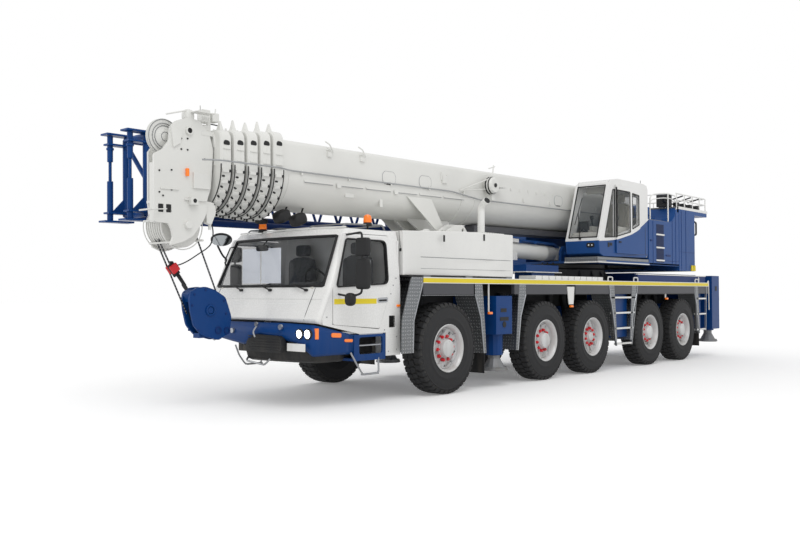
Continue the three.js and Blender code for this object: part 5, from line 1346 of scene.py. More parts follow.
step_back = shallow_right(merged(block((1.0, 1.24), (-1.9, -1.28), (0.935, 0.955)),
    block((0.98, 1.0), (-2.4, -1.28), (0.62, 0.955)),
    plate(rectangle((-1.9, -1.28), (0.63, 0.95), 0.02), [rectangle((-1.8, -1.34), (0.685, 0.915), 0.04)],
    (1.225, 1.252), "x"), block((1.0, 1.25), (-1.9, -1.28), (0.6, 0.635))))
make("cab_step_box", step_back, blue, bevel=0.006)
treads = shallow_right(merged(block((1.06, 1.235), (-1.78, -1.35), (0.795, 0.812)),
    block((1.06, 1.245), (-1.79, -1.34), (0.66, 0.68)), block((1.24, 1.25), (-1.8, -1.33), (0.945, 0.965))))
make("cab_step_treads", treads, bright, bevel=0.003)
# A black sheet over the step box's inner wall paints the shade at the back of each step.
make("cab_step_recess_shade", shallow_right(block((1.0, 1.02), (-1.85, -1.3), (0.64, 0.93))), black)
valance = bumper_rows([(0.6, -2.6, 0.14), (0.63, -2.68, 0.1), (0.8, -2.735, 0.06), (0.98, -2.75, 0.05)],
    back=-2.0)
cut = np.interp(valance[0, :, 0], [-1.2, -0.05, 0.1], [0.9, 0.86, 0.0])
for row, rise in enumerate((0.0, 0.01, 0.02, 0.03)):
    valance[row, :, 2] = np.maximum(valance[row, :, 2], cut + rise)
thickened(make("front_valance", kept(valance), black, normals=False, sharp=40), 0.02)


def at_bumper(x, z, out=0.0):
    """y = -2.785 + 0.14 c^2 - out, the bumper's plan line, with c = x / 1.19."""
    c = np.clip(x / 1.19, -1, 1)
    return arr([x, -2.785 + 0.14 * c ** 2 - out, z])


lamps, bezels, ambers = [], [], []
for x, r in ((1.16, 0.058), (1.035, 0.055)):
    lamps.append(turned([(0, -0.012), (r * 0.6, -0.01), (r, 0.0), (r, 0.03), (0, 0.03)],
        at_bumper(x, 0.985, 0.004), "y", 32))
    bezels.append(turned([(r - 0.002, -0.006), (r + 0.008, -0.01), (r + 0.016, 0.002), (r + 0.012, 0.035),
        (r - 0.002, 0.035)], at_bumper(x, 0.985, 0.004), "y", 32))
make("headlamps", both(merged(*lamps)), headlight)
make("headlamp_bezels", both(merged(*bezels)), black)
ambers = merged(block((1.226, 1.256), (-2.6, -2.54), (0.92, 1.06)),
    prism(rounded([(-2.32, 0.935), (-2.14, 0.925), (-2.14, 0.985), (-2.32, 0.995)], 0.03), (1.24, 1.262),
    "x"), prism(rounded([(-2.08, 0.865), (-1.93, 0.858), (-1.93, 0.9), (-2.08, 0.905)], 0.02), (1.24, 1.262),
    "x"))
make("front_indicators", both(ambers), lamp_orange, bevel=0.006)
grille = merged(prism(rounded([(0.1, 0.735), (0.78, 0.735), (0.84, 0.8), (0.78, 0.955), (0.3, 0.965),
    (0.1, 0.88)], 0.04), (-2.795, -2.7), "y"), *[block((0.14, 0.78), (-2.803, -2.79), (z, z + 0.012))
    for z in np.arange(0.76, 0.94, 0.035)])
make("bumper_grille", grille, black, bevel=0.006)
make("front_plate", block((0.86, 1.2), (-2.735, -2.72), (0.765, 0.865)), white, bevel=0.004)
fog = both(turned([(0, -0.006), (0.035, 0.0), (0.04, 0.02), (0, 0.02)], at_bumper(0.7, 0.88, 0.01), "y", 24))
make("fog_lamps", fog, bright)
loops = [both(tube(bent([(1.235, -1.95, 0.72), (1.262, -1.86, 0.56), (1.262, -1.74, 0.415),
    (1.262, -1.43, 0.415), (1.235, -1.41, 0.66)], 0.04), 0.013, 8)),
    tube(bent([(0.0, -2.66, 0.66), (0.03, -2.74, 0.6), (0.42, -2.74, 0.56), (0.46, -2.68, 0.64)], 0.04),
    0.013, 8), both(block((1.22, 1.27), (-1.74, -1.43), (0.402, 0.424)))]
make("step_loops", merged(*loops), bright)
make("front_chain_eye", merged(tube(flowing([(0.33, -2.8, 1.08), (0.31, -2.84, 1.0), (0.33, -2.83, 0.93)], 6),
    0.012, 8), disc(0.03, (-0.01, 0.01), (0.33, -2.81, 1.1), "y", 16),
    disc(0.035, (-0.02, 0.01), (-0.2, -2.79, 1.0), "y", 16),
    disc(0.035, (-0.02, 0.01), (0.75, -2.745, 1.07), "y", 16)), bright)
print("cab:", len(made), "pieces so far")

# %% [markdown]
# ## Engine housing
# The engine stands between two flat-sided boxes under the boom. They are sheet metal with one pressed line
# and rubber feet, so a chamfered plan carried upwards, cut to the side outline, is enough.

# %% Housing
HOUSE = arr([(-0.93, 1.766), (1.695, 1.766), (1.695, 2.46), (0.3, 2.447), (-0.93, 2.402)])
outer = prism(HOUSE, (0.44, 1.374), "x")
ahead = (outer.points[:, 1] < -0.9) & (outer.points[:, 0] > 1.3)
outer = Shape(outer.points + np.outer(ahead, (-0.1, 0.0, 0.0)), outer.faces)
trough = merged(block((-0.445, 0.445), (-0.9, 1.695), (2.0, 2.055)),
    block((-0.445, 0.445), (1.66, 1.695), (1.74, 2.05)), block((-0.445, 0.445), (-0.93, -0.9), (1.77, 2.05)))
make("engine_housing_boxes", merged(both(outer), trough), white, bevel=0.014,
    replaces="engine_housing", segments=3)
# Thin grey tubes paint the shade in the housing's pressed lines.
line = both(merged(tube([(1.372, -0.66, 2.03), (1.372, 1.62, 2.035)], 0.005, 6),
    tube([(1.372, -0.66, 1.865), (1.372, 1.62, 1.87)], 0.0025, 6)))
make("housing_press_line_shades", line, grey_cast_and_shade_lines)
latches = both(merged(*[block((1.372, 1.384), (y - 0.018, y + 0.018), (z, z + 0.1))
    for y, z in ((-0.13, 2.27), (0.88, 2.33))]))
make("housing_latches", latches, black, bevel=0.004)
# A black strip in the gap between the boxes and the deck is painted shade; the feet stand in it.
gap_shade = both(block((0.5, 1.352), (-0.9, 1.69), (1.742, 1.767)))
feet = both(merged(*[block((1.34, 1.374), (y, y + 0.16), (1.742, 1.767)) for y in (-0.6, 0.42, 1.5)]))
make("housing_gap_shade", gap_shade, black)
make("housing_feet", feet, grey_cast_and_shade_lines)
tray = both(merged(*[block((0.55, 1.25), (y, y + 0.035), (2.466, 2.482)) for y in np.arange(0.95, 1.6, 0.07)],
                   block((0.5, 0.95), (0.2, 0.75), (2.45, 2.475))))
make("housing_top_ribs", tray, white, bevel=0.003)
stack = tube(bent([(0.98, 1.345, 2.44), (0.98, 1.345, 2.93), (1.135, 1.3, 3.02)], 0.1, 8), 0.06, 24)
make("exhaust_stack", stack, white)
mouth = tube([(1.134, 1.3003, 3.0194), (1.139, 1.2989, 3.0223)], 0.053, 24)
make("exhaust_mouth", mouth, black)


def eye_lever(y, z, size):
    """A rest plate with round eyes: a fan outline with two holes."""
    fan = rounded([(-0.3, 0.0), (-0.28, 0.1), (-0.05, 0.2), (0.15, 0.21), (0.3, 0.05), (0.32, 0.0)], 0.06)
    fan = arr(fan) * size + (y, z)
    return plate(fan, [circle((y - 0.2 * size, z + 0.07 * size), 0.025 * size, 14),
        circle((y + 0.14 * size, z + 0.12 * size), 0.035 * size, 14)], (0.52, 0.55), "x")


tall_rest = eye_lever(1.06, 2.44, 1.0)
rests = merged(eye_lever(0.44, 2.43, 0.52), tall_rest,
    Shape(tall_rest.points + (0.12, 0.06, -0.01), tall_rest.faces))
make("boom_rest_plates", both(rests), white, bevel=0.006)
print("housing:", len(made), "pieces so far")

# %% [markdown]
# ## The boom
# A telescopic boom is bent from two plates: a shallow box above and a half-ellipse below, which keeps the
# thin steel from buckling. Each of its six sections is that one outline with smaller numbers, so a function
# of the section's index gives all of them, and another index gives the thick collar at each mouth.

# %% Sections and collars
CREASE = 0.22


def boom_outline(half, top, bottom, corner=0.075, steps=28):
    """Belly: x = w cos a, z = crease + (crease - bottom) sin a for a from 0 to -180 degrees. Then straight
    sides, and two rounded upper corners. The outline runs clockwise from the left crease."""
    a = np.linspace(0, -np.pi, steps)
    belly = np.stack([half * np.cos(a), CREASE + (CREASE - bottom) * np.sin(a)], 1)
    b = np.linspace(np.pi, np.pi / 2, 6)
    left = np.stack([-half + corner + corner * np.cos(b), top - corner + corner * np.sin(b)], 1)
    return np.vstack([belly, left, left[::-1] * (-1, 1)])


def section(k):
    """Half width, top, bottom, mouth and rear end of section k, each a straight line in k."""
    return (0.47 - 0.038 * k, 0.69 - 0.038 * k, -0.25 + 0.038 * k, -10.85 - 0.2 * k,
        -0.45 if k == 0 else -0.7 - 0.06 * k)


def collar_size(k):
    """Half width, top and bottom of the collar at section k's mouth."""
    return 0.56 - 0.02 * k, 0.765 - 0.018 * k, -0.39 + 0.012 * k


def along_y(outline, ys):
    """An (x, z) outline carried along the boom to each y."""
    return loft(np.stack([np.insert(outline, 1, y, axis=1) for y in ys]))


def belly_ring(k, y, grow, radius):
    """A thin rod round a collar's belly, grow metres outside its half ellipse."""
    half, top, bottom = collar_size(k)
    a = np.linspace(0.05, -np.pi - 0.05, 40)
    path = np.stack([(half + grow) * np.cos(a), np.full(40, y),
        CREASE + (CREASE - bottom + grow) * np.sin(a)], 1)
    return tube(path, radius, 6, up=(0, 1, 0))


NAMES = ["boom_base"] + [f"boom_section_{k}" for k in range(1, 6)]
for k, name in enumerate(NAMES):
    half, top, bottom, mouth, rear = section(k)
    tube_shape = along_y(boom_outline(half, top, bottom), [mouth, mouth + 0.2, rear])
    make(f"{name}_tube", tube_shape, boom_white, name, sharp=24, replaces=name)
    if k == 5:
        continue
    ch, ct, cb = collar_size(k)
    outline = boom_outline(ch, ct, cb, 0.12, 40)
    inner = boom_outline(ch - 0.022, ct - 0.022, cb + 0.022, 0.105, 40)
    lip = loft(np.stack([np.insert(o, 1, y, axis=1) for o, y in ((inner, mouth), (outline, mouth + 0.018),
        (outline, mouth + 0.15), (inner, mouth + 0.17))]))
    seams = tube([(ch - 0.001, mouth + 0.085, z) for z in (CREASE + 0.02, ct - 0.16)], 0.004, 6)
    ridge = merged(*[block((ch - 0.004, ch + 0.014), (mouth + 0.03, mouth + 0.14), (z, z + 0.012))
        for z in (0.3, 0.44)])
    ears = merged(*[loft(np.stack([rectangle((x - w, x + w),
        (mouth + 0.085 - d, mouth + 0.085 + d)) @ np.eye(2, 3) + (0, 0, ct + h)
        for w, d, h in ((0.045, 0.035, -0.02), (0.026, 0.022, 0.05),
        (0.008, 0.008, 0.12 + 0.02 * (k % 2)))])) for x in (0.34, -0.34)])
    make(f"{name}_collar", merged(lip, both(merged(seams, ridge)), ears), boom_white, name, sharp=30)
    # Black rings at the collar's two edges are painted shadow lines, and the black patch on each side paints
    # the shade in an opening.
    shadow = merged(belly_ring(k, mouth + 0.004, -0.006, 0.007), belly_ring(k, mouth + 0.168, -0.01, 0.007))
    a = -np.linspace(0.1, np.pi - 0.1, 25)
    spots = np.stack([ch * np.cos(a), np.full(25, mouth + 0.085), CREASE + (CREASE - cb) * np.sin(a)], 1)
    normal = np.stack([np.cos(a) / ch, a * 0, np.sin(a) / (CREASE - cb)], 1)
    normal /= np.linalg.norm(normal, axis=1, keepdims=True)
    dots, lugs = [], []
    for i, (p, n) in enumerate(zip(spots, normal)):
        side_way = np.cross(n, (0, 1, 0))
        frame_up = np.stack([side_way, arr((0, 1, 0)), n])
        stud = disc(0.013 if i % 2 else 0.018, (0, 0.034), (0, 0, 0), "z", 8)
        dots.append(Shape(stud.points @ frame_up + p + arr((0, -0.055 if i % 2 else 0.04, 0)), stud.faces))
        if i % 2 == 0:
            lug_box = block((-0.022, 0.022), (-0.075, 0.02), (-0.006, 0.03))
            lugs.append(Shape(lug_box.points @ frame_up + p, lug_box.faces))
    opening = both(prism(rounded([(mouth + 0.03, ct - 0.2), (mouth + 0.14, ct - 0.2),
        (mouth + 0.13, ct - 0.145), (mouth + 0.05, ct - 0.135)], 0.03), (ch - 0.01, ch + 0.003), "x"))
    make(f"{name}_collar_bolts_and_shadows", merged(shadow, *dots, opening), black, name)
    make(f"{name}_collar_lugs", merged(*lugs), boom_white, name, bevel=0.004)
print("boom sections:", len(made), "pieces so far")

# %% Fittings on the base section
def boom_side(y0, y1, z0, z1, out=0.008, base=0.468):
    """A thin plate on the boom's flat side."""
    return block((base, base + out), (y0, y1), (z0, z1))


crease_pipe = tube(bent([(0.53, -11.97, 0.26), (0.585, -11.75, 0.27), (0.585, -10.75, 0.27),
    (0.495, -10.55, 0.265), (0.495, -6.95, 0.25), (0.5, -6.15, 0.16), (0.495, -1.6, 0.15)], 0.1), 0.0105, 8)
clips = [boom_side(y - 0.015, y + 0.015, 0.22, 0.285, 0.03) for y in np.arange(-10.3, -2, 0.92)]
rail = [boom_side(y, y + 0.56, 0.135, 0.162, 0.012) for y in np.arange(-10.25, -7.0, 0.62)]
rail += [boom_side(y, y + 0.08, 0.1, 0.165, 0.02) for y in (-9.62, -8.38)]
top_line = [tube([(0.3, -10.6, 0.7), (0.3, -1.0, 0.7)], 0.008, 6)]
stripe_tabs = [boom_side(y, y + 0.035, 0.4, 0.45, 0.012) for y in np.arange(-5.2, -3.75, 0.29)]
oct_plates = []
for y, z in ((-8.5, 0.34), (-7.63, 0.35), (-3.52, 0.32)):
    oct_plates.append(prism(rounded([(y - 0.15, z - 0.05), (y - 0.1, z - 0.1), (y + 0.1, z - 0.1),
        (y + 0.15, z - 0.05), (y + 0.15, z + 0.05), (y + 0.1, z + 0.1), (y - 0.1, z + 0.1),
        (y - 0.15, z + 0.05)], 0.03), (0.465, 0.476), "x"))
fold = []
for y in (-9.84, -9.17):
    fold += [tube([(0.47, y, 0.745), (0.51, y + 0.05, 0.7), (0.51, y + 0.125, 0.6), (0.47, y + 0.1, 0.56)],
        0.011, 6), tube([(0.475, y + 0.02, 0.62), (0.51, y + 0.09, 0.665)], 0.01, 6),
        boom_side(y + 0.03, y + 0.11, 0.53, 0.6, 0.03)]
eye = [boom_side(-7.2, -7.08, 0.37, 0.5, 0.03), boom_side(-7.23, -7.2, 0.42, 0.55, 0.02),
    boom_side(-7.08, -7.05, 0.42, 0.52, 0.02)]
bands = []
for y in (-10.52, -6.65, -6.28):
    a = np.linspace(0, -np.pi, 40)
    path = np.stack([0.4705 * np.cos(a), np.full(40, y), CREASE + 0.4705 * np.sin(a)], 1)
    bands.append(tube(path, 0.009 if y > -10 else 0.006, 6, up=(0, 1, 0)))
tilted_plates = [moved(block((0.0, 0.02), (-0.09, 0.09), (-0.035, 0.035)), (0.415, -9.32, 0.02)),
    moved(block((0.0, 0.02), (-0.03, 0.03), (-0.09, 0.09)), (0.4, -8.62, -0.02))]
fittings = merged(*clips, *rail, *top_line, *stripe_tabs, *oct_plates, *fold, *eye, *tilted_plates)
make("boom_side_fittings", both(fittings), boom_white, "boom_base", bevel=0.002)
# Painted shade: grey lines round the octagonal plates and under the rail, and the white pipe drawn grey for
# its shaded lower side.
plate_edge_shades = [tube([(0.474, y + dy, z + dz) for dy, dz in rounded([(-0.15, -0.05), (-0.1, -0.1), (0.1, -0.1),
    (0.15, -0.05), (0.15, 0.05), (0.1, 0.1), (-0.1, 0.1), (-0.15, 0.05)], 0.03, 3)], 0.004, 6, up=(1, 0, 0),
    closed=True) for y, z in ((-8.5, 0.34), (-7.63, 0.35), (-3.52, 0.32))]
under_rail_shadows = [tube([(0.474, y + 0.01, 0.131), (0.474, y + 0.55, 0.131)], 0.005, 6)
    for y in np.arange(-10.25, -7.0, 0.62)]
make("boom_side_shade_lines", both(merged(crease_pipe, *plate_edge_shades, *under_rail_shadows)), shade_line_grey, "boom_base")
make("boom_bands", merged(*bands), boom_white, "boom_base")
# Black strips along the lower edge of the three octagonal plates are painted shadows.
make("boom_plate_shadows", both(merged(boom_side(-8.56, -8.42, 0.235, 0.25, 0.012),
    boom_side(-7.7, -7.57, 0.245, 0.26, 0.012), boom_side(-3.6, -3.46, 0.215, 0.23, 0.012))), black,
    "boom_base")
pin_y, pin_z = -6.863, -0.59
bracket = merged(*[prism([(-8.1, 0.0), (-6.6, 0.0), (-6.62, -0.3), (pin_y + 0.17, pin_z + 0.02),
    (pin_y + 0.11, pin_z - 0.12), (pin_y - 0.04, pin_z - 0.15), (pin_y - 0.16, pin_z - 0.06)], (a, a + 0.045),
    "x") for a in (0.112,)])
wedge = prism([(-8.08, 0.09), (-7.47, 0.09), (-7.12, -0.42), (-7.25, -0.5)], (0.452, 0.472), "x")
lug = plate([(-0.64, -0.19), (-0.2, -0.19), (0.13, -0.12), (0.19, 0.0), (0.13, 0.14), (-0.2, 0.42),
    (-0.64, 0.6)], [circle((0, 0), 0.09, 24)], (0.385, 0.462), "x")
make("boom_belly_tray", block((-0.24, 0.24), (-6.0, -1.3), (-0.37, -0.26)), band_grey, "boom_base",
    bevel=0.01)
make("boom_brackets", both(merged(bracket, wedge, lug)), boom_white, "boom_base", bevel=0.008)
make("luff_bracket_pin", disc(0.058, (-0.165, 0.165), (0, pin_y, pin_z), "x", 24, 0.006), chrome, "boom_base")
flood = []
for y, z in ((-10.44, -0.34), (-10.14, -0.37)):
    flood += [turn(cushion((0.22, y, z), (0.1, 0.12, 0.085), 0.6), 0.4, (0.22, y, z)),
        tube([(0.2, y + 0.05, z), (0.2, y + 0.12, -0.17)], 0.014, 6)]
make("boom_floodlights", merged(*flood, cushion((0.05, -10.66, -0.41), (0.06, 0.09, 0.04), 0.6),
    tube([(0.05, -10.66, -0.3), (0.05, -10.66, -0.4)], 0.02, 6)), black, "boom_base", sharp=60)
reel_body = turned([(0, 0.0), (0.13, 0.0), (0.145, 0.02), (0.145, 0.12), (0.12, 0.15), (0, 0.15)],
    (0.52, -5.95, 0.42), "x", 32)
make("cable_reel_body", reel_body, boom_white, "boom_base")
reel_face = merged(turned([(0, 0.1505), (0.035, 0.1505), (0.035, 0.165), (0, 0.165)], (0.52, -5.95, 0.42),
    "x", 32), turned([(0.13, 0.09), (0.152, 0.09), (0.152, 0.11), (0.13, 0.11)], (0.52, -5.95, 0.42), "x",
    32), turned([(0.125, 0.03), (0.155, 0.03), (0.155, 0.055), (0.125, 0.055)], (0.52, -5.95, 0.42), "x", 32))
make("cable_reel_face", reel_face, black, "boom_base")
arms = merged(tube([(0.5, -6.75, 0.28), (0.58, -6.0, 0.54), (0.6, -5.92, 0.66), (0.6, -5.9, 0.78)], 0.011, 6),
    tube([(0.5, -6.75, 0.28), (0.56, -6.0, 0.36)], 0.009, 6),
    tube([(0.6, -6.05, 0.71), (0.6, -5.86, 0.76)], 0.009, 6),
    block((0.47, 0.66), (-5.8, -5.58), (0.4, 0.415)), block((0.47, 0.6), (-5.96, -5.86), (0.16, 0.3)))
make("cable_reel_arms", arms, boom_white, "boom_base")
print("fittings on the base section:", len(made), "pieces so far")

# %% [markdown]
# ## The boom head
# The innermost section ends in a head with one large flat cheek, a pack of sheaves at its foot and a single
# guide sheave at the top. Turned profiles make the sheaves, and one flat outline with holes makes each
# cheek.

# %% Head
CHEEK = arr([(-12.52, -0.52), (-12.52, 0.3), (-12.4, 0.36), (-12.31, 0.48), (-12.3, 0.64), (-12.22, 0.73),
    (-12.02, 0.8), (-11.86, 0.77), (-11.72, 0.62), (-11.665, 0.43), (-11.7, -0.05), (-11.76, -0.22),
    (-11.775, -0.4), (-11.83, -0.5), (-11.965, -0.67), (-12.1, -0.745), (-12.3, -0.8), (-12.255, -0.69),
    (-12.285, -0.59), (-12.32, -0.53)])
windows = [rectangle((a, a + 0.075), (-0.4, -0.3), 0.012) for a in (-12.465, -12.355)]
cheek = plate(rounded(CHEEK, 0.03, 3), [*windows, circle((-11.95, -0.24), 0.022, 12)], (0.3, 0.335), "x")
inner_cheek = plate([(-11.85, -0.33), (-11.72, -0.6), (-11.86, -0.8), (-12.05, -0.86), (-12.2, -0.8),
    (-12.26, -0.25), (-12.26, 0.4), (-12.1, 0.62), (-11.85, 0.62)], [circle((-12.05, 0.1), 0.12, 24)],
    (-0.24, -0.205), "x")
wall = merged(block((-0.24, 0.3), (-11.92, -11.82), (-0.2, 0.6)),
    block((-0.24, 0.31), (-12.1, -11.8), (0.58, 0.62)), block((0.2, 0.302), (-12.5, -12.48), (-0.5, 0.2)),
    block((-0.22, 0.3), (-12.28, -11.8), (-0.25, -0.22)), block((0.2, 0.3), (-12.5, -12.2), (-0.52, -0.5)))
make("head_cheeks", merged(cheek, inner_cheek, wall), boom_white, "boom_section_5", bevel=0.005)
plates = merged(block((0.334, 0.362), (-11.975, -11.735), (-0.08, 0.12)),
    block((0.334, 0.36), (-12.1, -11.78), (-0.235, -0.215)),
    block((0.334, 0.4), (-12.04, -11.93), (-0.29, -0.19)),
    block((0.334, 0.352), (-12.44, -12.18), (-0.12, -0.105)),
    prism([(-12.3, 0.66), (-12.14, 0.6), (-12.16, 0.46), (-12.26, 0.4)], (0.334, 0.36), "x"),
    turned([(0.034, 0.33), (0.052, 0.33), (0.052, 0.365), (0.034, 0.365)], (0, -12.03, 0.63), "x", 24),
    block((0.32, 0.46), (-12.0, -11.72), (0.86, 0.87)),
    tube([(0.3, -12.33, 0.8), (0.3, -11.99, 0.9)], 0.01, 6),
    cushion((0.26, -11.99, 0.83), (0.07, 0.07, 0.08), 0.7),
    tube([(0.36, -12.36, -0.36), (0.4, -12.58, -0.38)], 0.008, 6),
    tube([(0.34, -12.5, -0.36), (-0.02, -12.5, -0.36)], 0.012, 6))
make("head_plates", plates, boom_white, "boom_section_5", bevel=0.003)
bolts = [disc(0.011, (0.333, 0.345), (0, y, z), "x", 10)
    for y, z in ((-12.14, 0.52), (-12.05, 0.53), (-12.14, 0.39), (-12.05, 0.39), (-12.45, 0.1),
    (-12.28, 0.12), (-12.45, -0.16), (-12.28, -0.12), (-12.4, -0.2), (-11.8, 0.3))]
# The black discs and blocks set into the cheek's holes and windows are painted shade.
holes = [disc(0.034, (0.33, 0.35), (0, -12.03, 0.63), "x", 20),
    disc(0.026, (0.39, 0.403), (0, -11.985, -0.24), "x", 16),
    *[block((0.31, 0.325), (a + 0.002, a + 0.073), (-0.398, -0.302)) for a in (-12.465, -12.355)]]
make("head_bolts_and_hole_shades", merged(*bolts, *holes), black, "boom_section_5")
make("head_lamp", block((0.334, 0.375), (-12.085, -12.045), (0.06, 0.16)), lamp_orange, "boom_section_5",
    bevel=0.01)


def sheave(x, y, z, radius, width=0.04, grooves=1):
    """Rims at +-w and a groove between them: the section of one sheave, repeated for a pack."""
    profile = [(0.05, x)]
    for g in range(grooves):
        a = x + g * width
        profile += [(radius, a + 0.004), (radius, a + 0.009), (radius - 0.035, a + width / 2 - 0.006),
            (radius - 0.035, a + width / 2 + 0.006), (radius, a + width - 0.009), (radius, a + width - 0.004)]
    profile += [(0.05, x + grooves * width)]
    return turned([(0, x)] + profile + [(0, x + grooves * width)], (0, y, z), "x", 56)


top_sheave = merged(sheave(0.14, -12.29, 0.54, 0.225, 0.055, 1),
    turned([(0, 0.2), (0.05, 0.2), (0.06, 0.19), (0.13, 0.192), (0.14, 0.2), (0.15, 0.192), (0.06, 0.22),
    (0, 0.235)], (0, -12.29, 0.54), "x", 40), ring_of(disc(0.008, (0.19, 0.205), (0, -12.29 + 0.1, 0.54), "x",
    8), 8, (0, -12.29, 0.54)))
low_pack = merged(sheave(-0.188, -12.04, -0.54, 0.275, 0.047, 8),
    disc(0.05, (-0.26, 0.38), (0, -12.05, -0.54), "x", 24, 0.006))
make("head_sheaves", merged(top_sheave, low_pack), boom_white, "boom_section_5")
a = np.radians(np.linspace(170, 385, 30))
guard_path = np.stack([np.full(30, 0.0), -12.04 + 0.298 * np.cos(a), -0.54 + 0.298 * np.sin(a)], 1)

fins = merged(*[tube(guard_path + (x, 0, 0), 0.008, 5, up=(1, 0, 0)) for x in (-0.2, 0.2)])
keeper = merged(*[tube([(-0.2, y, z), (0.3, y, z)], 0.014, 8)
    for y, z in ((-12.33, -0.48), (-12.25, -0.755), (-11.8, -0.72))])
socket = merged(prism(rounded([(-11.76, -0.22), (-11.62, -0.24), (-11.6, -0.36), (-11.67, -0.52),
    (-11.74, -0.5)], 0.02), (0.22, 0.3), "x"), tube([(0.26, -11.67, -0.5), (0.26, -11.67, -0.58)], 0.02, 8))
# Thin grey rings paint the shade in the sheaves' grooves.
groove_shade_rings = merged(*[tube(stand(circle((-12.29, 0.54), r, 48), x, "x"), 0.004, 6, up=(1, 0, 0), closed=True)
    for r, x in ((0.214, 0.197), (0.165, 0.2), (0.135, 0.203), (0.055, 0.222))],
    *[tube(stand(circle((-12.04, -0.54), 0.25, 48), -0.188 + 0.047 * (g + 0.5), "x"), 0.004, 6, up=(1, 0, 0),
    closed=True) for g in range(8)])
make("head_sheave_shade_lines", groove_shade_rings, grey_cast_and_shade_lines, "boom_section_5")
make("head_guards", merged(fins, keeper, socket), boom_white, "boom_section_5", bevel=0.002)
pod = merged(block((0.18, 0.3), (-11.8, -11.68), (0.78, 0.94)),
    block((0.2, 0.32), (-11.66, -11.56), (0.8, 0.91)), cushion((0.25, -11.74, 0.7), (0.06, 0.06, 0.05), 0.6),
    block((0.22, 0.34), (-11.84, -11.6), (0.6, 0.66)),
    tube([(0.28, -11.7, 0.9), (0.28, -11.7, 0.6)], 0.03, 8),
    tube([(0.34, -11.66, 0.62), (0.36, -11.62, 0.36), (0.33, -11.64, 0.24)], 0.022, 8),
    tube([(0.3, -11.62, 0.85), (0.3, -11.6, 0.97)], 0.008, 6),
    tube([(0.22, -11.78, 0.9), (0.22, -11.78, 1.0)], 0.008, 6),
    cushion((0.3, -11.62, 0.52), (0.045, 0.045, 0.06), 0.6))
make("head_sensor_pod", pod, boom_white, "boom_section_5", bevel=0.004)
pendant = tube([(0.2, -11.95, 0.8), (0.2, -11.44, 0.78)], 0.008, 6)
make("head_pendant_bar", pendant, steel, "boom_section_5")
print("boom:", len(made), "pieces so far")

# %% [markdown]
# ## Hook block, ropes and signal cable
# The block is two thick cheeks with its sheaves between them. The falls are wire rope, whose lay is drawn by
# the material from two marks stored on each point: the length along the rope and the angle round it. The
# switch weight on the dead fall has a slack cable, drawn through chosen points.

# %% Hook block
BLOCK = arr([(-11.848, -1.375), (-11.76, -1.318), (-11.62, -1.304), (-11.478, -1.345), (-11.307, -1.444),
    (-11.212, -1.7), (-11.24, -1.915), (-11.418, -2.005), (-11.676, -1.93), (-11.8, -1.8), (-11.85, -1.6),
    (-11.865, -1.47)])
BOSS = (-11.545, -1.611)
cheeks = both(prism(rounded(BLOCK, 0.03), (0.065, 0.095), "x"))
spacers = merged(block((-0.066, 0.066), (-11.7, -11.32), (-1.965, -1.9)),
    block((-0.066, 0.066), (-11.33, -11.24), (-1.8, -1.55)),
    prism([(-11.86, -1.4), (-11.8, -1.34), (-11.76, -1.4), (-11.82, -1.5)], (-0.066, 0.066), "x"))
rim = both(tube([(0.094, y, z) for y, z in rounded(BLOCK, 0.03, 3) * 0.985 + arr((-11.53, -1.66)) * 0.015],
    0.006, 6, up=(1, 0, 0), closed=True))
boss_ring = both(turned([(0.05, 0.093), (0.074, 0.093), (0.074, 0.112), (0.058, 0.116), (0.05, 0.112)],
    (0, *BOSS), "x", 32))
boss_face = both(disc(0.046, (0.093, 0.106), (0, *BOSS), "x", 24, 0.006))
make("hook_block_cheeks", merged(cheeks, spacers, rim, boss_ring, boss_face), blue, "hook_block", bevel=0.004,
    replaces="hook_block", segments=3)
studs = [disc(0.016, (0.09, 0.105), (0, y, z), "x", 12, 0.003)
    for y, z in ((-11.62, -1.345), (-11.79, -1.4), (-11.825, -1.54), (-11.74, -1.86), (-11.33, -1.49),
    (-11.3, -1.66))]
big = [turned([(0.03, 0.09), (0.05, 0.09), (0.05, 0.106), (0.03, 0.106)], (0, y, z), "x", 20)
    for y, z in ((-11.425, -1.875), (-11.285, -1.885))]
inside = merged(sheave(-0.055, *BOSS, 0.235, 0.055, 2), disc(0.04, (-0.09, 0.09), (0, *BOSS), "x", 16))
make("hook_block_studs", both(merged(*studs, *big)), deep_blue, "hook_block")
make("hook_block_sheaves", inside, black, "hook_block")


def rope(name, path, radius, body, replaces=()):
    """A wire rope's tube with its along mark (running length) and its round mark (angle over the section)."""
    path = arr(path)
    run = np.concatenate([[0], np.cumsum(np.linalg.norm(np.diff(path, axis=0), axis=1))])
    shape = tube(path, radius, 10)
    marks = {"along": np.repeat(run, 10), "round": np.tile(np.arange(10) / 10, len(path))}
    return make(name, shape, rope_steel, body, replaces=replaces, normals=False, sharp=80, marks=marks)


def straight(a, b, count=24):
    return arr(a) + np.linspace(0, 1, count)[:, None] * (arr(b) - arr(a))


rope("front_fall_right", straight((-0.06, -12.254, -0.7), (-0.06, -11.8, -1.65)), 0.011, "hook_block")
rope("front_fall_left", straight((0.03, -12.27, -0.71), (0.0, -12.06, -1.07)), 0.011, "hook_block")
rope("back_fall", straight((0.06, -11.78, -0.55), (0.06, -11.42, -1.4)), 0.011, "hook_block")
way = arr((-11.835, -1.345)) - arr((-12.06, -1.05))
way = way / np.linalg.norm(way)
lean = math.atan2(way[1], way[0])


def on_fall(shape, along):
    """A piece drawn round the dead fall: its own y runs down the rope."""
    base = arr((0, -12.06, -1.05)) + along * arr((0, *way))
    return moved(turn(shape, lean), base)


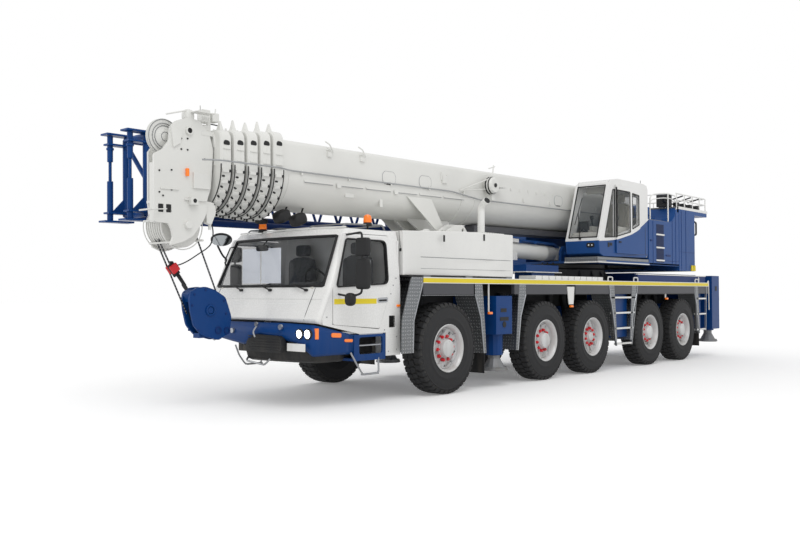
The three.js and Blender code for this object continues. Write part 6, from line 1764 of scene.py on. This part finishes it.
weights = merged(on_fall(block((0.014, 0.064), (-0.03, 0.08), (-0.055, 0.055)), 0.0),
    on_fall(block((-0.064, -0.014), (-0.03, 0.08), (-0.055, 0.055)), 0.0))
make("switch_weight", weights, warn_red, "hook_block", bevel=0.012)
socket = merged(on_fall(turned([(0, 0.13), (0.016, 0.13), (0.015, 0.26), (0.026, 0.28), (0.026, 0.35),
    (0, 0.37)], (0, 0, 0), "y", 16), 0.0), on_fall(block((-0.014, 0.014), (-0.04, 0.13), (-0.05, 0.05)), 0.0))
make("rope_socket", socket, steel, "hook_block", bevel=0.003)
make("rope_socket_sleeve", on_fall(merged(tube([(0.028, 0.08, 0.012), (0.02, 0.3, 0.012)], 0.011, 8),
    tube([(-0.03, -0.05, 0.03), (0.03, -0.05, 0.03)], 0.014, 8)), 0.0), black, "hook_block")
ROUTE = [(0.295, -11.86, -0.35), (0.28, -11.77, -0.375), (0.26, -11.665, -0.45), (0.24, -11.605, -0.6),
    (0.21, -11.61, -0.74), (0.173, -11.65, -0.81), (0.13, -11.757, -0.89), (0.087, -11.88, -0.975),
    (0.06, -11.975, -1.02), (0.055, -12.045, -1.035)]
line = flowing(ROUTE, 8)
cable = make("signal_cable", tube(line, 0.008, 10), black, "boom_section_5", sharp=80)
cable.parent = None
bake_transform(cable)

# %% [markdown]
# ## Lattice jib, folded beside the boom
# It is stowed on the far side, so its end frame shows past the head and one chord shows below the boom.
# Every bar is a straight tube between two joints of the lattice, so a list of end points draws it.

# %% Lattice jib
X_IN, X_OUT, TOP, FOOT = -0.72, -1.22, 0.7, -0.33
corners = [(x, z) for x in (X_IN, X_OUT) for z in (FOOT, TOP)]
NODES = np.linspace(-11.97, -4.9, 9)
bars = [tube([(x, -11.97, z), (x, -4.5, z)], 0.042, 12) for x, z in corners]
for a, b in zip(NODES[:-1], NODES[1:]):
    m = (a + b) / 2
    for x in (X_IN, X_OUT):
        if a > -11:
            bars += [tube([(x, a, FOOT), (x, m, TOP)], 0.022, 8), tube([(x, m, TOP), (x, b, FOOT)], 0.022, 8)]
    bars += [tube([(X_IN, a, TOP), (X_OUT, m, TOP), (X_IN, b, TOP)], 0.018, 8)]
posts = [tube([(x, -11.97, FOOT - 0.02), (x, -11.97, TOP)], 0.047, 12) for x in (X_IN, X_OUT)]
posts += [tube([(X_OUT, -11.97, TOP - 0.05), (X_IN, -11.97, 0.12)], 0.032, 10),
    tube([(X_OUT, -11.97, FOOT), (X_IN, -11.97, FOOT)], 0.045, 10),
    tube([(X_OUT, -11.97, TOP), (X_IN, -11.97, TOP)], 0.045, 10)]
jacks = []
for x in (X_IN, X_OUT):
    jacks += [tube([(x, -12.21, FOOT - 0.08), (x, -12.21, 0.12)], 0.04, 12),
        tube([(x, -12.21, 0.12), (x, -12.21, 0.38)], 0.022, 10),
        tube([(x, -12.21, 0.38), (x, -12.21, TOP + 0.03)], 0.038, 12),
        block((x - 0.09, x + 0.09), (-12.3, -11.9), (TOP + 0.035, TOP + 0.06)),
        block((x - 0.07, x + 0.07), (-12.27, -11.92), (TOP - 0.1, TOP - 0.075)),
        block((x - 0.09, x + 0.09), (-12.33, -11.9), (FOOT - 0.105, FOOT - 0.08)),
        block((x - 0.07, x + 0.07), (-12.27, -11.92), (FOOT + 0.01, FOOT + 0.035)),
        prism([(-12.19, FOOT + 0.03), (-11.97, FOOT + 0.26), (-11.97, FOOT + 0.03)], (x - 0.012, x + 0.012),
        "x"), disc(0.05, (TOP - 0.16, TOP - 0.13), (x, -12.21, 0), "z", 16)]
low = [tube([(-0.64, -12.0, -0.36), (-0.6, -11.4, -0.42), (-0.6, -4.6, -0.42)], 0.048, 12),
    tube([(X_IN, -11.2, FOOT), (-0.6, -11.2, -0.42)], 0.03, 8),
    tube([(X_IN, -5.4, FOOT), (-0.6, -5.4, -0.42)], 0.03, 8)]
holders = [block((-0.76, -0.44), (y - 0.06, y + 0.06), (z, z + 0.06)) for y in (-9.8, -5.4)
    for z in (0.02, 0.44)]
make("lattice_jib_bars", merged(*bars, *low), deep_blue, "boom_base",
    replaces="lattice_jib")
make("lattice_jib_end_frame", merged(*posts, *jacks, *holders), blue, "boom_base", bevel=0.004)
make("lattice_jib_end_fitting", block((-0.66, -0.54), (-4.62, -4.42), (-0.46, -0.36)), grey_cast_and_shade_lines, "boom_base",
    bevel=0.01)
print("hook and jib:", len(made), "pieces so far")

# %% [markdown]
# ## Crane cab
# The operator's cab leans back at the screen and is pressed sheet steel: a white frame above, a blue tub
# below, and a curved edge where they meet. That edge is one function of the length, and both sheets are cut
# to it.

# %% Cab shell
BELT = arr([(4.66, 2.515), (5.0, 2.535), (5.35, 2.57), (5.93, 2.69), (6.2, 2.775), (6.45, 2.88),
    (6.79, 3.05)])


def belt(y):
    return np.interp(y, BELT[:, 0], BELT[:, 1])


def lean_y(z):
    """The screen's line: y grows with z from the sill to the roof."""
    return np.interp(z, [2.2, 2.55, 3.66, 3.7, 3.78], [4.73, 4.7, 5.1, 5.14, 5.37])


SIDE_TOP = [(6.79, 3.66), (6.74, 3.75), (6.6, 3.775), (5.45, 3.775), (5.19, 3.73), (5.1, 3.66)]
FRONT_PANE = rounded([(4.9, 2.585), (5.318, 2.61), (5.318, 3.545), (5.24, 3.545)], 0.02)
FRAME = np.vstack([BELT, SIDE_TOP])
side_white = plate(FRAME, [FRONT_PANE, rounded([(5.365, 2.66), (5.93, 2.78), (6.34, 2.93), (6.34, 3.56),
    (5.365, 3.56)], 0.02)], (1.29, 1.333), "x")
right_white = moved(plate(FRAME, [rounded([(5.0, 2.62), (5.9, 2.75), (6.5, 3.0), (6.5, 3.56), (5.33, 3.56)],
    0.04)], (0, 0.04), "x"), (0.604, 0, 0))
roof_line = [(5.1, 3.66), (5.19, 3.73), (5.45, 3.775), (6.6, 3.775), (6.74, 3.75), (6.79, 3.66), (6.75, 3.66),
    (6.7, 3.72), (5.47, 3.74), (5.23, 3.69), (5.15, 3.64)]
roof = prism(roof_line, (0.62, 1.31), "x")
ribs = merged(*[block((x, x + 0.03), (5.6, 6.6), (3.77, 3.779)) for x in (0.76, 0.96, 1.16)])
rear = plate(rectangle((0.62, 1.31), (2.25, 3.7)), [rectangle((0.72, 1.21), (3.1, 3.55), 0.04)], (6.75, 6.79),
    "y")
sill = prism([(4.685, 2.515), (4.72, 2.515), (4.735, 2.575), (4.7, 2.575)], (0.62, 1.31), "x")
header = prism([(5.075, 3.6), (5.11, 3.6), (5.16, 3.68), (5.115, 3.68)], (0.62, 1.31), "x")
pillars = merged(*[sweep([(-w, -0.02), (w, -0.02), (w, 0.02), (-w, 0.02)],
    [(x, 4.705, 2.52), (x, 4.905, 3.1), (x, 5.105, 3.665)], (0, -1, 0.4))
    for x, w in ((0.636, 0.03), (1.303, 0.032))])
make("crane_cab_frame", merged(side_white, right_white, roof, ribs, rear, sill, header, pillars), cab_white,
    "crane_cab", bevel=0.01, replaces="crane_cab", segments=3)
curve = np.array([(y, belt(y)) for y in np.linspace(4.68, 6.79, 30)])
make("crane_cab_belt", tube([(1.334, y, z) for y, z in curve], 0.016, 8), cab_white, "crane_cab")
tub_side = np.vstack([BELT, [(6.79, 2.28), (6.65, 2.235), (4.86, 2.215), (4.7, 2.27)]])
tub = merged(prism(tub_side, (1.29, 1.335), "x"), prism(tub_side, (0.604, 0.64), "x"),
    prism([(4.665, 2.515), (4.7, 2.27), (4.86, 2.215), (6.65, 2.235), (6.79, 2.28), (6.75, 2.3), (6.62, 2.28),
    (4.88, 2.255), (4.745, 2.3), (4.71, 2.515)], (0.62, 1.31), "x"))
make("crane_cab_tub", tub, upper_blue, "crane_cab", bevel=0.018, segments=3)
lamps = merged(*[turned([(0, 0), (0.014, 0), (0.015, 0.006), (0.0, 0.009)], (x, 4.672, 2.43), "y", 20)
    for x in (1.115, 1.185)])
lamps = Shape(lamps.points * (1, -1, 1) + (0, 2 * 4.672, 0), lamps.faces)
bezel = rounded(rectangle((1.065, 1.235), (2.385, 2.475)), 0.035)
make("crane_cab_lamp_bezel", prism(bezel, (4.668, 4.7), "y"), black, "crane_cab", bevel=0.003)
make("crane_cab_lamps", lamps, white, "crane_cab")
make("crane_cab_side_vents", merged(block((1.333, 1.342), (5.02, 5.09), (2.4, 2.49)),
    block((1.333, 1.342), (5.11, 5.2), (2.43, 2.49))), black, "crane_cab", bevel=0.006)
seams = merged(tube([(1.336, 5.6, 2.235), (1.336, 6.3, 2.29), (1.336, 6.76, 2.3)], 0.004, 6),
    tube([(1.336, 6.66, 2.3), (1.336, 6.66, 2.86)], 0.004, 6),
    tube([(1.336, 6.36, 2.3), (1.336, 6.36, 2.82)], 0.003, 6))
make("crane_cab_seams", seams, band_grey, "crane_cab")
screen = np.stack([np.stack([(x, lean_y(z) - 0.006, z) for x in np.linspace(0.665, 1.272, 9)])
    for z in np.linspace(2.58, 3.62, 9)])
make("crane_cab_screen", slab(screen, 0.006), clear_glass, "crane_cab", sharp=60)
edge = np.array([(0.665, lean_y(2.585), 2.585), (1.272, lean_y(2.585), 2.585), (1.272, lean_y(3.62), 3.62),
    (0.665, lean_y(3.62), 3.62)]) - (0, 0.012, 0)
make("crane_cab_screen_rubber", merged(*[tube([a, b], 0.012, 8) for a, b in zip(edge, np.roll(edge, -1, 0))]),
    seal, "crane_cab")
panes = merged(prism(FRONT_PANE, (1.318, 1.323), "x"),
    prism(rectangle((0.72, 1.21), (3.1, 3.55)), (6.765, 6.77), "y"),
    prism([(5.0, 2.62), (5.9, 2.75), (6.5, 3.0), (6.5, 3.56), (5.33, 3.56)], (0.62, 0.625), "x"))
make("crane_cab_panes", panes, clear_glass, "crane_cab")
gasket = tube([(1.333, y, z) for y, z in FRONT_PANE], 0.009, 6, up=(1, 0, 0), closed=True)
wiper = merged(tube([(0.92, 4.675, 2.56), (0.76, 4.9, 3.1)], 0.008, 6),
    tube([(0.74, 4.8, 2.85), (0.78, 5.03, 3.4)], 0.007, 6),
    disc(0.02, (-0.02, 0.02), (0.92, 4.68, 2.56), "y", 12))
make("crane_cab_trim", merged(gasket, wiper, block((1.333, 1.338), (5.306, 5.336), (2.61, 3.56))), black,
    "crane_cab")
grip = tube(bent([(1.285, 5.02, 2.7), (1.26, 5.03, 2.75), (1.26, 5.22, 3.4), (1.285, 5.22, 3.45)], 0.03),
    0.011, 8)
make("crane_cab_grips", grip, black, "crane_cab")
print("cab shell:", len(made), "pieces so far")

# %% Cab door
DOOR_BELT = np.array([(y, belt(y)) for y in np.linspace(5.337, 6.345, 12)])
PANE_A = rounded([(5.362, 2.625), (5.93, 2.735), (5.915, 3.545), (5.362, 3.545)], 0.02)
PANE_B = rounded([(6.02, 2.8), (6.318, 2.9), (6.318, 3.51), (6.02, 3.53)], 0.02)
leaf = plate(np.vstack([DOOR_BELT, [(6.345, 3.64), (5.337, 3.64)]]), [PANE_A, PANE_B], (1.343, 1.366), "x")
make("crane_cab_door_frame", leaf, cab_white, "crane_cab_door", bevel=0.006, replaces="crane_cab_door")
make("crane_cab_door_belt", tube([(1.366, y, z) for y, z in DOOR_BELT], 0.014, 8), cab_white,
    "crane_cab_door")
make("crane_cab_door_panel", prism(np.vstack([DOOR_BELT, [(6.345, 2.31), (6.3, 2.29), (5.337, 2.29)]]),
    (1.343, 1.366), "x"), upper_blue, "crane_cab_door", bevel=0.006)
make("crane_cab_door_glass", merged(prism(PANE_A, (1.352, 1.357), "x"), prism(PANE_B, (1.352, 1.357), "x")),
    clear_glass, "crane_cab_door")
rubbers = merged(block((1.352, 1.37), (5.331, 5.364), (2.6, 3.6)),
    *[tube([(1.366, y, z) for y, z in pane], 0.009, 6, up=(1, 0, 0), closed=True)
    for pane in (PANE_A, PANE_B)], block((1.366, 1.376), (5.42, 5.52), (2.5, 2.53)))
make("crane_cab_door_rubber", rubbers, seal, "crane_cab_door")
print("cab door:", len(made), "pieces so far")

# %% Cab inside
seat("crane_seat", 0.9695, (5.9, 2.66, 0.28, 0.075), (6.17, 3.02, 0.065, 0.34), pale_cloth, "crane_cab",
    rake=-0.1)
stand_base = merged(block((0.8, 1.14), (5.66, 6.16), (2.28, 2.59)),
    block((0.66, 0.78), (5.45, 6.1), (2.28, 2.86)), block((1.16, 1.27), (5.6, 6.1), (2.28, 2.84)))
console = merged(prism([(4.78, 2.28), (4.98, 2.28), (5.0, 2.56), (4.86, 2.7), (4.78, 2.6)], (0.66, 1.27),
    "x"), block((0.655, 1.28), (4.78, 6.74), (2.258, 2.285)))
make("crane_cab_console", merged(stand_base, console), pale_trim, "crane_cab", bevel=0.015)
monitor = merged(turn(block((0.7, 0.92), (5.02, 5.06), (2.74, 2.92)), 0.2, (0.8, 5.0, 2.8)),
    tube([(0.81, 4.95, 2.6), (0.81, 5.03, 2.78)], 0.015, 8),
    tube([(0.72, 5.55, 2.86), (0.72, 5.52, 3.02)], 0.018, 8),
    tube([(1.21, 5.68, 2.84), (1.21, 5.66, 3.0)], 0.018, 8), cushion((0.72, 5.52, 3.04), (0.03, 0.03, 0.04)),
    cushion((1.21, 5.66, 3.02), (0.03, 0.03, 0.04)))
make("crane_cab_monitor", monitor, black, "crane_cab", bevel=0.004)
lining = merged(block((0.65, 1.28), (6.735, 6.748), (2.3, 3.08)),
    block((0.65, 1.28), (5.3, 6.7), (3.705, 3.72)), block((0.7, 1.24), (5.36, 5.4), (3.5, 3.66)))
make("crane_cab_lining", lining, pale_trim, "crane_cab", bevel=0.004)
print("crane cab:", len(made), "pieces so far")

# %% [markdown]
# ## Superstructure, winch and luffing cylinder
# The slewing frame is cut from thick plate, so each wall is its side outline carried across. The winch drum
# is one turned profile: a half circle for each wrap of rope, between two flanges.

# %% Slewing frame and platform
cheek_line = [(6.5, 2.12), (8.38, 2.12), (8.38, 2.46), (9.56, 2.64), (9.56, 3.4), (8.0, 3.4), (7.35, 3.15)]
house_left = [(6.85, 2.1), (8.38, 2.1), (8.38, 3.4), (8.25, 3.4), (8.16, 3.22), (8.04, 3.11), (7.88, 3.06),
    (6.85, 3.055)]
house_right = [(5.05, 2.1), (8.38, 2.1), (8.38, 3.4), (8.2, 3.4), (6.85, 3.055), (5.05, 2.88)]
frame_parts = merged(both(prism(cheek_line, (0.5, 0.58), "x")), prism(house_left, (0.56, 1.325), "x"),
    prism(house_right, (-1.325, -0.56), "x"), block((-1.325, 1.325), (5.0, 8.38), (2.1, 2.145)),
    *[block((a, b), (8.28, 9.98), (3.3, 3.4)) for a, b in ((-1.325, -0.62), (0.62, 1.325))],
    both(disc(0.15, (0.46, 0.5), (0, 8.15, 3.05), "x", 32, 0.01)))
make("superstructure_frame", frame_parts, upper_blue, "superstructure", bevel=0.012,
    replaces="superstructure", segments=3)
under = merged(disc(0.8, (1.99, 2.1), (0, 5.7, 0), "z", 64, 0.02),
    disc(0.74, (1.93, 1.99), (0, 5.7, 0), "z", 64), block((-0.5, 0.5), (6.6, 9.0), (2.05, 2.1)))
make("slewing_ring_cover", under, black, "superstructure", bevel=0.006)
bolts = ring_of(disc(0.018, (2.1, 2.125), (0.72, 5.7, 0), "z", 8), 36, (0, 5.7, 0), "z")
make("slewing_ring_bolts", bolts, steel, "superstructure")
walk = merged(block((-1.325, 1.325), (9.02, 9.98), (3.4, 3.435)),
    both(block((0.5, 1.325), (8.25, 9.02), (3.4, 3.435))),
    both(block((0.57, 1.32), (6.88, 7.86), (3.055, 3.065))))
make("platform_plate", walk, checker, "superstructure", bevel=0.003)
foot_strip = merged(block((0.6, 1.322), (4.64, 6.84), (2.145, 2.205)),
    block((0.6, 1.322), (4.64, 5.0), (2.1, 2.145)))
make("cab_foot_plate", foot_strip, checker, "superstructure", bevel=0.004)
lips = merged(block((1.318, 1.336), (4.62, 6.86), (2.09, 2.112)),
    block((0.6, 1.336), (4.622, 4.64), (2.09, 2.112)),
    both(block((1.322, 1.334), (8.27, 9.99), (3.385, 3.445))),
    block((-1.334, 1.334), (9.98, 9.992), (3.385, 3.445)),
    prism([(8.27, 3.385), (8.35, 3.385), (8.35, 3.445), (8.27, 3.445), (8.2, 3.36)], (1.322, 1.334), "x"))
make("platform_lips", lips, white, "superstructure", bevel=0.003)
lines = merged(*[tube([(1.327, y, 2.12), (1.327, y, z)], 0.0045, 6)
    for y, z in ((7.05, 3.04), (8.02, 3.1), (8.2, 3.28))],
    *[tube([(1.332, y, 2.03), (1.332, y, 3.37)], 0.0045, 6) for y in (8.5, 8.74)],
    tube([(1.327, 6.9, 2.2), (1.327, 8.38, 2.2)], 0.003, 6))
make("superstructure_seams", both(lines), deep_blue, "superstructure")
# A thin dark blue sheet on the housing side paints the shade of the ladder's recess.
make("ladder_recess_shade", both(block((1.318, 1.3275), (7.21, 7.58), (2.16, 2.98))), recess_shade_blue, "superstructure",
    bevel=0.003)
rungs = both(merged(*[block((1.3, 1.345), (7.2, 7.59), (z, z + 0.035)) for z in (2.185, 2.46, 2.74)]))
make("ladder_rungs", rungs, white, "superstructure", bevel=0.008)
hatch_lines = both(merged(block((1.325, 1.334), (7.68, 7.92), (2.3, 2.34)),
    block((1.325, 1.336), (6.92, 7.0), (2.6, 2.64))))
make("superstructure_catches", hatch_lines, deep_blue, "superstructure", bevel=0.003)
print("slewing frame and platform:", len(made), "pieces so far")

# %% Rails and small fittings
RAIL = 3.735
posts = [(1.3, y) for y in (8.32, 8.75, 9.2, 9.6, 9.95)] + [(x, 9.95) for x in (0.65, 0.0, -0.65)]
rail_parts = [tube([(x, y, 3.435), (x, y, RAIL)], 0.013, 8)
    for x, y in posts + [(-x, y) for x, y in posts[:5]]]
for z in (RAIL, 3.59):
    rail_parts.append(tube(bent([(1.3, 8.3, z), (1.3, 9.95, z), (-1.3, 9.95, z), (-1.3, 8.3, z)], 0.08),
        0.014, 8))
hand = flowing([(1.26, 7.06, 3.52), (1.26, 7.16, 3.6), (1.26, 7.5, 3.66), (1.26, 7.96, 3.7),
    (1.26, 8.32, 3.68)], 6)
rail_parts += [tube(hand, 0.014, 8), tube(hand - (0, 0, 0.1), 0.01, 8),
    tube([(1.26, 7.96, 3.07), (1.26, 7.96, 3.72)], 0.016, 8),
    tube([(1.26, 7.06, 3.07), (1.26, 7.06, 3.53)], 0.014, 8),
    tube([(0.7, 7.96, 3.07), (0.7, 7.96, 3.7), (1.26, 7.96, 3.7)], 0.012, 8)]
make("platform_rails", merged(*rail_parts), white, "superstructure")
clutter = merged(block((0.9, 1.2), (8.15, 8.3), (3.44, 3.72)),
    *[tube([(1.1, y, 3.62), (1.32, y + 0.12, 3.7)], 0.018, 6) for y in (8.5, 8.95, 9.4)],
    *[block((1.16, 1.26), (y, y + 0.12), (3.44, 3.55)) for y in (8.45, 8.8, 9.15, 9.55)],
    tube([(0.9, 8.2, 3.55), (0.9, 9.8, 3.6)], 0.02, 8),
    tube([(0.75, 7.9, 3.5), (0.8, 7.4, 3.62), (0.9, 7.0, 3.6)], 0.03, 8),
    turned([(0, -0.03), (0.1, -0.03), (0.1, 0.03), (0, 0.03)], (1.12, 8.12, 3.62), "x", 24))
make("platform_fittings", clutter, steel, "superstructure", bevel=0.003)
dark = merged(tube(bent([(1.3, 9.26, 3.16), (1.3, 9.4, 3.14), (1.3, 9.4, 2.86), (1.3, 9.26, 2.84)], 0.04),
    0.022, 8), block((0.62, 0.78), (7.0, 7.8), (3.07, 3.38)), block((1.2, 1.3), (9.25, 9.3), (2.6, 2.7)))
make("superstructure_dark_parts", dark, black, "superstructure", bevel=0.006)
drive = merged(disc(0.16, (0.66, 0.95), (0, 7.45, 3.28), "x", 28, 0.01),
    block((0.66, 1.05), (7.1, 7.75), (3.065, 3.17)), disc(0.1, (0.95, 1.06), (0, 7.45, 3.28), "x", 24, 0.01))
make("slewing_drive", both(drive), upper_blue, "superstructure", bevel=0.006)
wedge = [(0.0, 0.0), (0.1, 0.0), (0.085, 0.13), (0.02, 0.13)]
make("counterweight_lamps", merged(*[prism(arr(wedge) + (y, 2.005), (1.325, 1.36), "x")
    for y in (9.0, 9.13)]), yellow, "superstructure", bevel=0.008)
straps = both(merged(*[block((1.328, 1.336), (8.42, 9.22), (z, z + 0.006)) for z in (2.42,)]))
make("counterweight_joints", straps, deep_blue, "superstructure")
make("aerial", tube([(1.2, 6.72, 3.75), (1.2, 6.74, 3.875)], 0.005, 6), black, "crane_cab")
deck_rail = both(block((1.27, 1.32), (6.35, 9.9), (1.882, 1.902)))
make("rear_deck_edge", deck_rail, white, bevel=0.003)
upstand = both(block((1.285, 1.305), (6.35, 9.9), (1.742, 1.883)))
make("rear_deck_upstand", upstand, deep_blue, bevel=0.003)
make("rear_deck_box", block((-1.1, 1.1), (6.62, 9.85), (1.742, 1.925)), deep_blue, bevel=0.01)
make("centre_box", both(merged(block((0.32, 0.7), (3.12, 4.25), (1.9, 2.03)),
    block((0.32, 0.7), (3.3, 4.1), (1.742, 1.9)))), blue, bevel=0.01)
make("centre_box_edge", both(block((0.3, 0.74), (3.05, 4.3), (1.885, 1.902))), white, bevel=0.002)
print("rails and small fittings:", len(made), "pieces so far")

# %% Winch
WINCH = (0, 9.12, 2.96)
wraps = []
for x in np.arange(-0.41, 0.41, 0.0273):
    wraps += [(0.285 + 0.0125 * math.sin(a), x + 0.0136 * (1 - math.cos(a)))
        for a in np.linspace(0, math.pi, 5)[:-1]]
coil = turned([(0, -0.42), (0.28, -0.42)] + wraps + [(0.28, 0.42), (0, 0.42)], WINCH, "x", 64)
flange = both(merged(turned([(0, 0.42), (0.36, 0.42), (0.368, 0.428), (0.368, 0.452), (0.36, 0.459),
    (0.3, 0.459), (0.285, 0.445), (0.12, 0.445), (0.11, 0.459), (0, 0.459)], WINCH, "x", 56),
    ring_of(disc(0.016, (0.44, 0.458), (0, 9.12 + 0.22, 2.96), "x", 10), 10, WINCH),
    disc(0.06, (0.45, 0.496), WINCH, "x", 24, 0.006)))
make("winch_flanges", flange, upper_blue, "winch", replaces="winch_drum")
make("winch_rope_coil", coil, grey_cast_and_shade_lines, "winch", sharp=60)
print("winch:", len(made), "pieces so far")

# %% Luffing cylinder
BASE, ROD = arr((0, 5.3, 2.31)), arr((0, 1.3, 2.37))
tilt = math.atan2(ROD[2] - BASE[2], BASE[1] - ROD[1])


def on_cylinder(shape):
    """A piece drawn along y from the base pin, turned onto the line between the two pins."""
    return turn(moved(shape, BASE), -tilt, BASE)


barrel = turned([(0, -3.67), (0.1, -3.67), (0.118, -3.66), (0.118, -3.6), (0.168, -3.59), (0.172, -3.57),
    (0.172, -3.47), (0.168, -3.45), (0.155, -3.44), (0.155, -0.6), (0.161, -0.59), (0.161, -0.5),
    (0.155, -0.49), (0.155, -0.22), (0.12, -0.16), (0, -0.14)], (0, 0, 0), "y", 48)
eye_base = merged(disc(0.15, (-0.1, 0.1), (0, 0, 0), "x", 40, 0.01),
    prism([(-0.18, -0.14), (-0.18, 0.14), (0, 0.12), (0, -0.12)], (-0.09, 0.09), "x"))
make("luff_barrel", on_cylinder(merged(barrel, eye_base)), boom_white, "luff_cylinder",
    replaces="luff_cylinder")
hoses = merged(*[tube([(x, -1.55, 0.165), (x, -1.45, 0.19), (x, -0.3, 0.185), (x, -0.12, 0.12)], 0.022, 8)
    for x in (0.02, 0.08, 0.135)], block((-0.02, 0.17), (-1.05, -0.98), (0.15, 0.205)))
make("luff_hoses", on_cylinder(hoses), upper_blue, "luff_cylinder")
valve = merged(block((0.0, 0.16), (-1.82, -1.6), (0.14, 0.21)),
    tube([(0.05, -3.5, 0.165), (0.05, -1.7, 0.165)], 0.014, 8),
    block((0.1, 0.165), (-1.8, -1.66), (-0.2, -0.06)))
make("luff_valve", on_cylinder(valve), white, "luff_cylinder", bevel=0.006)
rod = turned([(0, -3.92), (0.085, -3.92), (0.085, -0.08), (0, -0.08)], (0, 0, 0), "y", 40)
rod_eye = merged(turned([(0.05, -0.1), (0.14, -0.1), (0.15, -0.09), (0.15, 0.09), (0.14, 0.1), (0.05, 0.1)],
    (0, -4.0, 0), "x", 40), disc(0.052, (-0.1, 0.1), (0, -4.0, 0), "x", 24))
make("luff_rod_bar", on_cylinder(rod), chrome, "luff_rod", replaces="luff_rod")
make("luff_rod_eye", on_cylinder(rod_eye), boom_white, "luff_rod")
brackets = both(prism([(5.12, 2.12), (5.5, 2.12), (5.46, 2.36), (5.38, 2.46), (5.22, 2.46), (5.14, 2.36)],
    (0.175, 0.235), "x"))
make("luff_clevis", merged(brackets, disc(0.05, (-0.27, 0.27), (0, 5.3, 2.31), "x", 20, 0.006)), upper_blue,
    "superstructure", bevel=0.008)
print("superstructure:", len(made), "pieces in all")
